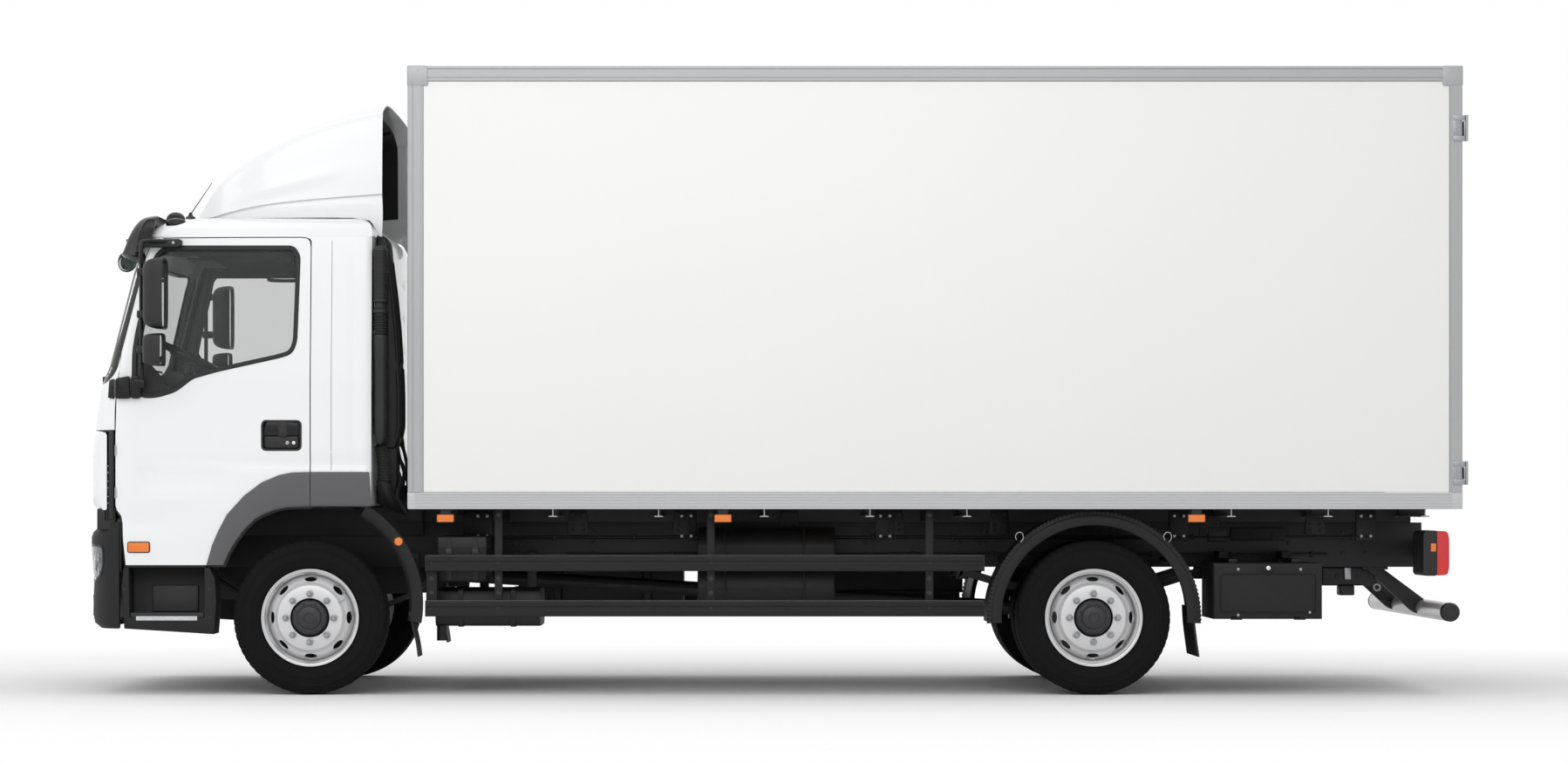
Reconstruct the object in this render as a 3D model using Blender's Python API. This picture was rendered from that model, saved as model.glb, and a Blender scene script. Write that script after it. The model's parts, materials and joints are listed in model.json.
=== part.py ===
"""Rigid box truck with a day cab: +Z up, nose towards -X, driver's side at -Y, metres."""
import math

import bmesh
import bpy
from mathutils import Matrix, Vector

# Overall layout along X, measured from the front axle unless the name says otherwise
FRONT_OVERHANG = 1.316
WHEELBASE = 4.46
REAR_OVERHANG = 2.106
FRONT_AXLE = FRONT_OVERHANG - (FRONT_OVERHANG + WHEELBASE + REAR_OVERHANG) / 2
REAR_AXLE = FRONT_AXLE + WHEELBASE
SEAT_GAP = 0.0003
MERGE = 0.00004
PANEL_GAP = 0.005

# Wheels
TYRE_RADIUS = 0.439
TYRE_WIDTH = 0.245
RIM_RADIUS = 0.277
BARREL_RADIUS = 0.252
HUB_BORE = 0.1105
DISC_RADIUS = 0.184
HAND_HOLE_CIRCLE = 0.221
HAND_HOLES = 8
HOLE_STEPS = 6
FRONT_TRACK_FACE = 1.150
REAR_TRACK_FACE = 1.160
TWIN_SPACING = 0.280
TURN_STEPS = 24
WHEEL_Z = TYRE_RADIUS

# Chassis
RAIL_FACE = 0.430
RAIL_FLANGE = 0.065
RAIL_STEEL = 0.008
RAIL_LOW = 0.715
RAIL_TOP = 0.977
RAIL_FRONT = FRONT_AXLE - 1.120
RAIL_REAR = REAR_AXLE + 2.002
KINGPIN_Y = 0.900

# Cab
CAB_HALF_WIDTH = 1.150
DOOR_FRONT = -1.106
DOOR_HINGE_X = FRONT_AXLE + DOOR_FRONT
CAB_REAR = FRONT_AXLE + 0.347
CAB_WALL = 0.055
CAB_FLOOR_LOW = 1.075
CAB_FLOOR_TOP = 1.130
CAB_ROOF = 2.728
BELT_Z = 1.800
TUMBLEHOME = 0.055
NOSE_LOW = 0.992
PANEL_TOP = 1.500
FIREWALL = FRONT_AXLE - 1.145

# Box body
BOX_FRONT = FRONT_AXLE + 0.564
BOX_LENGTH = 5.974
BOX_REAR = BOX_FRONT + BOX_LENGTH
BOX_HALF_WIDTH = 1.250
BOX_LOW = 1.057
BOX_HIGH = 3.569
FLOOR_DEPTH = 0.096
RAIL_DEPTH = 0.089
WALL = 0.035
POST_LENGTH = 0.089
REAR_POST_LENGTH = 0.074
REAR_POST_WIDTH = 0.070
HINGE_STAND_OFF = 0.021
HINGE_OUT = 0.012

LEFT, RIGHT = -1, 1
SIDES = (("left", LEFT), ("right", RIGHT))

# Finish: colour, roughness, metallic
FINISHES = {
    "white_paint": ((0.86, 0.86, 0.86), 0.35, 0.0),
    "box_panel": ((0.88, 0.88, 0.87), 0.5, 0.0),
    "aluminium": ((0.55, 0.56, 0.57), 0.4, 0.9),
    "dark_plastic": ((0.045, 0.045, 0.048), 0.6, 0.0),
    "chassis_black": ((0.02, 0.02, 0.02), 0.55, 0.2),
    "rubber": ((0.025, 0.025, 0.026), 0.85, 0.0),
    "wheel_silver": ((0.62, 0.62, 0.62), 0.35, 0.8),
    "glass": ((0.4, 0.46, 0.46), 0.05, 0.0),
    "headlamp": ((0.75, 0.78, 0.8), 0.1, 0.2),
    "red_lens": ((0.6, 0.02, 0.02), 0.2, 0.0),
    "seat_cloth": ((0.06, 0.06, 0.065), 0.9, 0.0),
}


def clear_scene():
    for item in list(bpy.data.objects):
        bpy.data.objects.remove(item, do_unlink=True)


def finish(name):
    made = bpy.data.materials.get(name)
    if made is None:
        colour, roughness, metallic = FINISHES[name]
        made = bpy.data.materials.new(name)
        made.use_nodes = True
        shader = made.node_tree.nodes["Principled BSDF"]
        shader.inputs["Base Color"].default_value = (*colour, 1.0)
        shader.inputs["Roughness"].default_value = roughness
        shader.inputs["Metallic"].default_value = metallic
    return made


def to_mesh(form):
    """Close a bmesh into mesh data with its faces pointing out."""
    bmesh.ops.recalc_face_normals(form, faces=form.faces)
    mesh = bpy.data.meshes.new("form")
    form.to_mesh(mesh)
    form.free()
    return mesh


def skinned(sections):
    """A closed body through sections, each a ring of the same number of points."""
    form = bmesh.new()
    rings = [[form.verts.new(point) for point in section] for section in sections]
    count = len(rings[0])
    for near, far in zip(rings, rings[1:]):
        for i in range(count):
            j = (i + 1) % count
            form.faces.new((near[i], near[j], far[j], far[i]))
    form.faces.new(rings[0])
    form.faces.new(rings[-1])
    bmesh.ops.recalc_face_normals(form, faces=form.faces)
    bmesh.ops.triangulate(form, faces=[face for face in form.faces if len(face.verts) > 3])
    return to_mesh(form)


def place(axis, a, b, along):
    """The outline's two coordinates and the distance along the axis, as x, y, z."""
    return {"X": (along, a, b), "Y": (a, along, b), "Z": (a, b, along)}[axis]


def plate(outline, axis, low, high):
    """An outline carried straight along an axis, kept as flat faces."""
    form = bmesh.new()
    ends = [[form.verts.new(place(axis, a, b, along)) for a, b in outline] for along in (low, high)]
    count = len(outline)
    for i in range(count):
        j = (i + 1) % count
        form.faces.new((ends[0][i], ends[0][j], ends[1][j], ends[1][i]))
    form.faces.new(ends[0])
    form.faces.new(ends[1])
    return to_mesh(form)


def block(low, high):
    outline = [(low[0], low[1]), (high[0], low[1]), (high[0], high[1]), (low[0], high[1])]
    return plate(outline, "Z", low[2], high[2])


def side_block(side, x_low, x_high, y_in, y_out, z_low, z_high):
    """A block on one side, its y given as distances out from the centre plane."""
    y_low, y_high = sorted((side * y_in, side * y_out))
    return block((x_low, y_low, z_low), (x_high, y_high, z_high))


def rod(start, end, radius, steps=10):
    """A round bar between two points."""
    start, end = Vector(start), Vector(end)
    turn = (end - start).to_track_quat("Z", "Y").to_matrix()
    rings = []
    for centre in (start, end):
        ring = [Vector((radius * math.cos(math.tau * i / steps), radius * math.sin(math.tau * i / steps), 0))
                for i in range(steps)]
        rings.append([centre + turn @ point for point in ring])
    return skinned(rings)


def turned(profile, centre, side, steps=TURN_STEPS):
    """A closed profile of (radius, distance out along y) turned about a y axis."""
    form = bmesh.new()
    rings = []
    for radius, out in profile:
        if radius == 0:
            rings.append([form.verts.new((centre[0], centre[1] + side * out, centre[2]))])
            continue
        rings.append([form.verts.new((centre[0] + radius * math.cos(math.tau * i / steps),
                                      centre[1] + side * out,
                                      centre[2] + radius * math.sin(math.tau * i / steps)))
                      for i in range(steps)])
    for k, near in enumerate(rings):
        far = rings[(k + 1) % len(rings)]
        if len(near) == 1 and len(far) == 1:
            continue
        for i in range(steps):
            j = (i + 1) % steps
            corners = [near[i % len(near)], near[j % len(near)], far[j % len(far)], far[i % len(far)]]
            form.faces.new(list(dict.fromkeys(corners)))
    return to_mesh(form)


def ring_arc(centre_x, centre_z, radius_in, radius_out, start, end, steps):
    """An outline in x, z: the band between two radii from start to end degrees (0 = to the rear)."""
    angles = [math.radians(start + (end - start) * i / steps) for i in range(steps + 1)]
    outer = [(centre_x + radius_out * math.cos(a), centre_z + radius_out * math.sin(a)) for a in angles]
    inner = [(centre_x + radius_in * math.cos(a), centre_z + radius_in * math.sin(a)) for a in angles]
    return outer + inner[::-1]


def grown(outline, distance):
    """The outline with each edge moved out by a distance, corners mitred."""
    count = len(outline)
    area = sum(outline[i][0] * outline[(i + 1) % count][1] - outline[(i + 1) % count][0] * outline[i][1]
               for i in range(count))
    sign = 1 if area > 0 else -1
    moved = []
    for i in range(count):
        before, here, after = (Vector(outline[k % count]) for k in (i - 1, i, i + 1))
        first, second = (here - before).normalized(), (after - here).normalized()
        normal_1 = Vector((first.y, -first.x)) * sign
        normal_2 = Vector((second.y, -second.x)) * sign
        moved.append(tuple(here + (normal_1 + normal_2) * distance / (1 + normal_1.dot(normal_2))))
    return moved


def worked(mesh, others, operation):
    """The mesh after joining, cutting or keeping what it shares with each of the others."""
    for other in others:
        body = bpy.data.objects.new("body", mesh)
        tool = bpy.data.objects.new("tool", other)
        bpy.context.collection.objects.link(body)
        bpy.context.collection.objects.link(tool)
        tool.hide_render, tool.display_type = True, "WIRE"
        change = body.modifiers.new("work", "BOOLEAN")
        change.operation, change.object, change.solver = operation, tool, "EXACT"
        shown = bpy.context.evaluated_depsgraph_get()
        mesh = bpy.data.meshes.new_from_object(body.evaluated_get(shown))
        bpy.data.objects.remove(body)
        bpy.data.objects.remove(tool)
        form = bmesh.new()
        form.from_mesh(mesh)
        bmesh.ops.remove_doubles(form, verts=form.verts, dist=MERGE)
        bmesh.ops.dissolve_degenerate(form, edges=form.edges, dist=MERGE / 4)
        form.to_mesh(mesh)
        form.free()
    return mesh


def joined(mesh, *others):
    return worked(mesh, others, "UNION")


def cut(mesh, *others):
    return worked(mesh, others, "DIFFERENCE")


def shared(mesh, *others):
    return worked(mesh, others, "INTERSECT")


def leaned(mesh):
    """Above the belt line the cab's sides lean in: y shrinks in step with the height."""
    form = bmesh.new()
    form.from_mesh(mesh)
    bmesh.ops.bisect_plane(form, geom=form.verts[:] + form.edges[:] + form.faces[:], dist=1e-6,
                           plane_co=(0, 0, BELT_Z), plane_no=(0, 0, 1))
    for point in form.verts:
        point.co.y *= lean_factor(point.co.z)
    return to_mesh(form)


def lean_factor(z):
    return 1 - TUMBLEHOME * max(0.0, z - BELT_Z) / (CAB_ROOF - BELT_Z)


def node(name, finish_name, mesh, pivot=(0, 0, 0), smooth=30):
    """One named piece, its origin on its joint's axis where it moves."""
    mesh.transform(Matrix.Translation(-Vector(pivot)))
    mesh.materials.clear()
    mesh.materials.append(finish(finish_name))
    mesh.polygons.foreach_set("material_index", [0] * len(mesh.polygons))
    mesh.shade_smooth()
    mesh.set_sharp_from_angle(angle=math.radians(smooth))
    mesh.name = name
    made = bpy.data.objects.new(name, mesh)
    made.location = pivot
    bpy.context.collection.objects.link(made)
    return made


# Chassis

# Cross members: x from the front axle, lower z, upper z
CROSS_MEMBERS = [(-1.080, 0.76, 0.93), (0.900, 0.76, 0.93), (2.000, 0.76, 0.93), (3.000, 0.76, 0.93),
                 (3.700, 0.80, 0.95), (5.200, 0.80, 0.95), (6.300, 0.76, 0.93)]
CROSS_LENGTH = 0.070
# Cab mounts on the rails: x from the front axle, length
CAB_MOUNTS = [(-1.000, 0.12), (0.180, 0.12)]
LAMP_BAR_LENGTH = 0.030
LAMP_BAR_REACH = 1.000
LAMP_FRONT = RAIL_REAR - 0.120


def chassis_frame():
    rails = []
    for _, side in SIDES:
        face, web, lip = side * RAIL_FACE, side * (RAIL_FACE - RAIL_STEEL), side * (RAIL_FACE - RAIL_FLANGE)
        channel = [(face, RAIL_LOW), (face, RAIL_TOP), (lip, RAIL_TOP), (lip, RAIL_TOP - RAIL_STEEL),
                   (web, RAIL_TOP - RAIL_STEEL), (web, RAIL_LOW + RAIL_STEEL), (lip, RAIL_LOW + RAIL_STEEL),
                   (lip, RAIL_LOW)]
        rails.append(plate(channel, "X", RAIL_FRONT, RAIL_REAR))
    reach = RAIL_FACE - RAIL_STEEL / 2
    crosses = [block((FRONT_AXLE + x, -reach, low), (FRONT_AXLE + x + CROSS_LENGTH, reach, high))
               for x, low, high in CROSS_MEMBERS]
    extras = []
    for _, side in SIDES:
        for x, length in CAB_MOUNTS:
            extras.append(side_block(side, FRONT_AXLE + x, FRONT_AXLE + x + length, RAIL_FACE - RAIL_FLANGE,
                                     RAIL_FACE - 0.004, RAIL_TOP - 0.004, CAB_FLOOR_LOW - SEAT_GAP))
    return node("chassis_frame", "chassis_black", joined(rails[0], rails[1], *crosses, *extras))


# Cross bearers under the box floor: x from the rear axle
BEARERS = [-3.70, -3.10, -2.50, -1.90, -1.30, -0.75, 0.75, 1.30, 1.85]
BEARER_WIDTH = 0.050
BEARER_REACH = BOX_HALF_WIDTH - 0.050
BEARER_DEPTH = 0.045


ENGINE_LOW = 0.520
ENGINE_TOP = 1.010
ENGINE_HALF = 0.300
GEARBOX_REAR = 0.820
DRIVE_Z = 0.660
FLANGE_RADIUS = 0.075


def driveline():
    outline = [(-0.95, 0.60), (-0.95, ENGINE_TOP), (-0.02, ENGINE_TOP), (-0.02, 0.60), (-0.15, ENGINE_LOW),
               (-0.80, ENGINE_LOW)]
    outline = [(FRONT_AXLE + x, z) for x, z in outline]
    mass = plate(outline, "Y", -ENGINE_HALF, ENGINE_HALF)
    gearbox = [(-0.10, 0.54), (-0.10, 0.90), (0.30, 0.86), (0.70, 0.76), (0.70, 0.56)]
    gearbox = plate([(FRONT_AXLE + x, z) for x, z in gearbox], "Y", -0.20, 0.20)
    flange = rod((FRONT_AXLE + 0.68, 0, DRIVE_Z), (FRONT_AXLE + GEARBOX_REAR, 0, DRIVE_Z), FLANGE_RADIUS)
    web = RAIL_FACE - RAIL_FLANGE - SEAT_GAP
    feet = [side_block(side, FRONT_AXLE + x, FRONT_AXLE + x + 0.10, reach, web, 0.80, 0.90)
            for _, side in SIDES for x, reach in ((-0.60, 0.28), (0.05, 0.18))]
    start = (FRONT_AXLE + GEARBOX_REAR - 0.05, 0, DRIVE_Z)
    end = (REAR_AXLE + DIFF_FRONT - 0.004, 0, WHEEL_Z + 0.02)
    shaft = rod(start, end, 0.045)
    coupling = rod((end[0] - 0.09, 0, end[2] + 0.005), end, 0.070)
    return node("driveline", "chassis_black", joined(mass, gearbox, flange, shaft, coupling, *feet))


# Front axle

BEAM_HALF = 0.045
BOSS_RADIUS = 0.040
BOSS_LOW = 0.400
BOSS_HIGH = 0.478
YOKE_GAP = SEAT_GAP
SPRING_WIDTH = 0.070
LEAF = 0.028


def leaf_spring(side, axle_x, y_middle, z_middle, half_length, thickness):
    """A bowed leaf whose ends stand just under the rail."""
    top = RAIL_LOW - SEAT_GAP
    rise = top - 0.002 - thickness - z_middle
    steps = 6
    lower = []
    for i in range(steps + 1):
        t = 2 * i / steps - 1
        lower.append((axle_x + half_length * t, z_middle + rise * t * t))
    upper = [(x, z + thickness) for x, z in lower[::-1]]
    leaf = plate(lower + upper, "Y", side * y_middle - SPRING_WIDTH / 2, side * y_middle + SPRING_WIDTH / 2)
    hangers = [block((axle_x + end * half_length - 0.035, side * y_middle - SPRING_WIDTH / 2 + 0.005,
                      top - 0.070),
                     (axle_x + end * half_length + 0.035, side * y_middle + SPRING_WIDTH / 2 - 0.005, top))
               for end in (-1, 1)]
    return joined(leaf, *hangers)


def front_axle():
    profile = [(0.885, BOSS_LOW + 0.004), (0.885, BOSS_HIGH - 0.004), (0.74, BOSS_HIGH - 0.004), (0.52, 0.375),
               (-0.52, 0.375), (-0.74, BOSS_HIGH - 0.004), (-0.885, BOSS_HIGH - 0.004),
               (-0.885, BOSS_LOW + 0.004), (-0.72, BOSS_LOW + 0.004), (-0.52, 0.290), (0.52, 0.290),
               (0.72, BOSS_LOW + 0.004)]
    beam = plate(profile, "X", FRONT_AXLE - BEAM_HALF, FRONT_AXLE + BEAM_HALF)
    parts = []
    for _, side in SIDES:
        parts.append(rod((FRONT_AXLE, side * KINGPIN_Y, BOSS_LOW), (FRONT_AXLE, side * KINGPIN_Y, BOSS_HIGH),
                         BOSS_RADIUS, 12))
        y_spring = RAIL_FACE - RAIL_FLANGE / 2
        parts.append(leaf_spring(side, FRONT_AXLE, y_spring, 0.400, 0.720, LEAF))
        parts.append(side_block(side, FRONT_AXLE - 0.07, FRONT_AXLE + 0.07, y_spring - 0.045,
                                y_spring + 0.045, 0.360, 0.440))
    return node("front_axle", "chassis_black", joined(beam, *parts))


PLATE_RADIUS = 0.185
PLATE_IN = 0.955
PLATE_OUT = 0.975
HUB_IN = 1.000


def knuckles():
    for word, side in SIDES:
        pin = (FRONT_AXLE, side * KINGPIN_Y, 0)
        low, high = BOSS_LOW - YOKE_GAP, BOSS_HIGH + YOKE_GAP
        yoke = [side_block(side, FRONT_AXLE - 0.035, FRONT_AXLE + 0.035, KINGPIN_Y - 0.040, PLATE_IN + 0.01,
                           z, z + 0.055) for z in (low - 0.055, high)]
        backing = turned([(0, PLATE_IN), (PLATE_RADIUS, PLATE_IN), (PLATE_RADIUS, PLATE_OUT),
                          (0.055, PLATE_OUT), (0.045, HUB_IN - SEAT_GAP), (0, HUB_IN - SEAT_GAP)],
                         (FRONT_AXLE, 0, WHEEL_Z), side, 16)
        node(f"knuckle_{word}", "chassis_black", joined(backing, *yoke), pin)


# Wheels

def tyre_profile(middle):
    """Radius and distance out: bead, sidewall, shoulder and tread of one tyre."""
    half = TYRE_WIDTH / 2
    outer = [(RIM_RADIUS + 0.0006, half - 0.028), (0.335, half), (0.395, half - 0.008), (0.426, half - 0.022),
             (TYRE_RADIUS, half - 0.040)]
    inner = [(radius, -out) for radius, out in outer[::-1]]
    return [(radius, middle + out) for radius, out in outer + inner]


RIM_HALF = TYRE_WIDTH / 2 - 0.028
FLANGE_OUT = 0.016


def rim_profile(middle, disc_out, hub_in):
    """Radius and distance out: barrel with its two flanges, domed disc and hub."""
    half, out = RIM_HALF, middle
    return [(0, hub_in), (0.090, hub_in), (0.150, hub_in + 0.012), (0.160, out + disc_out - 0.018),
            (BARREL_RADIUS - 0.012, out + disc_out - 0.070),
            (BARREL_RADIUS - 0.012, out - half - FLANGE_OUT), (RIM_RADIUS, out - half - FLANGE_OUT),
            (RIM_RADIUS, out - half), (BARREL_RADIUS, out - half + 0.012), (BARREL_RADIUS, out + half - 0.012),
            (RIM_RADIUS, out + half), (RIM_RADIUS, out + half + FLANGE_OUT),
            (BARREL_RADIUS - 0.006, out + half + FLANGE_OUT - 0.006),
            (BARREL_RADIUS - 0.012, out + disc_out - 0.052), (DISC_RADIUS, out + disc_out - 0.004),
            (DISC_RADIUS - 0.006, out + disc_out), (HUB_BORE, out + disc_out),
            (HUB_BORE, out + disc_out - 0.030), (0.062, out + disc_out - 0.024),
            (0.056, out + disc_out + 0.020), (0, out + disc_out + 0.024)]


def hand_holes(centre_y, side, axle_x):
    """Slots through the disc, one over each wheel nut."""
    slots = []
    for i in range(HAND_HOLES):
        angle = math.tau * i / HAND_HOLES
        radial, across = Vector((math.cos(angle), 0, math.sin(angle))), Vector((-math.sin(angle), 0, math.cos(angle)))
        middle = Vector((axle_x, 0, WHEEL_Z)) + radial * HAND_HOLE_CIRCLE
        sections = []
        for y in (centre_y - 0.14 * side, centre_y + 0.20 * side):
            ring = []
            for k in range(HOLE_STEPS):
                turn = math.tau * k / HOLE_STEPS
                ring.append(middle + across * 0.036 * math.cos(turn) + radial * 0.016 * math.sin(turn)
                            + Vector((0, y, 0)))
            sections.append(ring)
        slots.append(skinned(sections))
    return slots


DISC_OUT_FRONT = 0.116
DISC_OUT_REAR = 0.080
REAR_HUB_IN = 0.600


def wheels():
    for word, side in SIDES:
        middle = FRONT_TRACK_FACE - TYRE_WIDTH / 2
        pivot = (FRONT_AXLE, side * middle, WHEEL_Z)
        centre = (FRONT_AXLE, 0, WHEEL_Z)
        node(f"tyre_front_{word}", "rubber", turned(tyre_profile(middle), centre, side), pivot)
        rim = turned(rim_profile(middle, DISC_OUT_FRONT, HUB_IN), centre, side)
        rim = cut(rim, *hand_holes(side * (middle + DISC_OUT_FRONT - 0.05), side, FRONT_AXLE))
        node(f"rim_front_{word}", "wheel_silver", rim, pivot)

        outer = REAR_TRACK_FACE - TYRE_WIDTH / 2
        pivot = (REAR_AXLE, side * outer, WHEEL_Z)
        centre = (REAR_AXLE, 0, WHEEL_Z)
        for which, at in (("outer", outer), ("inner", outer - TWIN_SPACING)):
            node(f"tyre_rear_{which}_{word}", "rubber", turned(tyre_profile(at), centre, side), pivot)
        disc = turned(rim_profile(outer, DISC_OUT_REAR, outer - 0.140), centre, side)
        disc = cut(disc, *hand_holes(side * (outer + DISC_OUT_REAR - 0.05), side, REAR_AXLE))
        twin = outer - TWIN_SPACING
        wall = BARREL_RADIUS - 0.012
        drum = turned([(0, REAR_HUB_IN), (0.200, REAR_HUB_IN), (0.200, twin + 0.070), (wall - 0.004, twin + 0.086),
                       (wall, twin - RIM_HALF - FLANGE_OUT), (RIM_RADIUS, twin - RIM_HALF - FLANGE_OUT),
                       (RIM_RADIUS, twin - RIM_HALF), (BARREL_RADIUS, twin - RIM_HALF + 0.012),
                       (BARREL_RADIUS, twin + RIM_HALF - 0.012), (RIM_RADIUS, twin + RIM_HALF),
                       (RIM_RADIUS, twin + RIM_HALF + FLANGE_OUT), (0.170, twin + RIM_HALF + FLANGE_OUT + 0.004),
                       (0.120, outer - 0.120), (0, outer - 0.120)], centre, side)
        node(f"rim_rear_{word}", "wheel_silver", joined(disc, drum), pivot)


# Rear axle and driveline

AXLE_TUBE = 0.070
DIFF_FRONT = -0.300


def rear_axle():
    reach = REAR_HUB_IN - SEAT_GAP
    tube = rod((REAR_AXLE, -reach, WHEEL_Z), (REAR_AXLE, reach, WHEEL_Z), AXLE_TUBE, 12)
    ball = turned([(0, -0.16), (0.12, -0.13), (0.20, -0.04), (0.20, 0.04), (0.12, 0.13), (0, 0.16)],
                  (REAR_AXLE, 0, WHEEL_Z), RIGHT, 12)
    nose = rod((REAR_AXLE - 0.10, 0, WHEEL_Z + 0.02), (REAR_AXLE + DIFF_FRONT, 0, WHEEL_Z + 0.02), 0.085)
    parts = [ball, nose]
    for _, side in SIDES:
        y_spring = RAIL_FACE - RAIL_FLANGE / 2
        parts.append(leaf_spring(side, REAR_AXLE, y_spring, 0.535, 0.700, LEAF + 0.02))
        parts.append(side_block(side, REAR_AXLE - 0.08, REAR_AXLE + 0.08, y_spring - 0.045,
                                y_spring + 0.045, WHEEL_Z, 0.560))
    return node("rear_axle", "chassis_black", joined(tube, *parts))


# What hangs on the chassis

GUARD_FACE = 1.150
GUARD_STEEL = 0.030
GUARD_POST = 0.035
TANK = {"front": 1.10, "rear": 2.10, "in": 0.560, "out": GUARD_FACE - GUARD_STEEL - GUARD_POST - PANEL_GAP,
        "low": 0.430, "high": 0.930}


def rounded(low, high, radius, steps=2):
    """The four-cornered outline between two corners, its corners as arcs."""
    corners = [(high[0] - radius, high[1] - radius, 0), (low[0] + radius, high[1] - radius, 90),
               (low[0] + radius, low[1] + radius, 180), (high[0] - radius, low[1] + radius, 270)]
    points = []
    for x, y, start in corners:
        for i in range(steps + 1):
            angle = math.radians(start + 90 * i / steps)
            points.append((x + radius * math.cos(angle), y + radius * math.sin(angle)))
    return points


def hung(side, x_low, x_high, y_in, y_out, z_low, z_high, radius, hangers):
    """A tank or box beside the frame, held by arms that reach the rail."""
    y_low, y_high = sorted((side * y_in, side * y_out))
    body = plate(rounded((y_low, z_low), (y_high, z_high), radius), "X", x_low, x_high)
    arms = [side_block(side, x, x + 0.05, RAIL_FACE + SEAT_GAP, y_in + 0.03, z_low + 0.04,
                       min(z_high - 0.03, RAIL_TOP - 0.02)) for x in hangers]
    return joined(body, *arms)


def tanks():
    x = FRONT_AXLE
    node("fuel_tank", "aluminium",
         hung(RIGHT, x + TANK["front"], x + TANK["rear"], TANK["in"], TANK["out"], TANK["low"], TANK["high"],
              0.07, (x + TANK["front"] + 0.20, x + TANK["rear"] - 0.25)))
    node("battery_box", "dark_plastic",
         hung(LEFT, x + 0.720, x + 1.000, 0.560, 1.060, 0.640, 0.900, 0.02, (x + 0.830,)))
    node("silencer", "chassis_black",
         joined(hung(LEFT, x + 0.700, x + 1.300, 0.480, 0.980, 0.385, 0.600, 0.05, (x + 0.92, x + 1.20)),
                side_block(LEFT, x + 0.92, x + 0.97, RAIL_FACE + SEAT_GAP, 0.50, 0.55, 0.80),
                side_block(LEFT, x + 1.20, x + 1.25, RAIL_FACE + SEAT_GAP, 0.50, 0.55, 0.80),
                rod((x + 0.730, -0.90, 0.41), (x + 0.730, -0.90, 0.300), 0.028)))
    tanks = [rod((x + 2.20, -0.620, z), (x + 3.00, -0.620, z), 0.110, 12) for z in (0.60, 0.84)]
    arms = [side_block(LEFT, x + at, x + at + 0.04, RAIL_FACE + SEAT_GAP, 0.560, 0.56, 0.88)
            for at in (2.35, 2.80)]
    node("air_tanks", "chassis_black", joined(tanks[0], tanks[1], *arms))


GUARD_FRONT = FRONT_AXLE + 0.659
GUARD_REAR = REAR_AXLE - 0.625
# Side guard rails: lower z, upper z
GUARD_RAILS = [(0.446, 0.536), (0.704, 0.793)]
# Side guard posts: x from the guard's front, width
GUARD_POSTS = [(0.0, 0.062), (0.390, 0.045), (1.600, 0.045), (2.845, 0.045)]


def side_guards():
    for word, side in SIDES:
        rails = [side_block(side, GUARD_FRONT, GUARD_REAR, GUARD_FACE - GUARD_STEEL, GUARD_FACE, low, high)
                 for low, high in GUARD_RAILS]
        posts = [side_block(side, GUARD_FRONT + x, GUARD_FRONT + x + width, GUARD_FACE - GUARD_STEEL - GUARD_POST,
                            GUARD_FACE - GUARD_STEEL + 0.004, GUARD_RAILS[0][0] + 0.004,
                            BOX_LOW - SEAT_GAP if i else GUARD_RAILS[1][1] - 0.004)
                 for i, (x, width) in enumerate(GUARD_POSTS)]
        node(f"side_guard_{word}", "dark_plastic", joined(rails[0], rails[1], *posts))


TOOLBOX = {"front": FRONT_AXLE + 5.143, "rear": FRONT_AXLE + 5.760, "in": 0.620, "out": 1.150, "low": 0.431,
           "high": 0.749, "wall": 0.018}
LID_HINGE_Z = TOOLBOX["low"] + 0.002
# Lid hinges: x from the box's front end of each pair of barrels
LID_HINGES = [0.100, 0.460]
LID_BARREL = 0.006
LID_BARREL_LENGTH = 0.030
LID_ROOM = 0.012


def toolbox():
    box, wall = TOOLBOX, TOOLBOX["wall"]
    face = box["out"] - wall - PANEL_GAP
    shell = side_block(LEFT, box["front"], box["rear"], box["in"], face, box["low"], box["high"])
    hollow = side_block(LEFT, box["front"] + wall, box["rear"] - wall, box["in"] + wall, face + 0.1,
                        box["low"] + wall, box["high"] - wall)
    arms = [side_block(LEFT, x, x + 0.05, RAIL_FACE + SEAT_GAP, box["in"] + wall / 2, box["high"] - 0.06,
                       box["high"] + 0.06) for x in (box["front"] + 0.10, box["rear"] - 0.15)]
    fixed, moving, rooms = [], [], []
    for at in LID_HINGES:
        start, meet = box["front"] + at, box["front"] + at + LID_BARREL_LENGTH
        end = meet + LID_BARREL_LENGTH
        fixed.append(rod((start, -box["out"], LID_HINGE_Z), (meet, -box["out"], LID_HINGE_Z), LID_BARREL, 8))
        fixed.append(side_block(LEFT, start, meet, face - 0.020, box["out"], LID_HINGE_Z - 0.006,
                                LID_HINGE_Z - 0.0005))
        moving.append(rod((meet + SEAT_GAP, -box["out"], LID_HINGE_Z), (end, -box["out"], LID_HINGE_Z),
                          LID_BARREL, 8))
        rooms.append(side_block(LEFT, start - 0.004, meet, box["out"] - 0.1, box["out"] + 0.1, LID_HINGE_Z - 0.01,
                                LID_HINGE_Z + LID_ROOM))
    node("toolbox", "dark_plastic", joined(cut(shell, hollow), *arms, *fixed))
    lid = side_block(LEFT, box["front"] + 0.003, box["rear"] - 0.003, face + PANEL_GAP, box["out"],
                     box["low"] + 0.002, box["high"] - 0.002)
    lid = joined(cut(lid, *rooms), *moving)
    node("toolbox_lid", "dark_plastic", lid, (box["front"], -box["out"], LID_HINGE_Z))


UNDERRUN_X = BOX_REAR - 0.054
UNDERRUN_Z = 0.471
UNDERRUN_RADIUS = 0.054
UNDERRUN_REACH = 1.180


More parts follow.
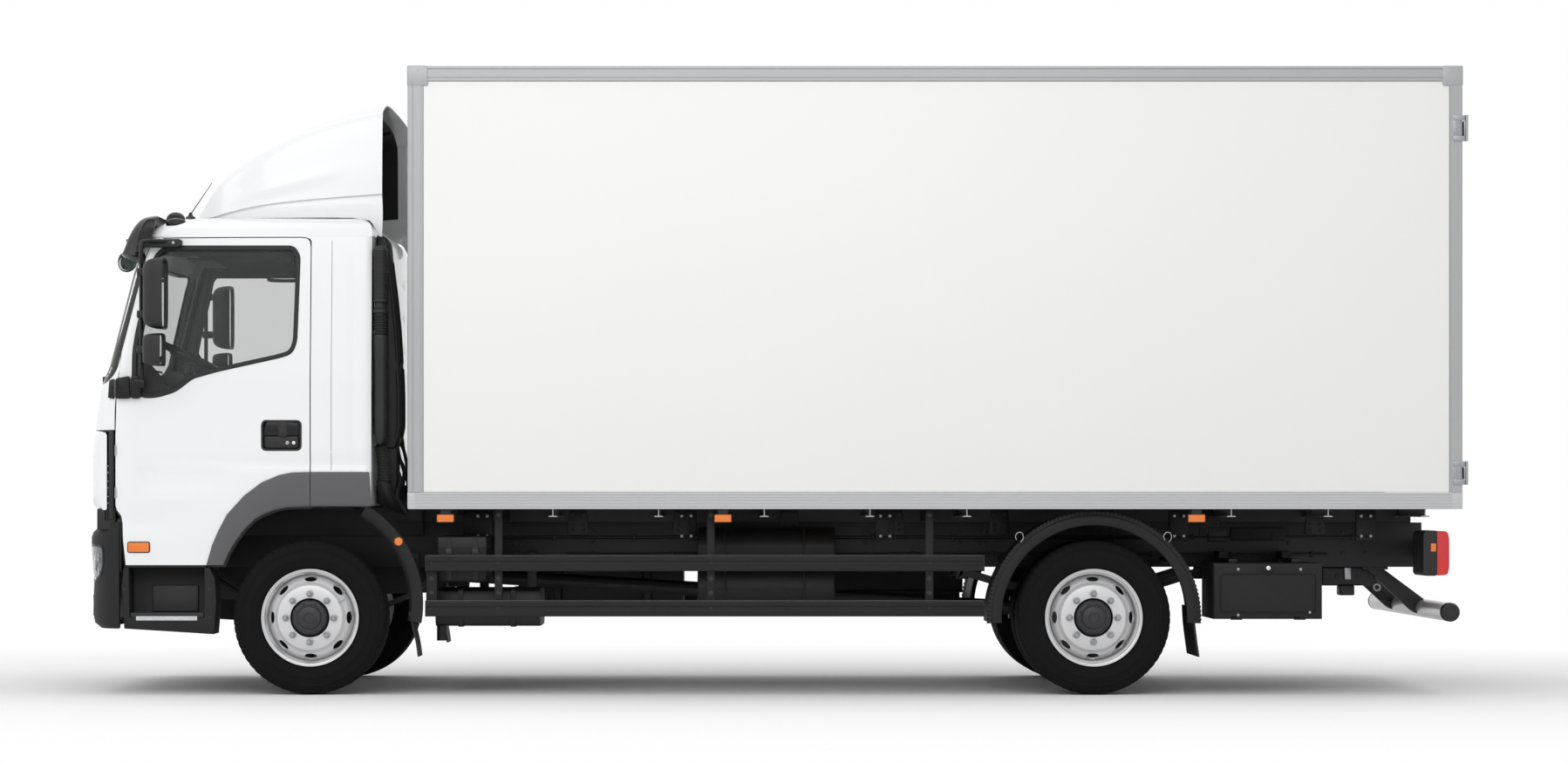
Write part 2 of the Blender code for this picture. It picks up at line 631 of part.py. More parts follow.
def underrun_bar():
    bar = rod((UNDERRUN_X, -UNDERRUN_REACH, UNDERRUN_Z), (UNDERRUN_X, UNDERRUN_REACH, UNDERRUN_Z),
              UNDERRUN_RADIUS, 16)
    top = RAIL_LOW - SEAT_GAP
    arm = [(RAIL_REAR - 0.34, top), (RAIL_REAR - 0.24, top), (UNDERRUN_X + 0.020, UNDERRUN_Z + 0.03),
           (UNDERRUN_X - 0.020, UNDERRUN_Z - 0.04), (UNDERRUN_X - 0.08, UNDERRUN_Z - 0.02)]
    arms = [plate(arm, "Y", *sorted((side * (RAIL_FACE - 0.055), side * (RAIL_FACE - 0.010)))) for _, side in SIDES]
    return node("underrun_bar", "wheel_silver", joined(bar, *arms))


def tail_lamps():
    front = RAIL_REAR + SEAT_GAP
    bar = block((front, -LAMP_BAR_REACH, 0.740), (front + LAMP_BAR_LENGTH, LAMP_BAR_REACH, 0.900))
    lamps = [side_block(side, LAMP_FRONT, front + LAMP_BAR_LENGTH, 0.780, 1.110, 0.674, 0.937)
             for _, side in SIDES]
    return node("tail_lamps", "red_lens", joined(bar, *lamps))


# Mudguards

FRONT_GUARD = {"in": 0.566, "out": 0.600, "lip": 0.640, "start": -4.0, "end": 96.0}
GUARD_INNER = CAB_HALF_WIDTH - 0.270
REAR_GUARD = {"in": 0.556, "out": 0.592, "lip": 0.612, "start": -1.0, "end": 181.0}


def mudguards():
    for word, side in SIDES:
        size = FRONT_GUARD
        y_low, y_high = sorted((side * GUARD_INNER, side * CAB_HALF_WIDTH))
        band = plate(ring_arc(FRONT_AXLE, WHEEL_Z, size["in"], size["out"], size["start"], size["end"], 10), "Y",
                     y_low, y_high)
        y_low, y_high = sorted((side * (CAB_HALF_WIDTH - 0.030), side * (CAB_HALF_WIDTH + 0.002)))
        lip = plate(ring_arc(FRONT_AXLE, WHEEL_Z, size["in"] + 0.01, size["lip"], size["start"] + 0.5, 66.0, 8),
                    "Y", y_low, y_high)
        flap = [(0.575, 0.42), (0.590, 0.42), (0.625, 0.215), (0.610, 0.215)]
        y_low, y_high = sorted((side * (GUARD_INNER + 0.020), side * (CAB_HALF_WIDTH - 0.015)))
        flap = plate([(FRONT_AXLE + x, z) for x, z in flap], "Y", y_low, y_high)
        arm = side_block(side, FRONT_AXLE + 0.470, FRONT_AXLE + 0.510, RAIL_FACE + SEAT_GAP, GUARD_INNER + 0.020,
                         0.72, 0.78)
        node(f"front_mudguard_{word}", "dark_plastic", joined(band, lip, flap, arm))

        size = REAR_GUARD
        y_low, y_high = sorted((side * 0.640, side * (REAR_TRACK_FACE + 0.020)))
        band = plate(ring_arc(REAR_AXLE, WHEEL_Z, size["in"], size["out"], size["start"], size["end"], 18), "Y",
                     y_low, y_high)
        y_low, y_high = sorted((side * (REAR_TRACK_FACE - 0.010), side * (REAR_TRACK_FACE + 0.022)))
        lip = plate(ring_arc(REAR_AXLE, WHEEL_Z, size["in"] + 0.01, size["lip"], size["start"] + 0.5,
                             size["end"] - 0.5, 18), "Y", y_low, y_high)
        flap = [(0.560, 0.46), (0.574, 0.46), (0.600, 0.215), (0.586, 0.215)]
        y_low, y_high = sorted((side * 0.660, side * REAR_TRACK_FACE))
        flap = plate([(REAR_AXLE + x, z) for x, z in flap], "Y", y_low, y_high)
        arms = [rod((REAR_AXLE + x, side * (RAIL_FACE + SEAT_GAP), 0.76),
                    (REAR_AXLE + x, side * 0.700, 0.76), 0.020) for x in (-0.478, 0.478)]
        node(f"rear_mudguard_{word}", "dark_plastic", joined(band, lip, flap, *arms))


# Steps under the doors

STEP_OUTLINE = [(-1.060, 0.725), (-1.071, 0.620), (-1.056, 0.377), (-0.545, 0.345), (-0.540, 0.400),
                (-0.532, 0.531), (-0.540, 0.660), (-0.570, 0.725)]
STEP_WELL = [(-1.030, 0.760), (-1.025, 0.440), (-0.600, 0.440), (-0.600, 0.760)]
STEP_IN = CAB_HALF_WIDTH - 0.200


def steps():
    for word, side in SIDES:
        outline = [(FRONT_AXLE + x, z) for x, z in STEP_OUTLINE]
        body = plate(outline, "Y", *sorted((side * STEP_IN, side * (CAB_HALF_WIDTH - 0.002))))
        well = plate([(FRONT_AXLE + x, z) for x, z in STEP_WELL], "Y",
                     *sorted((side * (STEP_IN + 0.040), side * (CAB_HALF_WIDTH + 0.05))))
        arms = [side_block(side, FRONT_AXLE + x, FRONT_AXLE + x + 0.05, RAIL_FACE + SEAT_GAP, STEP_IN + 0.01,
                           0.640, 0.720 + 0.04) for x in (-0.98,)]
        node(f"step_{word}", "dark_plastic", joined(cut(body, well), *arms))


# Front bumper and headlamps

# Bumper levels: z, how far the face stands back from the foremost level
BUMPER_LEVELS = [(0.377, 0.060), (0.402, 0.022), (0.481, 0.012), (0.655, 0.020), (0.830, 0.0), (0.915, 0.0),
                 (0.950, 0.050), (0.982, 0.070)]
NOSE_FRONT = -1.316
BUMPER_REAR = -1.085


def nose_plan(front, rear, half, count=4):
    """Half of a plan outline from the nose's middle round the corner to the side: x, y."""
    crown, flat = 0.020, half - 0.300
    corner = rear - front - crown - 0.010
    points = [(front, 0.0), (front + crown, flat)]
    for i in range(1, count + 1):
        angle = math.radians(90 * i / count)
        points.append((front + crown + corner * (1 - math.cos(angle)), flat + 0.300 * math.sin(angle)))
    points.append((rear, half))
    return points


def wrapped(front, rear, half, thickness):
    """A closed plan loop of a panel that wraps round the nose."""
    outer = nose_plan(front, rear, half)
    inner = nose_plan(front + thickness, rear, half - thickness)
    return [(x, -y) for x, y in outer[:0:-1]] + outer + inner[::-1] + [(x, -y) for x, y in inner[1:]]


def bumper_form(inset, thickness):
    sections = []
    for z, back in BUMPER_LEVELS:
        plan = wrapped(NOSE_FRONT + back + inset, BUMPER_REAR, CAB_HALF_WIDTH - 0.004 - inset, thickness)
        sections.append([(FRONT_AXLE + x, y, z) for x, y in plan])
    return skinned(sections)


LAMP_IN, LAMP_OUT = CAB_HALF_WIDTH - 0.450, CAB_HALF_WIDTH + 0.050
LAMP_WINDOW = [(LAMP_IN, 0.655), (LAMP_OUT, 0.640), (LAMP_OUT, 0.850), (LAMP_IN, 0.850)]
LAMP_REAR = -1.185


def front_bumper():
    body = bumper_form(0.0, 0.050)
    windows = []
    for _, side in SIDES:
        window = [(side * y, z) for y, z in LAMP_WINDOW]
        windows.append(plate(window, "X", FRONT_AXLE + NOSE_FRONT - 0.1, FRONT_AXLE + LAMP_REAR))
    beam = block((FRONT_AXLE + NOSE_FRONT + 0.055, -0.60, 0.740), (RAIL_FRONT - SEAT_GAP, 0.60, 0.900))
    horns = block((FRONT_AXLE + NOSE_FRONT + 0.03, -0.50, 0.745), (FRONT_AXLE + NOSE_FRONT + 0.08, 0.50, 0.895))
    node("front_bumper", "dark_plastic", joined(cut(body, *windows), beam, horns))
    for word, side in SIDES:
        window = grown([(side * y, z) for y, z in LAMP_WINDOW], -SEAT_GAP)
        window = plate(window, "X", FRONT_AXLE + NOSE_FRONT - 0.1, FRONT_AXLE + LAMP_REAR - 0.002)
        node(f"headlamp_{word}", "headlamp", shared(bumper_form(0.004, 0.045), window))


# Front panel: swings up on a hinge along its top edge

PANEL_FRONT = -1.305
PANEL_REAR = -1.155
PANEL_THICK = 0.032
PANEL_HINGE = (-1.268, PANEL_TOP + 0.002)
# Panel lugs and the cab's lugs stand end to end along the hinge
LUG_Y = 0.300
LUG_WIDTH = 0.040
LUG_RADIUS = 0.004
# Front panel levels: z, how far the face stands back
PANEL_LEVELS = [(NOSE_LOW, 0.050), (1.030, 0.018), (1.100, 0.004), (1.380, 0.0), (1.440, 0.008),
                (PANEL_TOP - 0.006, 0.040)]
# Louvres: lower z, upper z, y in from the cab's side
LOUVRES = [(1.085, 1.135, 0.43), (1.175, 1.225, 0.39), (1.265, 1.315, 0.35)]


def front_panel():
    sections = []
    for z, back in PANEL_LEVELS:
        plan = wrapped(PANEL_FRONT + back, PANEL_REAR, CAB_HALF_WIDTH - 0.006, PANEL_THICK)
        sections.append([(FRONT_AXLE + x, y, z) for x, y in plan])
    slots = [block((FRONT_AXLE + PANEL_FRONT - 0.05, inset - CAB_HALF_WIDTH, low),
                   (FRONT_AXLE + PANEL_FRONT + 0.10, CAB_HALF_WIDTH - inset, high))
             for low, high, inset in LOUVRES]
    lugs = []
    axis_x, axis_z = FRONT_AXLE + PANEL_HINGE[0], PANEL_HINGE[1]
    for _, side in SIDES:
        inner, outer = LUG_Y - LUG_WIDTH, LUG_Y - SEAT_GAP
        lugs.append(side_block(side, axis_x - 0.003, axis_x + 0.024, inner, outer, axis_z - 0.018, axis_z))
        lugs.append(rod((axis_x, side * inner, axis_z), (axis_x, side * outer, axis_z), LUG_RADIUS, 8))
    node("front_panel", "white_paint", joined(cut(skinned(sections), *slots), *lugs),
         (FRONT_AXLE + PANEL_HINGE[0], 0, PANEL_HINGE[1]))


# Cab

# Cab levels: z, nose from the front axle, forward of the cab's rear, y in from the cab's side
CAB_LEVELS = [(1.508, -1.290, 0.0, 0.0), (1.620, -1.278, 0.0, 0.0), (1.770, -1.252, 0.0, 0.0),
              (BELT_Z, -1.236, 0.0, 0.0), (1.870, -1.210, 0.0, 0.0), (2.415, -1.075, 0.0, 0.0),
              (2.580, -1.020, 0.0, 0.006), (2.660, -0.960, 0.005, 0.025), (2.705, -0.890, 0.032, 0.070),
              (CAB_ROOF, -0.720, 0.127, 0.160)]


def cab_plan(front, rear, half):
    """A closed plan loop of the cab: flat rear, straight sides, rounded front corners."""
    right = [(front, 0.0), (front + 0.022, half - 0.35), (front + 0.050, half - 0.14), (front + 0.100, half - 0.045),
             (front + 0.220, half), (rear - 0.020, half), (rear, half - 0.020)]
    return right + [(x, -y) for x, y in right[:0:-1]]


def cab_form(inset):
    """The cab above the front panel, moved in by an inset all round."""
    sections = []
    for i, (z, front, forward, side_inset) in enumerate(CAB_LEVELS):
        rear, half = CAB_REAR - FRONT_AXLE - forward, CAB_HALF_WIDTH - side_inset
        height = z + inset if i == 0 else z
        if i > 5:
            height = z - inset * (i - 5) / (len(CAB_LEVELS) - 6)
        plan = cab_plan(front + inset, rear - inset, half - inset)
        sections.append([(FRONT_AXLE + x, y, height) for x, y in plan])
    return skinned(sections)


# Door outline: x from the front axle, z
DOOR_OUTLINE = [(-1.046, 0.739), (-1.061, 0.878), (-1.066, 0.977), (-1.076, 1.027), (DOOR_FRONT, 1.061),
                (DOOR_FRONT, 1.473), (-1.101, 1.696), (-1.091, BELT_Z), (-1.076, 1.969), (-1.056, 2.068),
                (-1.017, 2.217), (-0.972, 2.405), (-0.915, 2.575), (-0.880, 2.600), (-0.050, 2.605),
                (-0.010, 2.590), (0.0, 2.550), (0.0, 1.070), (-0.124, 1.066), (-0.198, 1.050), (-0.273, 1.020),
                (-0.322, 0.988), (-0.372, 0.938), (-0.421, 0.873), (-0.461, 0.805), (-0.490, 0.739)]
# Door window: x from the front axle, z
WINDOW_OUTLINE = [(-0.955, 1.700), (-0.868, 1.703), (-0.769, 1.734), (-0.719, 1.771), (-0.670, 1.810),
                  (-0.521, 1.852), (-0.174, 1.929), (-0.124, 1.954), (-0.094, 2.004), (-0.079, 2.217),
                  (-0.072, 2.480), (-0.095, 2.525), (-0.149, 2.545), (-0.800, 2.545), (-0.875, 2.500),
                  (-0.915, 2.350), (-0.950, 2.217), (-0.985, 2.060), (-1.000, 1.950)]
DOOR_THICK = 0.055


def cab_side(outline):
    return [(FRONT_AXLE + x, z) for x, z in outline]


# Upper edge of the wheel arch's trim on the door, then a line well inside the arch: x from the front axle, z
TRIM_OUTLINE = [(0.100, 1.270), (0.0, 1.270), (-0.099, 1.267), (-0.174, 1.252), (-0.273, 1.210),
                (-0.372, 1.136), (-0.471, 1.027), (-0.521, 0.932), (-0.555, 0.853), (-0.590, 0.720),
                (-0.300, 0.720), (0.100, 0.900)]
TRIM_EDGE = 0.0015


def arch_trim(side):
    """The flared trim over the wheel arch, the part of it that the door carries."""
    low, high = sorted((side * (CAB_HALF_WIDTH - 0.02), side * (CAB_HALF_WIDTH + TRIM_OUT)))
    region = plate(cab_side(TRIM_OUTLINE), "Y", low, high)
    door = plate(grown(cab_side(DOOR_OUTLINE), -TRIM_EDGE), "Y", *sorted((side * 0.5, side * 2)))
    return shared(region, door)


TRIM_OUT = 0.014
SCREEN_LOW, SCREEN_HIGH = CAB_HALF_WIDTH - 0.135, CAB_HALF_WIDTH - 0.165
WINDSCREEN = [(-SCREEN_LOW, 1.850), (SCREEN_LOW, 1.850), (SCREEN_HIGH, 2.500), (-SCREEN_HIGH, 2.500)]


def barrel(side, low, rear):
    """One barrel of a door hinge on its axis, with the web that carries it from the front or the rear."""
    pin = (DOOR_HINGE_X, side * CAB_HALF_WIDTH)
    reach = 0.018 if rear else -0.018
    x_low, x_high = sorted((pin[0], pin[0] + reach))
    web = side_block(side, x_low, x_high, CAB_HALF_WIDTH - BARREL_ROOM, CAB_HALF_WIDTH - BARREL_ROOM + BARREL_WEB,
                     low, low + BARREL_HEIGHT)
    return [rod((*pin, low), (*pin, low + BARREL_HEIGHT), DOOR_BARREL, 8), web]


def barrel_room(side, low, rear):
    """The notch beside the other half's barrel."""
    x_low, x_high = sorted((DOOR_HINGE_X, DOOR_HINGE_X + (BARREL_ROOM if rear else -BARREL_ROOM)))
    return side_block(side, x_low - 0.001, x_high + 0.001, CAB_HALF_WIDTH - BARREL_ROOM, CAB_HALF_WIDTH + 0.02,
                      low - 0.004, low + BARREL_HEIGHT + 0.004)


def cab_shell():
    low = 1.000
    lower = block((FIREWALL, -CAB_HALF_WIDTH, CAB_FLOOR_LOW), (CAB_REAR, CAB_HALF_WIDTH, 1.560))
    pillars = [side_block(side, FIREWALL, FRONT_AXLE - 1.070, CAB_HALF_WIDTH - DOOR_THICK, CAB_HALF_WIDTH,
                          low, 1.30) for _, side in SIDES]
    outer = joined(cab_form(0.0), lower, *pillars)
    hollow = block((FIREWALL + 0.035, -CAB_HALF_WIDTH + CAB_WALL, CAB_FLOOR_TOP),
                   (CAB_REAR - CAB_WALL, CAB_HALF_WIDTH - CAB_WALL, 1.700))
    shell = cut(outer, joined(cab_form(CAB_WALL), hollow))
    opening = grown(cab_side(DOOR_OUTLINE), PANEL_GAP)
    trims = []
    doors = []
    for _, side in SIDES:
        sill = side_block(side, FRONT_AXLE, CAB_REAR, CAB_HALF_WIDTH - CAB_WALL, CAB_HALF_WIDTH + TRIM_OUT, 1.070,
                          1.270)
        trims.append(sill)
        doors.append(plate(opening, "Y", *sorted((side * (CAB_HALF_WIDTH - DOOR_THICK - 0.02),
                                                   side * (CAB_HALF_WIDTH + 0.10)))))
    shell = cut(joined(shell, *trims), *doors)
    screen = plate(WINDSCREEN, "X", FRONT_AXLE - 1.40, FRONT_AXLE - 0.80)
    rooms, barrels = [], []
    for _, side in SIDES:
        for z in DOOR_HINGES:
            rooms.append(barrel_room(side, z + BARREL_HEIGHT + SEAT_GAP, False))
            barrels += barrel(side, z, False)
    lugs = [block((FRONT_AXLE + PANEL_HINGE[0] - 0.008, y, PANEL_HINGE[1] - 0.004),
                  (FRONT_AXLE + PANEL_HINGE[0] + 0.010, y + LUG_WIDTH, PANEL_HINGE[1] + 0.014))
            for y in (-LUG_Y - LUG_WIDTH, LUG_Y)]
    shell = joined(cut(shell, screen, *rooms), *barrels, *lugs)
    node("cab_shell", "white_paint", leaned(shell))
    glass = cut(cab_form(0.006), cab_form(0.014))
    pane = plate(grown(WINDSCREEN, -SEAT_GAP), "X", FRONT_AXLE - 1.40, FRONT_AXLE - 0.90)
    node("windscreen", "glass", leaned(shared(glass, pane)))


# Door hinges at the door's front outer edge: lower z of each pair of barrels
DOOR_HINGES = [1.120, 1.360]
BARREL_HEIGHT = 0.030
DOOR_BARREL = 0.005
BARREL_WEB = 0.009
BARREL_ROOM = 0.012
HANDLE = (-0.273, -0.050, 1.389, 1.562)


def doors():
    for word, side in SIDES:
        pin = (DOOR_HINGE_X, side * CAB_HALF_WIDTH, 0)
        inner, outer = CAB_HALF_WIDTH - DOOR_THICK, CAB_HALF_WIDTH
        body = plate(cab_side(DOOR_OUTLINE), "Y", *sorted((side * inner, side * outer)))
        window = cab_side(WINDOW_OUTLINE)
        hole = plate(window, "Y", *sorted((side * (inner - 0.1), side * (outer + 0.1))))
        recess = side_block(side, FRONT_AXLE + HANDLE[0], FRONT_AXLE + HANDLE[1], outer - 0.025, outer + 0.1,
                            HANDLE[2], HANDLE[3])
        rooms, barrels = [], []
        for z in DOOR_HINGES:
            rooms.append(barrel_room(side, z, True))
            barrels += barrel(side, z + BARREL_HEIGHT + SEAT_GAP, True)
        body = joined(cut(joined(body, arch_trim(side)), hole, recess, *rooms), *barrels)
        node(f"door_{word}", "white_paint", leaned(body), pin)
        pane = plate(grown(window, -0.001), "Y", *sorted((side * (inner + 0.028), side * (inner + 0.034))))
        node(f"door_glass_{word}", "glass", leaned(pane), pin)


ARM_RADIUS = 0.014
POLE_Y = CAB_HALF_WIDTH + 0.075
MIRROR_Y = CAB_HALF_WIDTH + 0.180
MIRROR_HALF = 0.110


def mirrors():
    for word, side in SIDES:
        x = FRONT_AXLE
        pin = (DOOR_HINGE_X, side * CAB_HALF_WIDTH, 0)
        upper_face = CAB_HALF_WIDTH * lean_factor(2.544) + SEAT_GAP
        lower_face = CAB_HALF_WIDTH + SEAT_GAP
        pole_x, pole_y = x - 0.945, side * POLE_Y
        middle = side * MIRROR_Y
        main = plate(rounded((x - 0.910, middle - MIRROR_HALF), (x - 0.792, middle + MIRROR_HALF), 0.035), "Z",
                     2.075, 2.474)
        small = plate(rounded((x - 0.915, middle - MIRROR_HALF + 0.005), (x - 0.808, middle + MIRROR_HALF - 0.005),
                              0.03), "Z", 1.864, 2.050)
        top = [side_block(side, x - 0.960, x - 0.729, upper_face, CAB_HALF_WIDTH, 2.544, 2.594),
               side_block(side, x - 0.960, x - 0.910, CAB_HALF_WIDTH - 0.020, POLE_Y + 0.025, 2.548, 2.590)]
        foot = [side_block(side, x - 1.075, x - 0.957, lower_face, CAB_HALF_WIDTH + 0.040, 1.690, 1.790),
                side_block(side, x - 0.990, x - 0.930, CAB_HALF_WIDTH + 0.020, POLE_Y + 0.025, 1.740, 1.786)]
        pole = rod((pole_x, pole_y, 1.760), (pole_x, pole_y, 2.570), ARM_RADIUS)
        holders = [side_block(side, x - 0.955, x - 0.880, POLE_Y - 0.010, POLE_Y + 0.035, z, z + 0.04)
                   for z in (1.95, 2.14, 2.38)]
        node(f"mirror_{word}", "dark_plastic", joined(pole, main, small, *top, *foot, *holders), pin)


# Inside the cab

COLUMN_TILT = math.radians(25)
WHEEL_CENTRE = (-0.820, -0.550, 1.970)
DASH_FACE = (-0.950, 1.820)
DASH_CLEAR = 0.170


def dashboard():
    slope = math.tan(COLUMN_TILT) * 0.150
    outline = [(-1.085, 1.500), (-1.085, 1.800), DASH_FACE, (DASH_FACE[0] + 0.150, DASH_FACE[1] - slope),
               (-0.740, 1.600), (-0.790, 1.500)]
    reach = CAB_HALF_WIDTH - DASH_CLEAR
    top = plate(cab_side(outline), "Y", -reach, reach)
    console = block((FRONT_AXLE - 1.050, -0.200, CAB_FLOOR_TOP + SEAT_GAP), (FRONT_AXLE - 0.800, 0.200, 1.550))
    node("dashboard", "dark_plastic", joined(top, console))


def steering_wheel():
    centre = Vector((FRONT_AXLE + WHEEL_CENTRE[0], WHEEL_CENTRE[1], WHEEL_CENTRE[2]))
    normal = Vector((math.sin(COLUMN_TILT), 0, math.cos(COLUMN_TILT)))
    flat = Vector((math.cos(COLUMN_TILT), 0, -math.sin(COLUMN_TILT)))
    form = bmesh.new()
    around, sides, ring_radius, grip = 16, 5, 0.222, 0.015
    rings = []
    for i in range(around):
        angle = math.tau * i / around
        out = flat * math.cos(angle) + Vector((0, 1, 0)) * math.sin(angle)
        rings.append([form.verts.new(centre + out * (ring_radius + grip * math.cos(math.tau * k / sides))
                                     + normal * grip * math.sin(math.tau * k / sides)) for k in range(sides)])
    for i in range(around):
        near, far = rings[i], rings[(i + 1) % around]
        for k in range(sides):
            j = (k + 1) % sides
            form.faces.new((near[k], near[j], far[j], far[k]))
    ring = to_mesh(form)
    face = Vector((FRONT_AXLE + DASH_FACE[0], WHEEL_CENTRE[1], DASH_FACE[1]))
    reach = (centre - face).dot(normal)
    column = rod(centre - normal * (reach - SEAT_GAP), centre, 0.040)
    hub = rod(centre - normal * 0.05, centre + normal * 0.012, 0.075)
    spokes = [rod(centre - normal * 0.01, centre + (flat * math.cos(a) + Vector((0, 1, 0)) * math.sin(a)) * 0.222,
                  0.012, 5) for a in (math.radians(20), math.radians(140), math.radians(220), math.radians(340))]
    node("steering_wheel", "dark_plastic", joined(ring, hub, column, *spokes))


SEAT_OUTLINE = [(-0.620, 1.470), (-0.635, 1.590), (-0.600, 1.630), (-0.200, 1.600), (-0.140, 1.660),
                (-0.060, 2.020), (-0.010, 2.250), (0.010, 2.420), (0.090, 2.420), (0.110, 2.250), (0.030, 1.560),
                (-0.020, 1.470)]
SEAT_Y = 0.560
SEAT_HALF = 0.240


def seats():
    for word, side in SIDES:
        body = plate(cab_side(SEAT_OUTLINE), "Y", side * SEAT_Y - SEAT_HALF, side * SEAT_Y + SEAT_HALF)
        base = block((FRONT_AXLE - 0.530, side * SEAT_Y - 0.16, CAB_FLOOR_TOP + SEAT_GAP),
                     (FRONT_AXLE - 0.120, side * SEAT_Y + 0.16, 1.490))
        node(f"seat_{word}", "seat_cloth", joined(body, base))


# On and behind the cab

# Roof deflector stations: x from the front axle, underside z, crest z, y in from the cab's side
DEFLECTOR = [(-0.640, 2.745, 2.765, 0.450), (-0.560, 2.745, 2.865, 0.290), (-0.420, 2.760, 2.985, 0.220),
             (-0.200, 2.790, 3.130, 0.180), (0.080, 2.825, 3.265, 0.165), (0.395, 2.850, 3.360, 0.160)]
DEFLECTOR_WALL = 0.030


def deflector_form(inset, reach):
    sections = []
    for i, (x, low, high, side_inset) in enumerate(DEFLECTOR):
        half = CAB_HALF_WIDTH - side_inset
        x = x + inset * 1.5 if i == 0 else x
        x = x + reach if i == len(DEFLECTOR) - 1 else x
        low = low - 0.10 if inset else low
        high, half = high - inset, half - inset
        shoulder = (high - low) * 0.80 + low
        half_loop = [(0.0, high + 0.012), (half * 0.62, high), (half * 0.90, (shoulder + high) / 2),
                     (half * 0.965, shoulder), (half, low)]
        loop = half_loop + [(-y, z) for y, z in half_loop[:0:-1]]
        sections.append([(FRONT_AXLE + x, y, z) for y, z in loop])
    return skinned(sections)


def roof_deflector():
    shell = cut(deflector_form(0.0, 0.0), deflector_form(DEFLECTOR_WALL, 0.10))
    inner, outer = CAB_HALF_WIDTH - 0.260, CAB_HALF_WIDTH - 0.195
    feet = [side_block(side, FRONT_AXLE + x, FRONT_AXLE + x + 0.06, inner, outer, CAB_ROOF + SEAT_GAP, z)
            for _, side in SIDES for x, z in ((-0.30, 2.90), (0.10, 2.95))]
    node("roof_deflector", "white_paint", joined(shell, *feet))


# Sun visor outline: x from the front axle, z
VISOR_OUTER = [(-1.128, 2.515), (-1.085, 2.609), (-1.040, 2.680), (-1.000, 2.722), (-0.905, 2.745)]
VISOR_WALL = 0.020
# Visor stations: y in from the cab's side, how far the edge stands back
VISOR_STATIONS = [(0.090, 0.120), (0.170, 0.050), (0.400, 0.018)]


def sun_visor():
    sections = []
    half = [(CAB_HALF_WIDTH - inset, back) for inset, back in VISOR_STATIONS]
    for y, back in [(-y, back) for y, back in half] + [(0.0, 0.0)] + half[::-1]:
        inner = [(x + VISOR_WALL, z - VISOR_WALL * 0.8) for x, z in VISOR_OUTER[::-1]]
        inner[-1] = (VISOR_OUTER[0][0] + VISOR_WALL, VISOR_OUTER[0][1])
        sections.append([(FRONT_AXLE + x + back, y, z) for x, z in VISOR_OUTER + inner])
    strips = [side_block(side, FRONT_AXLE - 0.930, FRONT_AXLE - 0.660, 0.480, 0.520, CAB_ROOF + SEAT_GAP, 2.744)
              for _, side in SIDES]
    node("sun_visor", "dark_plastic", joined(skinned(sections), *strips))


def intake_duct():
    x = CAB_REAR + SEAT_GAP
    outer, inner = CAB_HALF_WIDTH - 0.030, CAB_HALF_WIDTH - 0.250
    duct = block((x, -outer, 1.080), (x + 0.080, -inner, 2.560))
    cover = plate([(x, 1.470), (x + 0.085, 1.520), (x + 0.100, 1.800), (x + 0.075, 2.350), (x + 0.030, 2.600),
                   (x, 2.610)], "Y", -inner + 0.020, inner - 0.080)
    bridge = block((x, -inner - 0.02, 1.90), (x + 0.06, -inner + 0.04, 2.20))
    node("intake_duct", "dark_plastic", joined(duct, cover, bridge))


# Box body

def box_body():
    floor_top, rail_low = BOX_LOW + FLOOR_DEPTH, BOX_HIGH - RAIL_DEPTH
    low, high = floor_top + SEAT_GAP, rail_low - SEAT_GAP
    bottom = RAIL_TOP + SEAT_GAP
    bars = [side_block(side, BOX_FRONT + 0.02, BOX_REAR - 0.14, RAIL_FACE - RAIL_FLANGE, RAIL_FACE, bottom,
                       BOX_LOW + 0.01) for _, side in SIDES]
    bearers = [block((REAR_AXLE + x, -BEARER_REACH, BOX_LOW - BEARER_DEPTH),
                     (REAR_AXLE + x + BEARER_WIDTH, BEARER_REACH, BOX_LOW + 0.01)) for x in BEARERS]
    platform = block((BOX_FRONT, -BOX_HALF_WIDTH, BOX_LOW), (BOX_REAR, BOX_HALF_WIDTH, floor_top))
    node("box_floor", "aluminium", joined(platform, *bars, *bearers))
    lid = block((BOX_FRONT, -BOX_HALF_WIDTH, rail_low), (BOX_REAR, BOX_HALF_WIDTH, BOX_HIGH))
    hollow = block((BOX_FRONT + WALL, -BOX_HALF_WIDTH + WALL, rail_low - 0.1),
                   (BOX_REAR - REAR_POST_LENGTH, BOX_HALF_WIDTH - WALL, BOX_HIGH - WALL))
    node("box_roof", "aluminium", cut(lid, hollow))
    inner = BOX_HALF_WIDTH - WALL
    front, back = BOX_FRONT, BOX_FRONT + POST_LENGTH
    plan = [(front, -BOX_HALF_WIDTH), (back, -BOX_HALF_WIDTH), (back, -inner), (front + WALL, -inner),
            (front + WALL, inner), (back, inner), (back, BOX_HALF_WIDTH), (front, BOX_HALF_WIDTH)]
    node("box_front_wall", "box_panel", plate(plan, "Z", low, high))
    for word, side in SIDES:
        node(f"box_side_{word}", "box_panel",
             side_block(side, back + SEAT_GAP, BOX_REAR - REAR_POST_LENGTH - SEAT_GAP, inner, BOX_HALF_WIDTH, low,
                        high))


# Rear door hinges: lower z, upper z
HINGES = [(1.195, 1.328), (3.139, 3.287)]
HINGE_X = BOX_REAR + HINGE_STAND_OFF
HINGE_Y = BOX_HALF_WIDTH + HINGE_OUT
PIN_RADIUS = 0.007
LEAF_HEIGHT = 0.030
HEADER = 0.080
DOOR_EDGE = 0.006
DOOR_MEET = 0.004
REAR_DOOR_THICK = 0.035


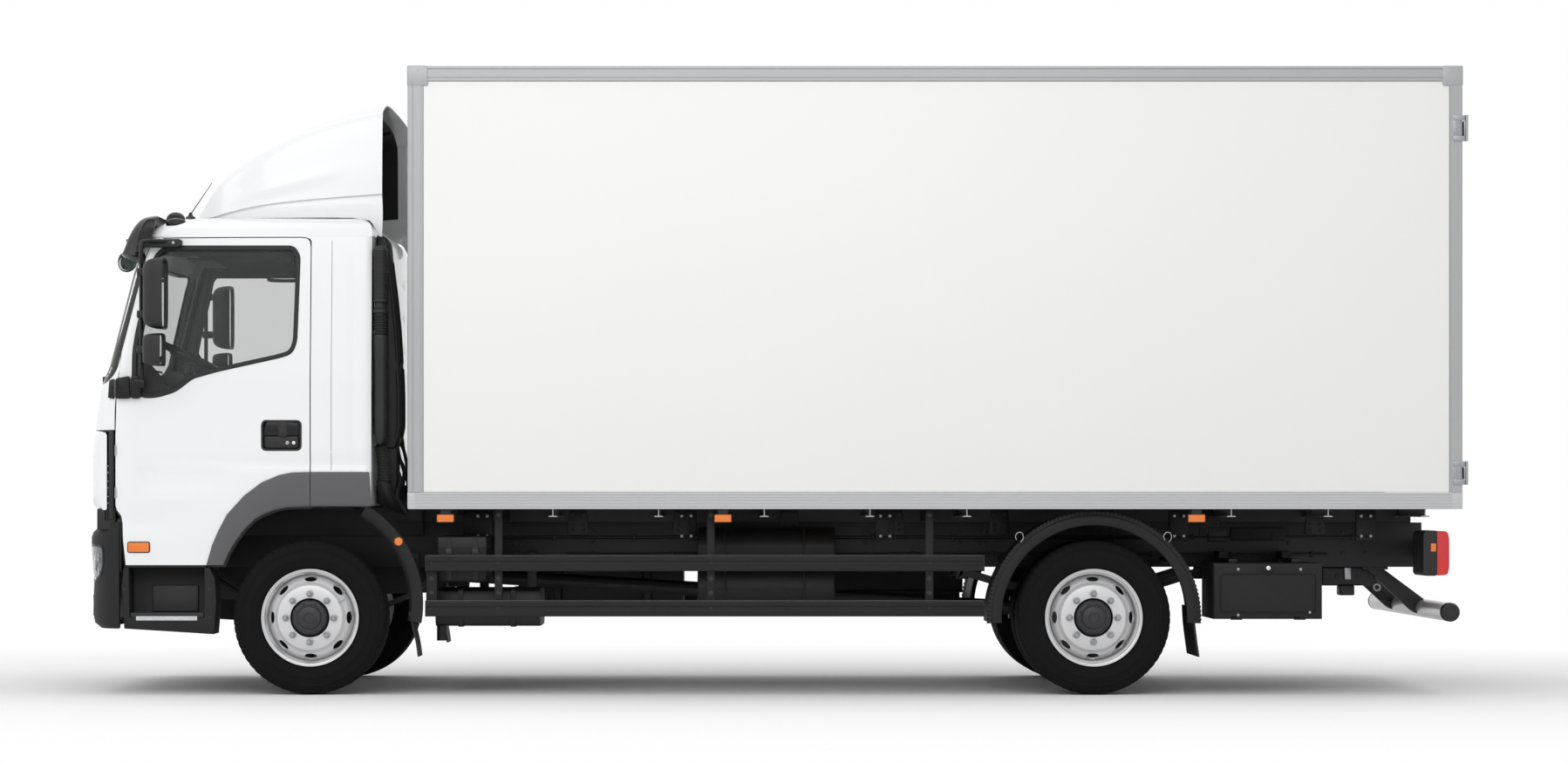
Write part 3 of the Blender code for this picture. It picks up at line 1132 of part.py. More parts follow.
def rear_end():
    low, high = BOX_LOW + FLOOR_DEPTH + SEAT_GAP, BOX_HIGH - RAIL_DEPTH - SEAT_GAP
    half, post = BOX_HALF_WIDTH, BOX_HALF_WIDTH - REAR_POST_WIDTH
    arch = [(-half, low), (-post, low), (-post, high - HEADER), (post, high - HEADER), (post, low), (half, low),
            (half, high), (-half, high)]
    frame = plate(arch, "X", BOX_REAR - REAR_POST_LENGTH, BOX_REAR)
    leaves = []
    for _, side in SIDES:
        for bottom, top in HINGES:
            for z_low, z_high in ((bottom, bottom + LEAF_HEIGHT), (top - LEAF_HEIGHT, top)):
                leaves.append(side_block(side, BOX_REAR - 0.050, HINGE_X, half - 0.004, half + 0.005, z_low, z_high))
                leaves.append(rod((HINGE_X, side * HINGE_Y, z_low), (HINGE_X, side * HINGE_Y, z_high),
                                  PIN_RADIUS, 6))
                leaves.append(side_block(side, HINGE_X - 0.004, HINGE_X + 0.004, half, HINGE_Y, z_low, z_high))
    node("rear_frame", "aluminium", joined(frame, *leaves))
    for word, side in SIDES:
        edge = post - DOOR_EDGE
        face = BOX_REAR - 0.002
        panel = side_block(side, face - REAR_DOOR_THICK, face, DOOR_MEET, edge, low + DOOR_EDGE,
                           high - HEADER - DOOR_EDGE)
        parts = []
        for bottom, top in HINGES:
            z_low, z_high = bottom + LEAF_HEIGHT + SEAT_GAP, top - LEAF_HEIGHT - SEAT_GAP
            parts.append(side_block(side, face - 0.003, HINGE_X - 0.002, edge - 0.18, edge - 0.02, z_low, z_high))
            parts.append(side_block(side, HINGE_X - 0.016, HINGE_X - 0.002, edge - 0.03, HINGE_Y, z_low, z_high))
            parts.append(rod((HINGE_X, side * HINGE_Y, z_low), (HINGE_X, side * HINGE_Y, z_high), PIN_RADIUS, 6))
        bar_x = face + 0.009
        parts.append(rod((bar_x, side * 0.300, low + 0.03), (bar_x, side * 0.300, high - HEADER - 0.03), 0.011, 8))
        node(f"rear_door_{word}", "box_panel", joined(panel, *parts), (HINGE_X, side * HINGE_Y, 0))


def main():
    clear_scene()
    chassis_frame()
    driveline()
    front_axle()
    knuckles()
    wheels()
    rear_axle()
    tanks()
    side_guards()
    toolbox()
    underrun_bar()
    tail_lamps()
    mudguards()
    steps()
    front_bumper()
    front_panel()
    cab_shell()
    doors()
    mirrors()
    dashboard()
    steering_wheel()
    seats()
    roof_deflector()
    sun_visor()
    intake_duct()
    box_body()
    rear_end()


main()
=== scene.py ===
import json
import math
import time

import bmesh
import bpy
import numpy as np
from mathutils import Matrix, Vector
from mathutils.geometry import delaunay_2d_cdt


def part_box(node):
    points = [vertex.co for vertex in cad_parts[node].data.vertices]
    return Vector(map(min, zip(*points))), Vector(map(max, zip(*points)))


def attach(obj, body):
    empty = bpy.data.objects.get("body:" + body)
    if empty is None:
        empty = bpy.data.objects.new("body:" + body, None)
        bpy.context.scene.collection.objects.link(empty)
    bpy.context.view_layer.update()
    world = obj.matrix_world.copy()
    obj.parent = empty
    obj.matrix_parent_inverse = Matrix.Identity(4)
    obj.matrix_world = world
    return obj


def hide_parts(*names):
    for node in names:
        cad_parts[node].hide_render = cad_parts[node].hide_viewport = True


startTime = time.time()
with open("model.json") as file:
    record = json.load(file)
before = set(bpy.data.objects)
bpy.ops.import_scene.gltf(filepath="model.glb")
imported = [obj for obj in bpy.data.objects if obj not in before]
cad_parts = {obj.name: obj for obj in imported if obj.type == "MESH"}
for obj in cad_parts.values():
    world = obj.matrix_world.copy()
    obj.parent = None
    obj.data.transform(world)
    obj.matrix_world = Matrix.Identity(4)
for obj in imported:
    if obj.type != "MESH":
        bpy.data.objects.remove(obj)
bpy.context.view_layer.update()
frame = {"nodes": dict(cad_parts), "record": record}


def stage(text):
    print(f"{time.time() - startTime:6.1f} s  {text}")


# Places shared by the pieces, in metres. u is the distance behind the front axle.
axle = {"front": -2.625, "rear": 1.835, "z": 0.439}
sides = (("left", -1), ("right", 1))


def atX(u):
    return axle["front"] + u


# The point u behind the front axle
def at(u, y, z):
    return atX(u), y, z


# Materials

# An sRGB colour, 0 to 255, as the linear numbers that the shader takes.
def linear(*srgb):
    return tuple(((v / 255 + 0.055) / 1.055) ** 2.4 if v > 10.3 else v / 255 / 12.92 for v in srgb)


def newMaterial(name):
    material = bpy.data.materials.new(name)
    material.use_nodes = True
    return material, material.node_tree, material.node_tree.nodes["Principled BSDF"]


# Set a node's inputs: another node's socket is linked, and anything else is the input's own value.
def feed(tree, node, inputs):
    for key, value in inputs.items():
        if isinstance(value, bpy.types.NodeSocket):
            tree.links.new(value, node.inputs[key])
        else:
            node.inputs[key].default_value = value
    return node


def addNode(tree, kind, inputs, **settings):
    node = tree.nodes.new("ShaderNode" + kind)
    for key, value in settings.items():
        setattr(node, key, value)
    return feed(tree, node, inputs)


def objectPlace(tree):
    return addNode(tree, "TexCoord", {}).outputs["Object"]


def noiseOf(tree, where, scale, detail=3.0, stretch=(1, 1, 1)):
    place = addNode(tree, "Mapping", {"Vector": where, "Scale": stretch}).outputs["Vector"]
    return addNode(tree, "TexNoise", {"Vector": place, "Scale": scale, "Detail": detail}).outputs["Fac"]


# A value that runs from start to end, as one that runs from low to high.
def ranged(tree, value, low, high, start=0.0, end=1.0):
    return addNode(tree, "MapRange", {"Value": value, "From Min": start, "From Max": end, "To Min": low,
        "To Max": high}).outputs["Result"]


def mixed(tree, share, first, second):
    return addNode(tree, "Mix", {0: share, 6: first, 7: second}, data_type="RGBA").outputs[2]


def joined(tree, first, second, operation="MULTIPLY"):
    return addNode(tree, "Math", {0: first, 1: second}, operation=operation).outputs[0]


def relief(tree, height, strength, distance):
    return addNode(tree, "Bump", {"Height": height, "Strength": strength,
        "Distance": distance}).outputs["Normal"]


# A finish whose colour drifts over large patches, with a fine grain in its relief and its gloss. Dust settles
# low down: its share falls off with height over the ground.
def surface(name, colour, roughness, metallic=0.0, grain=400.0, bump=0.05, depth=0.0005, spread=0.06,
        cloud=3.0, coat=0.0, stretch=(1, 1, 1), dust=None, roughSpread=0.06, specular=0.5):
    material, tree, shader = newMaterial(name)
    where = objectPlace(tree)
    drift = noiseOf(tree, where, cloud, 4.0, stretch)
    fine = noiseOf(tree, where, grain, 2.0, stretch)
    dark = [c * (1 - spread) for c in colour]
    light = [min(1.0, c * (1 + spread * 0.6)) for c in colour]
    result = mixed(tree, drift, (*dark, 1), (*light, 1))
    if dust:
        tint, top, share = dust
        height = addNode(tree, "SeparateXYZ", {0: where}).outputs["Z"]
        worn = joined(tree, ranged(tree, height, share, 0.0, 0.0, top), drift)
        result = mixed(tree, worn, result, (*tint, 1))
    gloss = ranged(tree, drift, max(0.02, roughness - roughSpread), roughness + roughSpread)
    feed(tree, shader, {"Base Color": result, "Roughness": gloss, "Metallic": metallic, "Coat Weight": coat,
        "Coat Roughness": 0.06, "Specular IOR Level": specular, "Normal": relief(tree, fine, bump, depth)})
    return material


# Moulded lamp plastic: clear coat over colour, with optic ribs where a pitch is given. paintedGlow is a faint
# emission in the lens's colour: painted light, so the lenses, and the reflectors made of them, give off a
# little light of their own.
def lensMaterial(name, colour, paintedGlow=0.0, clear=0.0, pitch=0.0):
    material, tree, shader = newMaterial(name)
    where = objectPlace(tree)
    dark = [c * 0.8 for c in colour]
    shade = mixed(tree, noiseOf(tree, where, 12.0), (*dark, 1), (*colour, 1))
    feed(tree, shader, {"Base Color": shade, "Roughness": 0.09, "Coat Weight": 0.6,
        "Transmission Weight": clear, "IOR": 1.45})
    # A faint emission in the lens's colour: painted light, not a lit lamp.
    if paintedGlow:
        feed(tree, shader, {"Emission Color": (*colour, 1), "Emission Strength": paintedGlow})
    if pitch:
        wave = addNode(tree, "TexWave", {"Vector": where, "Scale": math.tau / pitch / 20}, wave_type="BANDS",
            bands_direction="Z")
        feed(tree, shader, {"Normal": relief(tree, wave.outputs["Fac"], 0.4, 0.001)})
    return material


# Thin window glass: mostly see-through with a tint, and a sharp gloss.
def glassMaterial(name, tint, solid):
    material, tree, shader = newMaterial(name)
    gloss = ranged(tree, noiseOf(tree, objectPlace(tree), 2.0), 0.02, 0.05)
    feed(tree, shader, {"Base Color": (*tint, 1), "Alpha": solid, "Roughness": gloss,
        "Specular IOR Level": 0.5, "Coat Weight": 0.15})
    return material


# Aluminium tread plate: raised bars in a checked pattern.
def treadPlateMaterial(name, colour):
    material, tree, shader = newMaterial(name)
    cells = addNode(tree, "TexVoronoi", {"Vector": objectPlace(tree), "Scale": 45.0}).outputs["Distance"]
    feed(tree, shader, {"Base Color": (*colour, 1), "Metallic": 0.9, "Roughness": ranged(tree, cells, 0.28,
        0.5), "Normal": relief(tree, cells, 0.7, 0.003)})
    return material


# Woven seat cloth: two crossed waves raise the threads, and a slow noise lightens worn patches.
def clothMaterial(name, colour, stripe, pitch):
    material, tree, shader = newMaterial(name)
    where = objectPlace(tree)
    threads = {"Vector": where, "Scale": math.tau / pitch / 20, "Distortion": 0.6}
    warp, weft = (addNode(tree, "TexWave", threads, bands_direction=way).outputs["Fac"] for way in ("Y", "Z"))
    weave = joined(tree, warp, weft)
    shade = mixed(tree, joined(tree, weave, noiseOf(tree, where, 9.0)), (*colour, 1), (*stripe, 1))
    feed(tree, shader, {"Base Color": shade, "Roughness": 0.92, "Sheen Weight": 0.3,
        "Normal": relief(tree, weave, 0.5, 0.0008)})
    return material


# Phenolic-faced plywood: long grain streaks under a worn dark film.
def boardMaterial(name, colour, dark):
    material, tree, shader = newMaterial(name)
    streak = noiseOf(tree, objectPlace(tree), 6.0, 6.0, (0.3, 6, 6))
    feed(tree, shader, {"Base Color": mixed(tree, streak, (*dark, 1), (*colour, 1)),
        "Roughness": ranged(tree, streak, 0.45, 0.7), "Normal": relief(tree, streak, 0.3, 0.001)})
    return material


paint = surface("cabPaint", linear(240, 241, 242), 0.22, grain=260, bump=0.02, spread=0.015, cloud=1.5,
    coat=0.5)
panelSkin = surface("boxPanelSkin", linear(240, 240, 239), 0.42, grain=180, depth=0.0004, spread=0.012,
    cloud=1.1)
aluminium = surface("railAluminium", linear(196, 197, 198), 0.36, 0.55, grain=90, bump=0.04, spread=0.05,
    cloud=2.0, stretch=(0.15, 1, 1))
capMetal = surface("capMetal", linear(172, 173, 175), 0.42, 0.5, grain=240, bump=0.06, cloud=14)
postAluminium = surface("postAluminium", linear(173, 174, 175), 0.38, 0.5, grain=90, bump=0.04, spread=0.05,
    cloud=2.0)
zinc = surface("zincSteel", linear(165, 167, 170), 0.38, 0.85, grain=120, bump=0.06, spread=0.12, cloud=40)
plastic = surface("grainedPlastic", linear(20, 20, 22), 0.6, grain=900, bump=0.22, depth=0.0006, spread=0.1,
    cloud=5.0, specular=0.35)
archPlastic = surface("archPlastic", linear(88, 88, 90), 0.6, grain=900, bump=0.22, depth=0.0006, spread=0.08,
    cloud=5.0)
darkPlastic = surface("darkPlastic", linear(21, 21, 22), 0.52, grain=700, bump=0.18, depth=0.0006,
    spread=0.12, cloud=6.0)
glossBlack = surface("glossBlack", linear(12, 12, 13), 0.26, grain=200, bump=0.01, spread=0.08, cloud=4.0,
    coat=0.12, specular=0.3)
chassisPaint = surface("chassisPaint", linear(19, 19, 20), 0.52, 0.1, grain=130, bump=0.1, depth=0.0008,
    spread=0.25, cloud=7.0, dust=(linear(62, 60, 57), 1.1, 0.08))
rubber = surface("tyreRubber", linear(9, 9, 10), 0.82, grain=320, bump=0.16, depth=0.0008, spread=0.1,
    cloud=9.0, dust=(linear(48, 47, 45), 0.9, 0.05), specular=0.2)
seal = surface("rubberSeal", linear(24, 24, 25), 0.62, grain=350, bump=0.1, spread=0.08, cloud=10.0)
silver = surface("wheelSilver", linear(214, 214, 215), 0.34, 0.35, grain=300, bump=0.03, spread=0.04,
    cloud=7.0, coat=0.3)
hubPaint = surface("hubPaint", linear(52, 52, 54), 0.42, 0.35, grain=200, bump=0.08, spread=0.15, cloud=20.0)
chrome = surface("brightChrome", linear(225, 226, 228), 0.08, 1.0, grain=150, bump=0.01, spread=0.03,
    cloud=8.0, roughSpread=0.02)
mirrorSkin = surface("mirrorSkin", linear(225, 230, 232), 0.03, 1.0, grain=60, bump=0.0, spread=0.01,
    cloud=1.0, roughSpread=0.01)
lining = surface("cabLining", linear(72, 72, 74), 0.8, grain=800, bump=0.25, depth=0.0006, spread=0.08,
    cloud=5.0)
darkLining = surface("darkLining", linear(30, 30, 31), 0.75, grain=800, bump=0.25, depth=0.0006, spread=0.1,
    cloud=6.0)
whitePlate = surface("blankPlate", linear(226, 226, 222), 0.4, grain=120, bump=0.03, spread=0.02, cloud=4.0)
# Amber and red lenses with a faint painted glow, used for markers, tail lamps and reflectors alike.
amberLens = lensMaterial("amberLens", linear(232, 120, 20), paintedGlow=0.15, pitch=0.006)
redLens = lensMaterial("redLens", linear(205, 22, 24), paintedGlow=0.18, pitch=0.008)
clearLens = lensMaterial("clearLens", linear(235, 238, 240), clear=0.9)
windowGlass = glassMaterial("windowGlass", linear(104, 109, 108), 0.15)
screenGlass = glassMaterial("screenGlass", linear(62, 76, 72), 0.22)
treadPlate = treadPlateMaterial("treadPlate", linear(196, 198, 200))
seatCloth = clothMaterial("seatCloth", linear(44, 45, 49), linear(96, 98, 106), 0.004)
floorBoard = boardMaterial("floorBoard", linear(112, 84, 62), linear(66, 48, 36))


# Mesh tools

bench = []  # what has been made and not yet joined into a piece


# One mesh object, left on the bench; smooth is the angle in degrees under which edges shade smooth
def meshPiece(name, vertices, faces, material, smooth=40.0, bevel=None):
    mesh = bpy.data.meshes.new(name)
    mesh.from_pydata([tuple(v) for v in vertices], [], [tuple(int(i) for i in f) for f in faces])
    mesh.validate()
    form = bmesh.new()
    form.from_mesh(mesh)
    bmesh.ops.remove_doubles(form, verts=form.verts, dist=1e-6)
    if bevel:
        width, segments = bevel
        sharp = [e for e in form.edges if len(e.link_faces) == 2 and e.calc_face_angle(0) > math.radians(30)]
        bmesh.ops.bevel(form, geom=sharp, offset=width, offset_type="OFFSET", segments=segments, profile=0.5,
            affect="EDGES", clamp_overlap=True)
    bmesh.ops.recalc_face_normals(form, faces=form.faces)
    form.to_mesh(mesh)
    form.free()
    mesh.materials.append(material)
    made = bpy.data.objects.new(name, mesh)
    bpy.context.scene.collection.objects.link(made)
    bench.append(made)
    return softened(made, smooth)


def softened(piece, angle):
    piece.data.shade_smooth()
    piece.data.set_sharp_from_angle(angle=math.radians(angle))
    return piece


# Add a modifier, set it and apply it
def bake(piece, kind, **values):
    change = piece.modifiers.new("change", kind)
    for key, value in values.items():
        setattr(change, key, value)
    shown = bpy.context.evaluated_depsgraph_get()
    mesh = bpy.data.meshes.new_from_object(piece.evaluated_get(shown), depsgraph=shown)
    old = piece.data
    piece.modifiers.clear()
    piece.data = mesh
    if old.users == 0:
        bpy.data.meshes.remove(old)
    return piece


# Let a piece ride on its body and let it stand for CAD nodes, which it hides; slotName is not used. The bench
# is clear after it.
def put(piece, body, slotName, *nodes):
    bench.clear()
    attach(piece, body)
    if nodes:
        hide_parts(*nodes)
    return piece


# All that is on the bench becomes one piece that rides on its body
def assemble(name, slotName, *nodes, body="chassis"):
    return put(merged(name), body, slotName, *nodes)


# All that is on the bench as one object, each part keeping its own material and sharp edges
def merged(name):
    pieces = bench[:]
    bench.clear()
    materials, vertices, faces, which, flat = [], [], [], [], []
    for piece in pieces:
        mesh = piece.data
        base = len(vertices)
        vertices += [tuple(v.co) for v in mesh.vertices]
        places = []
        for material in mesh.materials:
            if material not in materials:
                materials.append(material)
            places.append(materials.index(material))
        for polygon in mesh.polygons:
            faces.append([base + i for i in polygon.vertices])
            which.append(places[polygon.material_index] if places else 0)
            flat.append(polygon.use_smooth)
    sharp = set()
    base = 0
    for piece in pieces:
        marks = piece.data.attributes.get("sharp_edge")
        if marks:
            for edge in piece.data.edges:
                if marks.data[edge.index].value:
                    sharp.add((base + min(edge.vertices), base + max(edge.vertices)))
        base += len(piece.data.vertices)
    mesh = bpy.data.meshes.new(name)
    mesh.from_pydata(vertices, [], faces)
    for material in materials:
        mesh.materials.append(material)
    mesh.polygons.foreach_set("material_index", which)
    mesh.polygons.foreach_set("use_smooth", flat)
    if sharp:
        marks = mesh.attributes.new("sharp_edge", "BOOLEAN", "EDGE")
        for edge in mesh.edges:
            marks.data[edge.index].value = (min(edge.vertices), max(edge.vertices)) in sharp
    for piece in pieces:
        old = piece.data
        bpy.data.objects.remove(piece)
        if old.users == 0:
            bpy.data.meshes.remove(old)
    made = bpy.data.objects.new(name, mesh)
    bpy.context.scene.collection.objects.link(made)
    return made


# Quad faces over a grid of points; closed joins the last column to the first, wrapRows the last row
def gridFaces(rows, columns, closed=False, wrapRows=False):
    faces = []
    for i in range(rows if wrapRows else rows - 1):
        for j in range(columns if closed else columns - 1):
            a, b = i * columns + j, i * columns + (j + 1) % columns
            k = ((i + 1) % rows) * columns
            faces.append((a, b, k + (j + 1) % columns, k + j))
    return faces


# A skin through sections that all have the same number of points; endCap closes the last one alone
def loft(name, sections, material, closed=True, caps=True, endCap=False, wrapRows=False, **more):
    rows, columns = len(sections), len(sections[0])
    vertices = [point for section in sections for point in section]
    faces = gridFaces(rows, columns, closed, wrapRows)
    if caps and closed and not endCap:
        faces.append(tuple(range(columns))[::-1])
    if endCap or caps and closed:
        faces.append(tuple((rows - 1) * columns + j for j in range(columns)))
    return meshPiece(name, vertices, faces, material, **more)


# An outline carried along an axis from one place to the other, its edges rounded
def prism(name, outline, axisName, low, high, material, bevel=0.003, segments=2, **more):
    def spot(a, b, along):
        return {"X": (along, a, b), "Y": (a, along, b), "Z": (a, b, along)}[axisName]

    low, high = sorted((low, high))
    count = len(outline)
    vertices = [spot(a, b, low) for a, b in outline] + [spot(a, b, high) for a, b in outline]
    faces = [(i, (i + 1) % count, count + (i + 1) % count, count + i) for i in range(count)]
    faces += [tuple(range(count))[::-1], tuple(range(count, 2 * count))]
    return meshPiece(name, vertices, faces, material, bevel=(bevel, segments) if bevel else None, **more)


# A rounded bar or plate between two corners
def slab(name, low, high, material, bevel=0.003, segments=2, **more):
    low, high = [min(a, b) for a, b in zip(low, high)], [max(a, b) for a, b in zip(low, high)]
    outline = [(low[0], low[1]), (high[0], low[1]), (high[0], high[1]), (low[0], high[1])]
    return prism(name, outline, "Z", low[2], high[2], material, bevel, segments, **more)


# A profile of (radius, distance along the axis) turned right round; a radius of 0 closes it
def turned(name, profile, centre, material, axisName="Y", side=1, steps=48, **more):
    vertices, rings = [], []
    for radius, out in profile:
        ring = []
        for i in range(steps if radius > 0 else 1):
            angle = math.tau * i / steps
            a, b = radius * math.cos(angle), radius * math.sin(angle)
            offset = {"X": (side * out, a, b), "Y": (a, side * out, b), "Z": (a, b, side * out)}[axisName]
            ring.append(len(vertices))
            vertices.append([centre[k] + offset[k] for k in range(3)])
        rings.append(ring)
    faces = []
    for near, far in zip(rings, rings[1:]):
        if len(near) == 1 and len(far) == 1:
            continue
        for i in range(steps):
            j = (i + 1) % steps
            corners = [near[i % len(near)], near[j % len(near)], far[j % len(far)], far[i % len(far)]]
            faces.append(tuple(dict.fromkeys(corners)))
    return meshPiece(name, vertices, faces, material, **more)


# A round bar between two places on its axis
def rod(name, radius, low, high, *more, **settings):
    return turned(name, [(0.0, low), (radius, low), (radius, high), (0.0, high)], *more, **settings)


# A Catmull-Rom curve through points: p = ((-t3+2t2-t)a + (3t3-5t2+2)b + (-3t3+4t2+t)c + (t3-t2)d) / 2
def smoothPath(points, perSpan=6):
    points = [np.array(p, float) for p in points]
    ends = [2 * points[0] - points[1], *points, 2 * points[-1] - points[-2]]
    out = []
    for a, b, c, d in zip(ends, ends[1:], ends[2:], ends[3:]):
        for i in range(perSpan):
            t = i / perSpan
            out.append(((-t ** 3 + 2 * t ** 2 - t) * a + (3 * t ** 3 - 5 * t ** 2 + 2) * b
                + (-3 * t ** 3 + 4 * t ** 2 + t) * c + (t ** 3 - t ** 2) * d) / 2)
    out.append(points[-1])
    return out


# A round tube along a path; each ring stands square to the path
def tube(name, points, radius, material, sides=12, caps=True, oval=1.0):
    points = [Vector(p) for p in points]
    sections, across = [], None
    for i, point in enumerate(points):
        ahead = (points[min(i + 1, len(points) - 1)] - points[max(i - 1, 0)]).normalized()
        if across is None:
            seed = Vector((0, 0, 1)) if abs(ahead.z) < 0.9 else Vector((1, 0, 0))
            across = ahead.cross(seed).normalized()
        else:
            across = (across - ahead * across.dot(ahead)).normalized()
        other = ahead.cross(across)
        size = radius[i] if isinstance(radius, (list, tuple)) else radius
        sections.append([point + across * (size * math.cos(math.tau * k / sides))
            + other * (size * oval * math.sin(math.tau * k / sides)) for k in range(sides)])
    return loft(name, sections, material, caps=caps)


# The outline with each corner rounded by an arc-like curve of about that radius
def ringed(outline, radius, steps=4):
    count, out = len(outline), []
    for i in range(count):
        before, here, after = (Vector(outline[k % count]) for k in (i - 1, i, i + 1))
        toBefore, toAfter = before - here, after - here
        reach = min(radius, toBefore.length * 0.45, toAfter.length * 0.45)
        start, end = here + toBefore.normalized() * reach, here + toAfter.normalized() * reach
        for k in range(steps + 1):
            t = k / steps
            out.append(tuple(start * (1 - t) ** 2 + here * 2 * t * (1 - t) + end * t ** 2))
    return out


def inside(point, outline):
    hit = False
    x, y = point
    for (x1, y1), (x2, y2) in zip(outline, outline[1:] + outline[:1]):
        if (y1 > y) != (y2 > y) and x < (x2 - x1) * (y - y1) / (y2 - y1) + x1:
            hit = not hit
    return hit


# A curved sheet: a flat region with holes is filled with triangles and each point is placed on the surface.
# place(a, b, depth) gives the point in space; depth is how far it lies under the skin.
def skin(name, outline, holes, place, material, step=0.05, thick=0.0, **more):
    def dense(loop):
        out = []
        for (x1, y1), (x2, y2) in zip(loop, loop[1:] + loop[:1]):
            parts = max(1, int(math.hypot(x2 - x1, y2 - y1) / step))
            out += [(x1 + (x2 - x1) * i / parts, y1 + (y2 - y1) * i / parts) for i in range(parts)]
        return out
    loops = [dense(outline)] + [dense(hole) for hole in holes]
    points, edges = [], []
    for loop in loops:
        base = len(points)
        points += loop
        edges += [(base + i, base + (i + 1) % len(loop)) for i in range(len(loop))]
    border = np.array(points)
    low, high = border.min(0), border.max(0)
    columns, rows = (max(2, int((high[k] - low[k]) / step)) for k in (0, 1))
    for i in range(1, columns):
        for j in range(1, rows):
            spot = (low[0] + (high[0] - low[0]) * i / columns, low[1] + (high[1] - low[1]) * j / rows)
            if np.min(np.hypot(border[:, 0] - spot[0], border[:, 1] - spot[1])) < step * 0.45:
                continue
            if inside(spot, outline) and not any(inside(spot, hole) for hole in holes):
                points.append(spot)
    found, _, faces, *_ = delaunay_2d_cdt([Vector(p) for p in points], edges, [], 0, 1e-7)
    kept = []
    for face in faces:
        middle = sum((Vector(found[i]) for i in face), Vector((0, 0))) / len(face)
        if inside(middle, outline) and not any(inside(middle, hole) for hole in holes):
            kept.append(tuple(face))
    vertices = [place(x, y, 0.0) for x, y in found]
    if not thick:
        return meshPiece(name, vertices, kept, material, **more)
    count = len(found)
    vertices += [place(x, y, thick) for x, y in found]
    ends = {}
    for face in kept:
        for a, b in zip(face, face[1:] + face[:1]):
            ends[(a, b)] = True
    faces = kept + [tuple(count + i for i in face[::-1]) for face in kept]
    faces += [(b, a, count + a, count + b) for a, b in ends if (b, a) not in ends]
    return meshPiece(name, vertices, faces, material, **more)


# Bolt heads or rivets standing on a face
def studs(name, spots, direction, radius, height, material, sides=6):
    direction = Vector(direction).normalized()
    across = direction.cross(Vector((0, 0, 1)) if abs(direction.z) < 0.9 else Vector((1, 0, 0))).normalized()
    other = direction.cross(across)
    vertices, faces = [], []
    for spot in spots:
        base = len(vertices)
        for rise, share in ((0.0, 1.0), (height * 0.75, 1.0), (height, 0.8)):
            for k in range(sides):
                angle = math.tau * k / sides
                vertices.append(Vector(spot) + direction * rise
                    + (across * math.cos(angle) + other * math.sin(angle)) * radius * share)
        for level in (0, 1):
            for k in range(sides):
                a, b = base + level * sides + k, base + level * sides + (k + 1) % sides
                faces.append((a, b, b + sides, a + sides))
        faces.append(tuple(base + 2 * sides + k for k in range(sides)))
    return meshPiece(name, vertices, faces, material, smooth=25)


stage("materials and tools ready")

# Wheels

tyre = {"half": 0.1225, "faceFront": 1.15, "faceRear": 1.16, "twin": 0.28, "steps": 240, "pitches": 60,
    "wander": 0.0035, "notch": 0.0045, "nick": 0.0022, "shoulder": 0.4195}
hub = {"studs": 0.1375, "screws": 0.0845}  # radii of the two bolt circles


# A ribbed truck tyre turned about the wheel's axis; y grows outwards on the side that shows. The tread's four
# grooves wander by a triangle wave, and the shoulder is notched every pitch.
def tyreMesh(name, centreX, middleY, side, material):
    steps = tyre["steps"]
    half = tyre["half"]
    wall = [(0.2785, half - 0.026), (0.283, half - 0.018), (0.29, half - 0.013), (0.297, half - 0.0125),
        (0.3, half - 0.009), (0.318, half - 0.003), (0.335, half), (0.338, half + 0.0012),
        (0.342, half + 0.0012), (0.345, half - 0.0005), (0.362, half - 0.002), (0.38, half - 0.005),
        (0.383, half - 0.0035), (0.388, half - 0.0035), (0.391, half - 0.007), (0.404, half - 0.0125),
        (0.412, half - 0.015), (0.4175, half - 0.0165), (0.4205, half - 0.019), (0.4285, half - 0.0225),
        (0.4345, half - 0.028)]
    tread = [0.086, 0.0655, 0.0625, 0.0555, 0.0525, 0.0255, 0.0225, 0.0155, 0.0125]
    # The groove's flanks come in pairs: top edge, then floor, floor, top edge.
    depths = [0.0, 0.0, 0.013, 0.013, 0.0, 0.0, 0.013, 0.013, 0.0]
    crown = [0.4382 - 0.1 * (y * y) for y in tread]
    outer = [(r, y, 0.0, False) for r, y in wall] + [(r, y, d, True) for r, y, d in zip(crown, tread, depths)]
    profile = outer + [(r, -y, d, f) for r, y, d, f in outer[::-1]]
    vertices = []
    for i in range(steps):
        angle = math.tau * i / steps
        phase = (i * tyre["pitches"] / steps) % 1.0
        wander = (abs(phase - 0.5) * 4 - 1) * tyre["wander"]
        for r, y, depth, onTread in profile:
            radius, out = r - depth, y
            if onTread and 0.01 < abs(y) < 0.07:
                out = y + wander
            if tyre["shoulder"] < r and abs(y) > 0.085 and (i % 4) == 0:
                radius -= tyre["notch"]
            if 0.411 < r < 0.4355 and abs(y) > 0.09 and (i % 4) == 0:
                out -= tyre["nick"] * (1 if y > 0 else -1)
            vertices.append((centreX + radius * math.cos(angle), middleY + side * out,
                axle["z"] + radius * math.sin(angle)))
    faces = gridFaces(steps, len(profile), wrapRows=True)
    return meshPiece(name, vertices, faces, material, smooth=28)


def rimMesh(name, profile, centre, side, material, steps=96):
    return turned(name, profile, centre, material, "Y", side, steps, smooth=32)


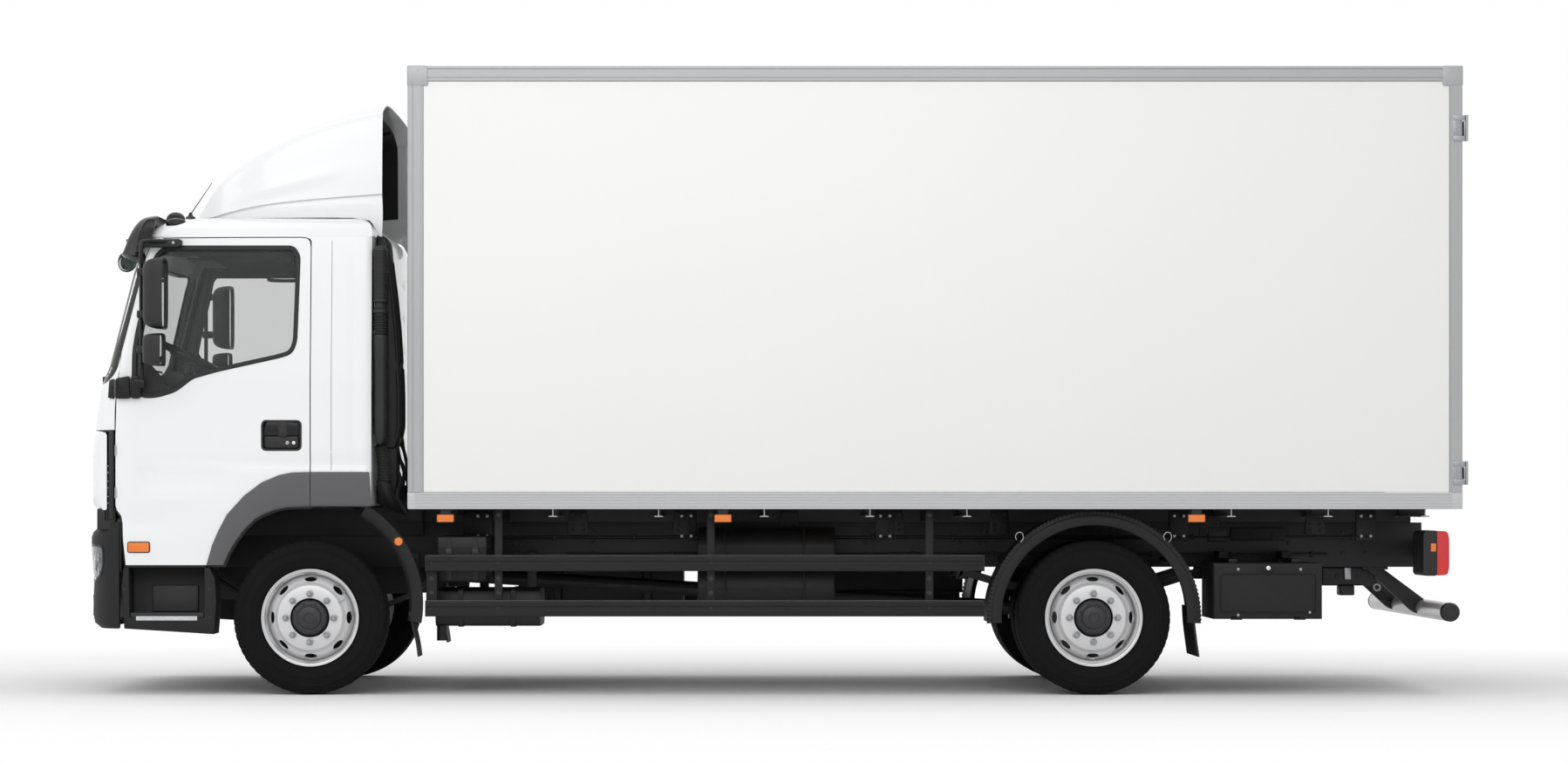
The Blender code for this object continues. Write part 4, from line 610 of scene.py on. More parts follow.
# The wheel disc between two radii: a grid in angle and radius with slotted hand holes left out. rings gives
# (radius, distance out); hole gives the radii between which each slot opens.
def discWithHoles(name, centre, side, rings, hole, material):
    steps, holes = 192, 8
    perHole = steps // holes
    radii = [ring[0] for ring in rings]
    vertices, faces = [], []

    def heightAt(radius):
        return float(np.interp(radius, radii, [ring[1] for ring in rings]))

    low, high = hole["inner"], hole["outer"]
    middle, halfR = (low + high) / 2, (high - low) / 2
    levels = sorted(set(list(radii) + [low - 0.006, low, low + halfR * 0.35, middle, high - halfR * 0.35,
        high, high + 0.006]))
    levels = [r for r in levels if radii[0] <= r <= radii[-1]]
    for i in range(steps):
        angle = math.tau * i / steps
        for r in levels:
            vertices.append([r, angle, heightAt(r)])
    columns = len(levels)

    # Half the slot's angle at a radius: an ellipse, w = W sqrt(1 - ((r - m) / h)^2)
    def width(radius):
        reach = 1 - ((radius - middle) / halfR) ** 2
        return hole["angle"] * math.sqrt(max(0.0, reach)) if reach > 0 else 0.0

    kept = set()
    for i in range(steps):
        for j in range(columns - 1):
            angle = (i + 0.5) % perHole
            angle = min(angle, perHole - angle) * math.tau / steps
            radius = (levels[j] + levels[j + 1]) / 2
            if low < radius < high and angle < width(radius):
                continue
            kept.add((i, j))
    # Points round a slot move onto its outline, so that the opening is a clean oval.
    for i in range(steps):
        for j, r in enumerate(levels):
            around = [((i - 1) % steps, j - 1), ((i - 1) % steps, j), (i, j - 1), (i, j)]
            state = [cell in kept for cell in around if 0 <= cell[1] < columns - 1]
            if all(state) or not any(state):
                continue
            nearest = round(i / perHole) * perHole
            offset = (i - nearest) * math.tau / steps
            across, along = offset / hole["angle"], (r - middle) / halfR
            length = math.hypot(across, along)
            if length > 1e-6:
                vertices[i * columns + j][0] = middle + along / length * halfR
                vertices[i * columns + j][1] = (nearest * math.tau / steps) + across / length * hole["angle"]
    placed = []
    for r, angle, _ in vertices:
        placed.append((centre[0] + r * math.cos(angle), centre[1] + side * heightAt(r),
            centre[2] + r * math.sin(angle)))
    for i, j in sorted(kept):
        a, b = i * columns + j, ((i + 1) % steps) * columns + j
        faces.append((a, a + 1, b + 1, b))
    softened(bake(meshPiece(name, placed, faces, material), "SOLIDIFY", thickness=0.01, offset=-1.0), 40)


# Eight wheel nuts with flanges and stud ends on the stud circle
def nutSet(centre, side, out, material):
    shapes = (("flange", 20, ((0.0, 0.0), (0.0205, 0.0), (0.0205, 0.005), (0.0165, 0.008), (0.0, 0.008)), 40),
        ("nut", 6, ((0.0, 0.006), (0.0165, 0.006), (0.0165, 0.026), (0.014, 0.0295), (0.0, 0.0295)), 20),
        ("stud", 12, ((0.0, 0.028), (0.0095, 0.028), (0.0095, 0.036), (0.008, 0.0385), (0.0, 0.0385)), 40))
    for i in range(8):
        angle = math.tau * i / 8
        spot = (centre[0] + hub["studs"] * math.cos(angle), centre[1],
            centre[2] + hub["studs"] * math.sin(angle))
        for name, steps, profile, smooth in shapes:
            turned(name, [(r, out + y) for r, y in profile], spot, material, "Y", side, steps, smooth=smooth)


# The domed hub with a bolted cap: stepped rings, eight small screws and a centre boss
def hubCap(centre, side, out, reach, material):
    rings = ((0.098, 0.35), (0.092, 0.55), (0.078, 0.66), (0.074, 0.62), (0.067, 0.62), (0.064, 0.92),
        (0.059, 1.0))
    turned("hubCover", [(0.112, out - 0.03), (0.104, out - 0.016),
        *((r, out + reach * share) for r, share in rings), (0.03, out + reach + 0.003),
        (0.028, out + reach - 0.002), (0.0, out + reach - 0.002)], centre, material, "Y", side, 64)
    spots = [(centre[0] + hub["screws"] * math.cos(math.tau * (i + 0.5) / 8),
        centre[1] + side * (out + reach * 0.6),
        centre[2] + hub["screws"] * math.sin(math.tau * (i + 0.5) / 8)) for i in range(8)]
    studs("hubBolts", spots, (0, side, 0), 0.0075, 0.007, material)


# The rolled lip and the barrel behind it, down to the far flange; neck gives its middle part
def rimBarrel(name, centre, side, neck):
    half = tyre["half"]
    lip = [(0.2765, half - 0.03), (0.2785, half - 0.014), (0.2765, half - 0.0105), (0.2725, half - 0.0115),
        (0.2705, half - 0.018), (0.262, half - 0.022), *((r, half - back) for r, back in neck)]
    far = [(neck[-1][0], -half + 0.02), (0.27, -half + 0.014), (0.2765, -half + 0.012),
        (0.2785, -half + 0.018), (0.2765, -half + 0.03), (0.256, -half + 0.04), (0.254, half - 0.058),
        (0.2765, half - 0.03)]
    rimMesh(name, lip + far, centre, side, silver)


handHoles = {"inner": 0.205, "outer": 0.24, "angle": 0.165}


def frontWheel(word, side):
    middle = side * (tyre["faceFront"] - tyre["half"])
    body = f"wheel_front_{word}"
    centre = (axle["front"], middle, axle["z"])
    put(tyreMesh(f"tyreFront{word.title()}", centre[0], middle, side, rubber), body, "rubber",
        f"tyre_front_{word}")
    rimBarrel("barrel", centre, side, [(0.258, 0.04), (0.251, 0.048), (0.246, 0.095), (0.24, 0.11)])
    discWithHoles("disc", centre, side, [(0.11, 0.117), (0.18, 0.117), (0.1845, 0.115), (0.19, 0.104),
        (0.2, 0.09), (0.222, 0.074), (0.236, 0.056), (0.2465, 0.03)], handHoles, silver)
    rimMesh("innerDisc", [(0.0, 0.03), (0.112, 0.03), (0.112, 0.118), (0.109, 0.118), (0.105, 0.09),
        (0.0, 0.088)], centre, side, hubPaint, 48)
    nutSet(centre, side, 0.117, zinc)
    hubCap(centre, side, 0.118, 0.036, hubPaint)
    tube("valve", [(centre[0] + 0.165, middle + side * 0.118, axle["z"] + 0.085),
        (centre[0] + 0.18, middle + side * 0.11, axle["z"] + 0.094),
        (centre[0] + 0.196, middle + side * 0.104, axle["z"] + 0.104)], 0.0045, zinc, 8)
    rimMesh("backing", [(0.0, -0.02), (0.236, -0.02), (0.236, -0.028), (0.0, -0.028)], centre, side,
        chassisPaint, 48)
    assemble(f"rimFront{word.title()}", "wheel_silver", f"rim_front_{word}", body=body)


def rearWheels(word, side):
    outer = tyre["faceRear"] - tyre["half"]
    inner = outer - tyre["twin"]
    body = f"wheels_rear_{word}"
    centre = (axle["rear"], side * outer, axle["z"])
    for place, out in (("outer", outer), ("inner", inner)):
        put(tyreMesh(f"tyreRear{place.title()}{word.title()}", centre[0], side * out, side, rubber), body,
            "rubber", f"tyre_rear_{place}_{word}")
    neck = [(0.258, 0.044), (0.25, 0.052), (0.244, 0.11)]
    rimBarrel("barrel", centre, side, neck)
    rimBarrel("innerBarrel", (centre[0], side * inner, centre[2]), -side, neck)
    discWithHoles("disc", centre, side, [(0.11, 0.082), (0.18, 0.082), (0.1845, 0.08), (0.19, 0.071),
        (0.2, 0.058), (0.222, 0.044), (0.236, 0.024), (0.2465, -0.004)], handHoles, silver)
    rimMesh("drum", [(0.0, -0.398), (0.205, -0.398), (0.212, -0.39), (0.214, -0.16), (0.17, -0.1),
        (0.165, 0.06), (0.112, 0.068), (0.112, 0.083), (0.109, 0.083), (0.105, 0.058), (0.0, 0.056)], centre,
        side, hubPaint, 64)
    rimMesh("innerDisc", [(0.164, -0.058), (0.2, -0.075), (0.222, -0.1), (0.244, -0.15), (0.244, -0.16),
        (0.22, -0.112), (0.198, -0.086), (0.164, -0.068)], centre, side, silver, 64)
    nutSet(centre, side, 0.082, zinc)
    hubCap(centre, side, 0.083, 0.044, hubPaint)
    assemble(f"rimRear{word.title()}", "wheel_silver", f"rim_rear_{word}", body=body)


for word, side in sides:
    frontWheel(word, side)
    rearWheels(word, side)
stage("wheels")

# Box body

# Points along a rail's face, let in at each groove: (distance out, place along)
def grooved(face, low, high, grooves, depth=0.003):
    points = [(face - 0.003, low), (face, low + 0.003)]
    for middle, width in grooves:
        start, end = middle - width / 2, middle + width / 2
        points += [(face, start), (face - depth, start + depth * 0.5), (face - depth, end - depth * 0.5),
            (face, end)]
    return points + [(face, high - 0.003), (face - 0.003, high)]


# Points given as (distance out, other) on one side of the truck
def sided(side, points):
    return [(side * out, other) for out, other in points]


topRail = {"low": 3.48, "high": 3.566, "grooves": [(3.499, 0.008), (3.5495, 0.006)]}
bottomRail = {"low": 1.057, "high": 1.153, "grooves": [(1.071, 0.008), (1.088, 0.008), (1.105, 0.008),
    (1.122, 0.008), (1.138, 0.006)]}
panelFace = 1.2455
frontPost, rearPost = (-2.061, -1.972), (3.839, 3.913)

for word, side in sides:
    slab("boxSidePanel", (frontPost[1] + 0.0015, side * 1.216, 1.1545),
        (rearPost[0] - 0.0015, side * panelFace, 3.4785), panelSkin, 0.002)
    # Inside: a scuff plate along the floor and two lashing rails.
    for z, tall, out in ((1.29, 0.26, 0.004), (1.95, 0.075, 0.012), (2.72, 0.075, 0.012)):
        # From its lower edge up to its middle, with one groove, and the same mirrored above it.
        groove = tall * 0.28
        lower = [(1.217, -tall / 2), (1.216 - out, -tall / 2 + 0.003), (1.216 - out, -groove - 0.006),
            (1.216 - out * 0.4, -groove), (1.216 - out, -groove + 0.006)]
        outline = lower + [(y, -dz) for y, dz in lower[::-1]]
        prism("insideRail", [(side * y, z + dz) for y, dz in outline], "X", -1.965, 3.83, aluminium, None)
    assemble(f"boxSide{word.title()}", "box_panel", f"box_side_{word}")

for word, side in sides:
    face = grooved(1.25, topRail["low"], topRail["high"], topRail["grooves"])
    prism("rail", sided(side, [(1.17, 3.566), (1.17, 3.552), (1.212, 3.548), (1.212, 3.4805), *face]), "X",
        -2.058, 3.911, postAluminium, None, smooth=30)
outline = [(-2.061, 3.484), (-2.061, 3.552), (-2.052, 3.566), (-1.985, 3.566), (-1.985, 3.552),
    (-2.024, 3.548), (-2.024, 3.4805), (-2.058, 3.4805)]
prism("rail", outline, "Y", -1.24, 1.24, postAluminium, 0.002, smooth=30)
outline = [(3.913, 3.4835), (3.913, 3.556), (3.904, 3.566), (3.83, 3.566), (3.83, 3.552), (3.842, 3.548),
    (3.842, 3.4835)]
prism("rail", outline, "Y", -1.24, 1.24, postAluminium, 0.002, smooth=30)
for x1, x2 in ((-2.0635, -1.942), (3.798, 3.9155)):
    for side in (-1, 1):
        slab("cap", (x1, side * 1.14, 3.452), (x2, side * 1.2535, 3.569), capMetal, 0.011, 4)
        spots = [((x1 + x2) / 2 + d, side * 1.2535, z) for d, z in ((-0.034, 3.474), (0.034, 3.474),
            (0.0, 3.54))]
        studs("rivets", spots, (0, side, 0), 0.0055, 0.0025, capMetal, 12)
slab("roofSkin", (-2.03, -1.216, 3.536), (3.896, 1.216, 3.5635), panelSkin, 0.002)
for x in np.arange(-1.4, 3.6, 0.62):
    outline = [(x, 3.536), (x + 0.006, 3.506), (x + 0.044, 3.506), (x + 0.05, 3.536)]
    prism("bow", outline, "Y", -1.21, 1.21, aluminium, 0.002)
assemble("boxRoof", "aluminium", "box_roof")

# Front wall with its two rounded posts.
for side in (-1, 1):
    corner = [(-2.061 + 0.014 * (1 - math.sin(a)), 1.236 + 0.014 * math.cos(a))
        for a in (math.radians(90 * k / 6) for k in range(6, -1, -1))]
    outline = [(-2.061, 1.2), *corner, (-2.034, 1.25), (-2.0325, 1.2475), (-2.0265, 1.2475), (-2.025, 1.25),
        (-1.984, 1.25), (-1.982, 1.2475), (-1.9725, 1.2475), (-1.9725, 1.214), (-2.026, 1.214), (-2.026, 1.2)]
    prism("post", [(x, side * y) for x, y in outline], "Z", 1.1535, 3.4795, postAluminium, None, smooth=30)
slab("frontPanel", (-2.056, -1.201, 1.1545), (-2.028, 1.201, 3.4785), panelSkin, 0.002)
slab("scuff", (-2.028, -1.201, 1.1555), (-2.022, 1.201, 1.75), aluminium, 0.002)
assemble("boxFrontWall", "box_panel", "box_front_wall")

# Floor: grooved bottom rails, boards, cross bearers and the two subframe channels.
for side in (-1, 1):
    face = grooved(1.25, bottomRail["low"], bottomRail["high"], bottomRail["grooves"], 0.0035)
    outline = [(1.15, 1.153), (1.15, 1.128), (1.205, 1.122), (1.205, 1.062), (1.19, 1.058), *face]
    prism("rail", sided(side, outline), "X", -2.058, 3.911, aluminium, None, smooth=30)
for x, width in ((-2.061, 0.045), (3.852, 0.061)):
    slab("endRail", (x, -1.249, 1.062), (x + width, 1.249, 1.153), aluminium, 0.004)
for i in range(8):
    y = -1.149 + i * 0.28725
    slab("board", (-2.016, y + 0.0005, 1.126), (3.851, y + 0.28675, 1.1525), floorBoard, 0.0015)
bearerSpots = [axle["rear"] + x for x in (-3.7, -3.1, -2.5, -1.9, -1.3, -0.75, 0.75, 1.3, 1.85)]
for x in bearerSpots:
    outline = [(x, 1.012), (x + 0.05, 1.012), (x + 0.05, 1.019), (x + 0.0285, 1.021), (x + 0.0285, 1.116),
        (x + 0.05, 1.118), (x + 0.05, 1.126), (x, 1.126), (x, 1.118), (x + 0.0215, 1.116),
        (x + 0.0215, 1.021), (x, 1.019)]
    prism("bearer", outline, "Y", -1.198, 1.198, zinc, 0.0012, 1)
for side in (-1, 1):
    outline = [(0.365, 0.9773), (0.43, 0.9773), (0.43, 1.0585), (0.365, 1.0585), (0.365, 1.051),
        (0.4225, 1.051), (0.4225, 0.985), (0.365, 0.985)]
    prism("subframe", sided(side, outline), "X", -2.041, 3.773, chassisPaint, 0.002, 1)
    # Console pairs tie the subframe to the chassis rails, with bolts.
    for x in (-1.75, -0.55, 0.62, 2.35, 3.45):
        slab("console", (x, side * 0.4302, 0.87), (x + 0.115, side * 0.44, 1.046), chassisPaint)
        spots = [(x + 0.03 + 0.055 * (k % 2), side * 0.44, 0.897 + 0.118 * (k // 2)) for k in range(4)]
        studs("bolts", spots, (0, side, 0), 0.011, 0.009, zinc)
assemble("boxFloor", "aluminium", "box_floor")

# Amber side markers hang on small brackets under the bottom rails.
for word, side in sides:
    for x in (-1.848, -0.275, 2.411):
        low, high = sorted((side * 1.176, side * 1.215))
        slab("bracket", (x - 0.03, low, 1.02), (x + 0.03, high - 0.006, 1.0572), darkPlastic)
        slab("base", (x - 0.052, side * 1.19, 0.98), (x + 0.052, side * 1.213, 1.03), darkPlastic, 0.004)
        slab("lens", (x - 0.047, side * 1.205, 0.984), (x + 0.047, side * 1.222, 1.026), amberLens, 0.005, 3)
assemble("sideMarkers", "dark_plastic")
stage("box body")

# Rear portal, doors with their locking gear, lamps and underrun bar

hinge = {"x": 3.934, "y": 1.262, "radius": 0.007, "pairs": ((1.195, 1.328), (3.139, 3.287))}
for side in (-1, 1):
    corner = [(3.901 + 0.012 * math.sin(a), 1.238 + 0.012 * math.cos(a)) for a in (math.radians(90 * k / 5)
        for k in range(6))]
    outline = [(3.839, 1.214), (3.8395, 1.2475), (3.848, 1.2475), (3.85, 1.25), *corner, (3.913, 1.18),
        (3.905, 1.18), (3.905, 1.186), (3.876, 1.186), (3.872, 1.2), (3.845, 1.214)]
    prism("post", [(x, side * y) for x, y in outline], "Z", 1.1535, 3.4795, postAluminium, None, smooth=30)
    for bottom, top in hinge["pairs"]:
        for low in (bottom, top - 0.03):
            slab("leaf", (3.858, side * 1.2495, low), (3.936, side * 1.256, low + 0.03), zinc, 0.002)
            rod("knuckle", hinge["radius"], low, low + 0.03, (hinge["x"], side * hinge["y"], 0), zinc, "Z", 1,
                16)
        middle = (bottom + top) / 2
        slab("plate", (3.856, side * 1.2494, bottom + 0.002), (3.8985, side * 1.253, top - 0.002), zinc)
        spots = [(3.876, side * 1.253, z) for z in (bottom + 0.044, middle, top - 0.044)]
        studs("bolts", spots, (0, side, 0), 0.0055, 0.004, zinc)
prism("header", [(3.839, 3.4), (3.905, 3.4), (3.905, 3.406), (3.913, 3.408), (3.913, 3.4795),
    (3.839, 3.4795)], "Y", -1.182, 1.182, postAluminium, 0.002)
for y in (-1.05, 0.0, 1.05):
    slab("topLampBase", (3.912, y - 0.055, 3.425), (3.92, y + 0.055, 3.462), darkPlastic, 0.004)
    slab("topLamp", (3.918, y - 0.048, 3.43), (3.928, y + 0.048, 3.457), redLens, 0.004)
# Keepers for the locking bars, above and below each door.
for side in (-1, 1):
    for low, high in ((1.1, 1.15), (3.402, 3.452)):
        slab("keeper", (3.9125, side * 0.262, low), (3.92, side * 0.338, high), zinc)
        for y in (0.27, 0.322):
            slab("jaw", (3.919, side * y, low + 0.008), (3.9365, side * (y + 0.009), high - 0.008), zinc)
        spots = [(3.92, side * y, low + 0.025) for y in (0.288, 0.312)]
        studs("bolts", spots, (1, 0, 0), 0.006, 0.005, zinc)
# Rubber buffers along the sill.
for y in (-1.02, -0.52, 0.52, 1.02):
    slab("buffer", (3.9125, y - 0.06, 1.066), (3.938, y + 0.06, 1.146), rubber, 0.01, 3)
    spots = [(3.938, y + d, 1.106) for d in (-0.035, 0.035)]
    studs("bolts", spots, (1, 0, 0), 0.006, 0.002, zinc, 12)
assemble("rearPortal", "aluminium", "rear_frame")

for word, side in sides:
    edge, meet, low, high = 1.173, 0.006, 1.1615, 3.3915
    slab("panel", (3.8775, side * meet, low), (3.906, side * edge, high), panelSkin, 0.002)
    # Rubber seal all round, then an aluminium edging.
    band = ((meet - 0.0015, meet + 0.014, low, high), (edge - 0.014, edge + 0.0007, low, high),
        (meet, edge, low - 0.0007, low + 0.016), (meet, edge, high - 0.016, high + 0.0007))
    for near, far, bottom, top in band:
        slab("seal", (3.8755, side * near, bottom), (3.9108, side * far, top), seal)
    band = ((meet + 0.012, meet + 0.04, low + 0.014, high - 0.014), (edge - 0.04, edge - 0.012, low + 0.014,
        high - 0.014), (meet + 0.012, edge - 0.012, low + 0.014, low + 0.044),
        (meet + 0.012, edge - 0.012, high - 0.044, high - 0.014))
    for near, far, bottom, top in band:
        slab("edging", (3.9, side * near, bottom), (3.9082, side * far, top), aluminium, 0.0015)
    spots = [(3.9082, side * y, z) for y in (meet + 0.026, edge - 0.026) for z in np.arange(low + 0.06,
        high - 0.04, 0.24)]
    studs("rivets", spots, (1, 0, 0), 0.004, 0.002, aluminium, 8)
    # Locking bar with its guides, cams and lever.
    bar = (3.9195, side * 0.3)
    rod("bar", 0.011, 1.168, 3.386, (*bar, 0), zinc, "Z", 1, 20)
    for z in (1.3, 1.86, 2.5, 3.2):
        slab("guideFoot", (3.9058, side * 0.258, z), (3.911, side * 0.342, z + 0.055), zinc, 0.002)
        slab("guide", (3.91, side * 0.283, z + 0.006), (3.933, side * 0.317, z + 0.049), zinc, 0.006, 3)
        spots = [(3.911, side * y, z + 0.0275) for y in (0.268, 0.332)]
        studs("bolts", spots, (1, 0, 0), 0.0055, 0.004, zinc)
    for z, step in ((1.17, 1), (3.3835, -1)):
        slab("cam", (3.912, side * 0.284, z), (3.9345, side * 0.316, z + step * 0.03), zinc, 0.004, 3)
    slab("leverRoot", (3.9115, side * 0.28, 1.6), (3.9335, side * 0.322, 1.66), zinc, 0.004, 3)
    prism("lever", [(side * y, z) for y, z in ringed([(0.31, 1.606), (0.42, 1.612), (0.66, 1.628),
        (0.69, 1.64), (0.66, 1.654), (0.42, 1.654), (0.31, 1.654)], 0.02, 3)], "X", 3.9215, 3.929, zinc)
    slab("catch", (3.9058, side * 0.56, 1.575), (3.9125, side * 0.65, 1.69), zinc, 0.004)
    slab("catchHook", (3.912, side * 0.59, 1.655), (3.9335, side * 0.62, 1.676), zinc, 0.004)
    slab("catchKeep", (3.912, side * 0.59, 1.586), (3.9335, side * 0.62, 1.602), zinc, 0.004)
    for bottom, top in hinge["pairs"]:
        start, end = bottom + 0.0303, top - 0.0303
        slab("strap", (3.9062, side * 0.99, start), (3.9135, side * 1.17, end), zinc, 0.002)
        slab("strapEnd", (3.918, side * 1.15, start + 0.001), (3.931, side * 1.258, end - 0.001), zinc, 0.002)
        slab("strapBend", (3.912, side * 1.14, start + 0.001), (3.924, side * 1.166, end - 0.001), zinc,
            0.002)
        rod("knuckle", 0.007, start, end, (hinge["x"], side * hinge["y"], 0), zinc, "Z", 1, 16)
        spots = [(3.9135, side * y, (start + end) / 2 + d) for y in (1.015, 1.06, 1.105) for d in (-0.02,
            0.02)]
        studs("bolts", spots, (1, 0, 0), 0.006, 0.004, zinc)
    assemble(f"rearDoor{word.title()}", "box_panel", f"rear_door_{word}", body=f"rear_door_{word}")

# Tail lamps: a folded bar behind the rails with a lamp cluster at each end, and blank plates.
prism("bar", [(3.8378, 0.746), (3.866, 0.746), (3.866, 0.752), (3.843, 0.754), (3.843, 0.886), (3.866, 0.888),
    (3.866, 0.894), (3.8378, 0.894)], "Y", -1.0, 1.0, chassisPaint, 0.002)
for side in (-1, 1):
    outline = ringed([(3.7175, 0.69), (3.73, 0.676), (3.8, 0.676), (3.8, 0.935), (3.73, 0.935),
        (3.7175, 0.915)], 0.018)
    prism("housing", outline, "Y", side * 0.785, side * 1.105, darkPlastic, 0.005)
    outline = ringed([(3.792, 0.677), (3.857, 0.682), (3.8665, 0.72), (3.8665, 0.89), (3.857, 0.93),
        (3.792, 0.934)], 0.016)
    for near, far, kind in ((0.786, 0.866, redLens), (0.868, 0.944, amberLens), (0.946, 1.104, redLens)):
        prism("lens", outline, "Y", side * near, side * far, kind, 0.004)
    slab("outline", (3.76, side * 1.098, 0.815), (3.79, side * 1.1095, 0.862), amberLens, 0.004)
    slab("reversing", (3.7155, side * 0.955, 0.775), (3.735, side * 1.0, 0.835), darkPlastic, 0.004)
    for y in (0.55, 0.3):
        studs("bolts", [(3.866, side * y, z) for z in (0.775, 0.865)], (1, 0, 0), 0.009, 0.0, zinc)
assemble("tailLamps", "red_lens", "tail_lamps")

slab("plateHolder", (3.8662, -0.345, 0.742), (3.872, 0.345, 0.888), darkPlastic, 0.004)
slab("blankRearPlate", (3.8715, -0.26, 0.76), (3.8745, 0.26, 0.87), whitePlate, 0.002)
for y in (-0.2, 0.2):
    prism("plateLamp", ringed([(3.866, 0.888), (3.89, 0.884), (3.89, 0.902), (3.866, 0.91)], 0.006, 3), "Y",
        y - 0.035, y + 0.035, darkPlastic)
assemble("rearPlate", "dark_plastic")

# Underrun bar: a silver tube with black end caps on two slanted arms.
bar = {"x": 3.859, "z": 0.471, "r": 0.0535}
rod("tube", bar["r"], -1.15, 1.15, (bar["x"], 0, bar["z"]), silver)
for side in (-1, 1):
    turned("endCap", [(bar["r"] + 0.0005, 1.135), (bar["r"] + 0.0005, 1.168), (bar["r"] - 0.006, 1.177),
        (0.034, 1.18), (0.03, 1.176), (0.0, 1.176)], (bar["x"], 0, bar["z"]), darkPlastic, "Y", side)
    outline = [(3.5, 0.7147), (3.6, 0.7147), (3.7, 0.64), (3.868, 0.515), (3.846, 0.43), (3.785, 0.452)]
    prism("arm", ringed(outline, 0.02, 3), "Y", side * 0.375, side * 0.42, chassisPaint)
    for x, z in ((3.6, 0.665), (3.72, 0.575)):
        turned("hole", [(0.014, 0.3735), (0.024, 0.3735), (0.024, 0.376), (0.014, 0.376)], (x, 0, z), zinc,
            "Y", side, 20)
    slab("foot", (3.49, side * 0.368, 0.7), (3.64, side * 0.43, 0.7147), chassisPaint)
    studs("bolts", [(3.83, side * y, 0.515) for y in (0.385, 0.41)], (0, 0, 1), 0.008, 0.006, zinc)
assemble("underrunBar", "wheel_silver", "underrun_bar")
stage("rear end")

# Cab surface: a plan curve set at the nose of each level, leaning in above the belt line

cab = {"half": 1.15, "rear": 0.347, "belt": 1.8, "roof": 2.728, "lean": 0.055}
noseLevels = [(0.9, -1.29), (1.508, -1.29), (1.62, -1.278), (1.77, -1.252), (1.87, -1.21), (2.415, -1.075),
    (2.58, -1.02), (2.66, -0.96), (2.705, -0.89), (2.728, -0.72)]
# The plan from the nose's middle round to the side: (behind the nose, out from the middle)
planPoints = np.array(smoothPath([(0.0, 0.0), (0.003, 0.3), (0.01, 0.58), (0.022, 0.8), (0.05, 1.01),
    (0.1, 1.105), (0.22, 1.1495), (0.4, 1.15), (0.8, 1.15), (1.64, 1.15)], 10))


# How far each point lies along the line from its start
def lengthOf(points):
    return np.concatenate([[0], np.cumsum(np.hypot(*(points[1:] - points[:-1]).T))])


planLength = lengthOf(planPoints)


def noseAt(z):
    return float(np.interp(z, *zip(*noseLevels)))


def leanAt(z):
    return 1 - cab["lean"] * max(0.0, z - cab["belt"]) / (cab["roof"] - cab["belt"])


# Distance along the plan curve of the point at u on the side at height z
def alongAt(u, z):
    return float(np.interp(u - noseAt(z), planPoints[:, 0], planLength))


# Distance behind the nose, and out from the middle, at a distance along the plan curve
def planAt(along):
    reach = min(abs(along), planLength[-1])
    behind = float(np.interp(reach, planLength, planPoints[:, 0]))
    out = float(np.interp(reach, planLength, planPoints[:, 1]))
    return behind, out if along >= 0 else -out


# A smooth hump: 1 at the middle, 0 beyond the width, (1 - t^2)^2 between
def bumpOf(value, middle, width):
    t = min(1.0, abs(value - middle) / width)
    return (1 - t * t) ** 2


# Smooth step from 0 at start to 1 at end
def slopeOf(value, start, end):
    t = min(1.0, max(0.0, (value - start) / (end - start)))
    return t * t * (3 - 2 * t)


# How far the side's pressing is let in: a soft band under the handle, a dished panel over the sill and the
# shoulder that runs up to the window
def creaseAt(u, z):
    band = 0.008 * bumpOf(z, 1.325, 0.06) * slopeOf(u, -1.05, -0.85)
    wedge = 0.01 * slopeOf(u, -1.02, -0.9) * (1 - slopeOf(u, -0.62, -0.38)) * slopeOf(z, 1.3,
        1.275) * (1 - slopeOf(z, 1.225, 1.12))
    low = 0.0095 * bumpOf(z, 1.0, 0.11) * (1 - slopeOf(u, -0.86, -0.66))
    return band + max(0.0, wedge) + low


# A point on the cab's skin, moved in by a depth
def cabPoint(along, z, depth=0.0, side=1):
    behind, out = planAt(along)
    nearSide = slopeOf(abs(out), 1.0, 1.14)
    out = math.copysign(abs(out) - depth * nearSide, out)
    behind += depth * (1 - nearSide)
    return at(noseAt(z) + behind, side * out * leanAt(z), z)


# place() for skins on one side whose outline is given in u and z
def sidePoint(side, lift=0.0, creases=True):
    def place(u, z, depth):
        behind = u - noseAt(z)
        out = float(np.interp(behind, planPoints[:, 0], planPoints[:, 1]))
        out += lift - depth - (creaseAt(u, z) if creases else 0.0)
        return at(u, side * out * leanAt(z), z)
    return place


doorEdge = [(-1.046, 0.739), (-1.061, 0.878), (-1.066, 0.977), (-1.074, 1.02), (-1.098, 1.05),
    (-1.106, 1.075), (-1.106, 1.473), (-1.101, 1.696), (-1.091, 1.8), (-1.076, 1.969), (-1.056, 2.068),
    (-1.017, 2.217), (-0.972, 2.405), (-0.938, 2.515), (-0.918, 2.562), (-0.88, 2.592), (-0.83, 2.6),
    (-0.45, 2.6035), (-0.06, 2.6045), (-0.022, 2.6), (-0.006, 2.585), (-0.0005, 2.55), (-0.0005, 1.071)]
doorArch = [(-0.124, 1.067), (-0.198, 1.052), (-0.273, 1.022), (-0.322, 0.99), (-0.372, 0.94),
    (-0.421, 0.875), (-0.461, 0.807), (-0.49, 0.739)]
windowEdge = ringed([(-0.955, 1.7), (-0.868, 1.703), (-0.769, 1.734), (-0.719, 1.771), (-0.67, 1.81),
    (-0.521, 1.852), (-0.174, 1.929), (-0.11, 1.95), (-0.086, 2.01), (-0.079, 2.217), (-0.071, 2.5),
    (-0.1, 2.547), (-0.83, 2.547), (-0.885, 2.5), (-0.915, 2.35), (-0.95, 2.217), (-0.985, 2.06),
    (-1.0, 1.95), (-1.0, 1.76)], 0.035)
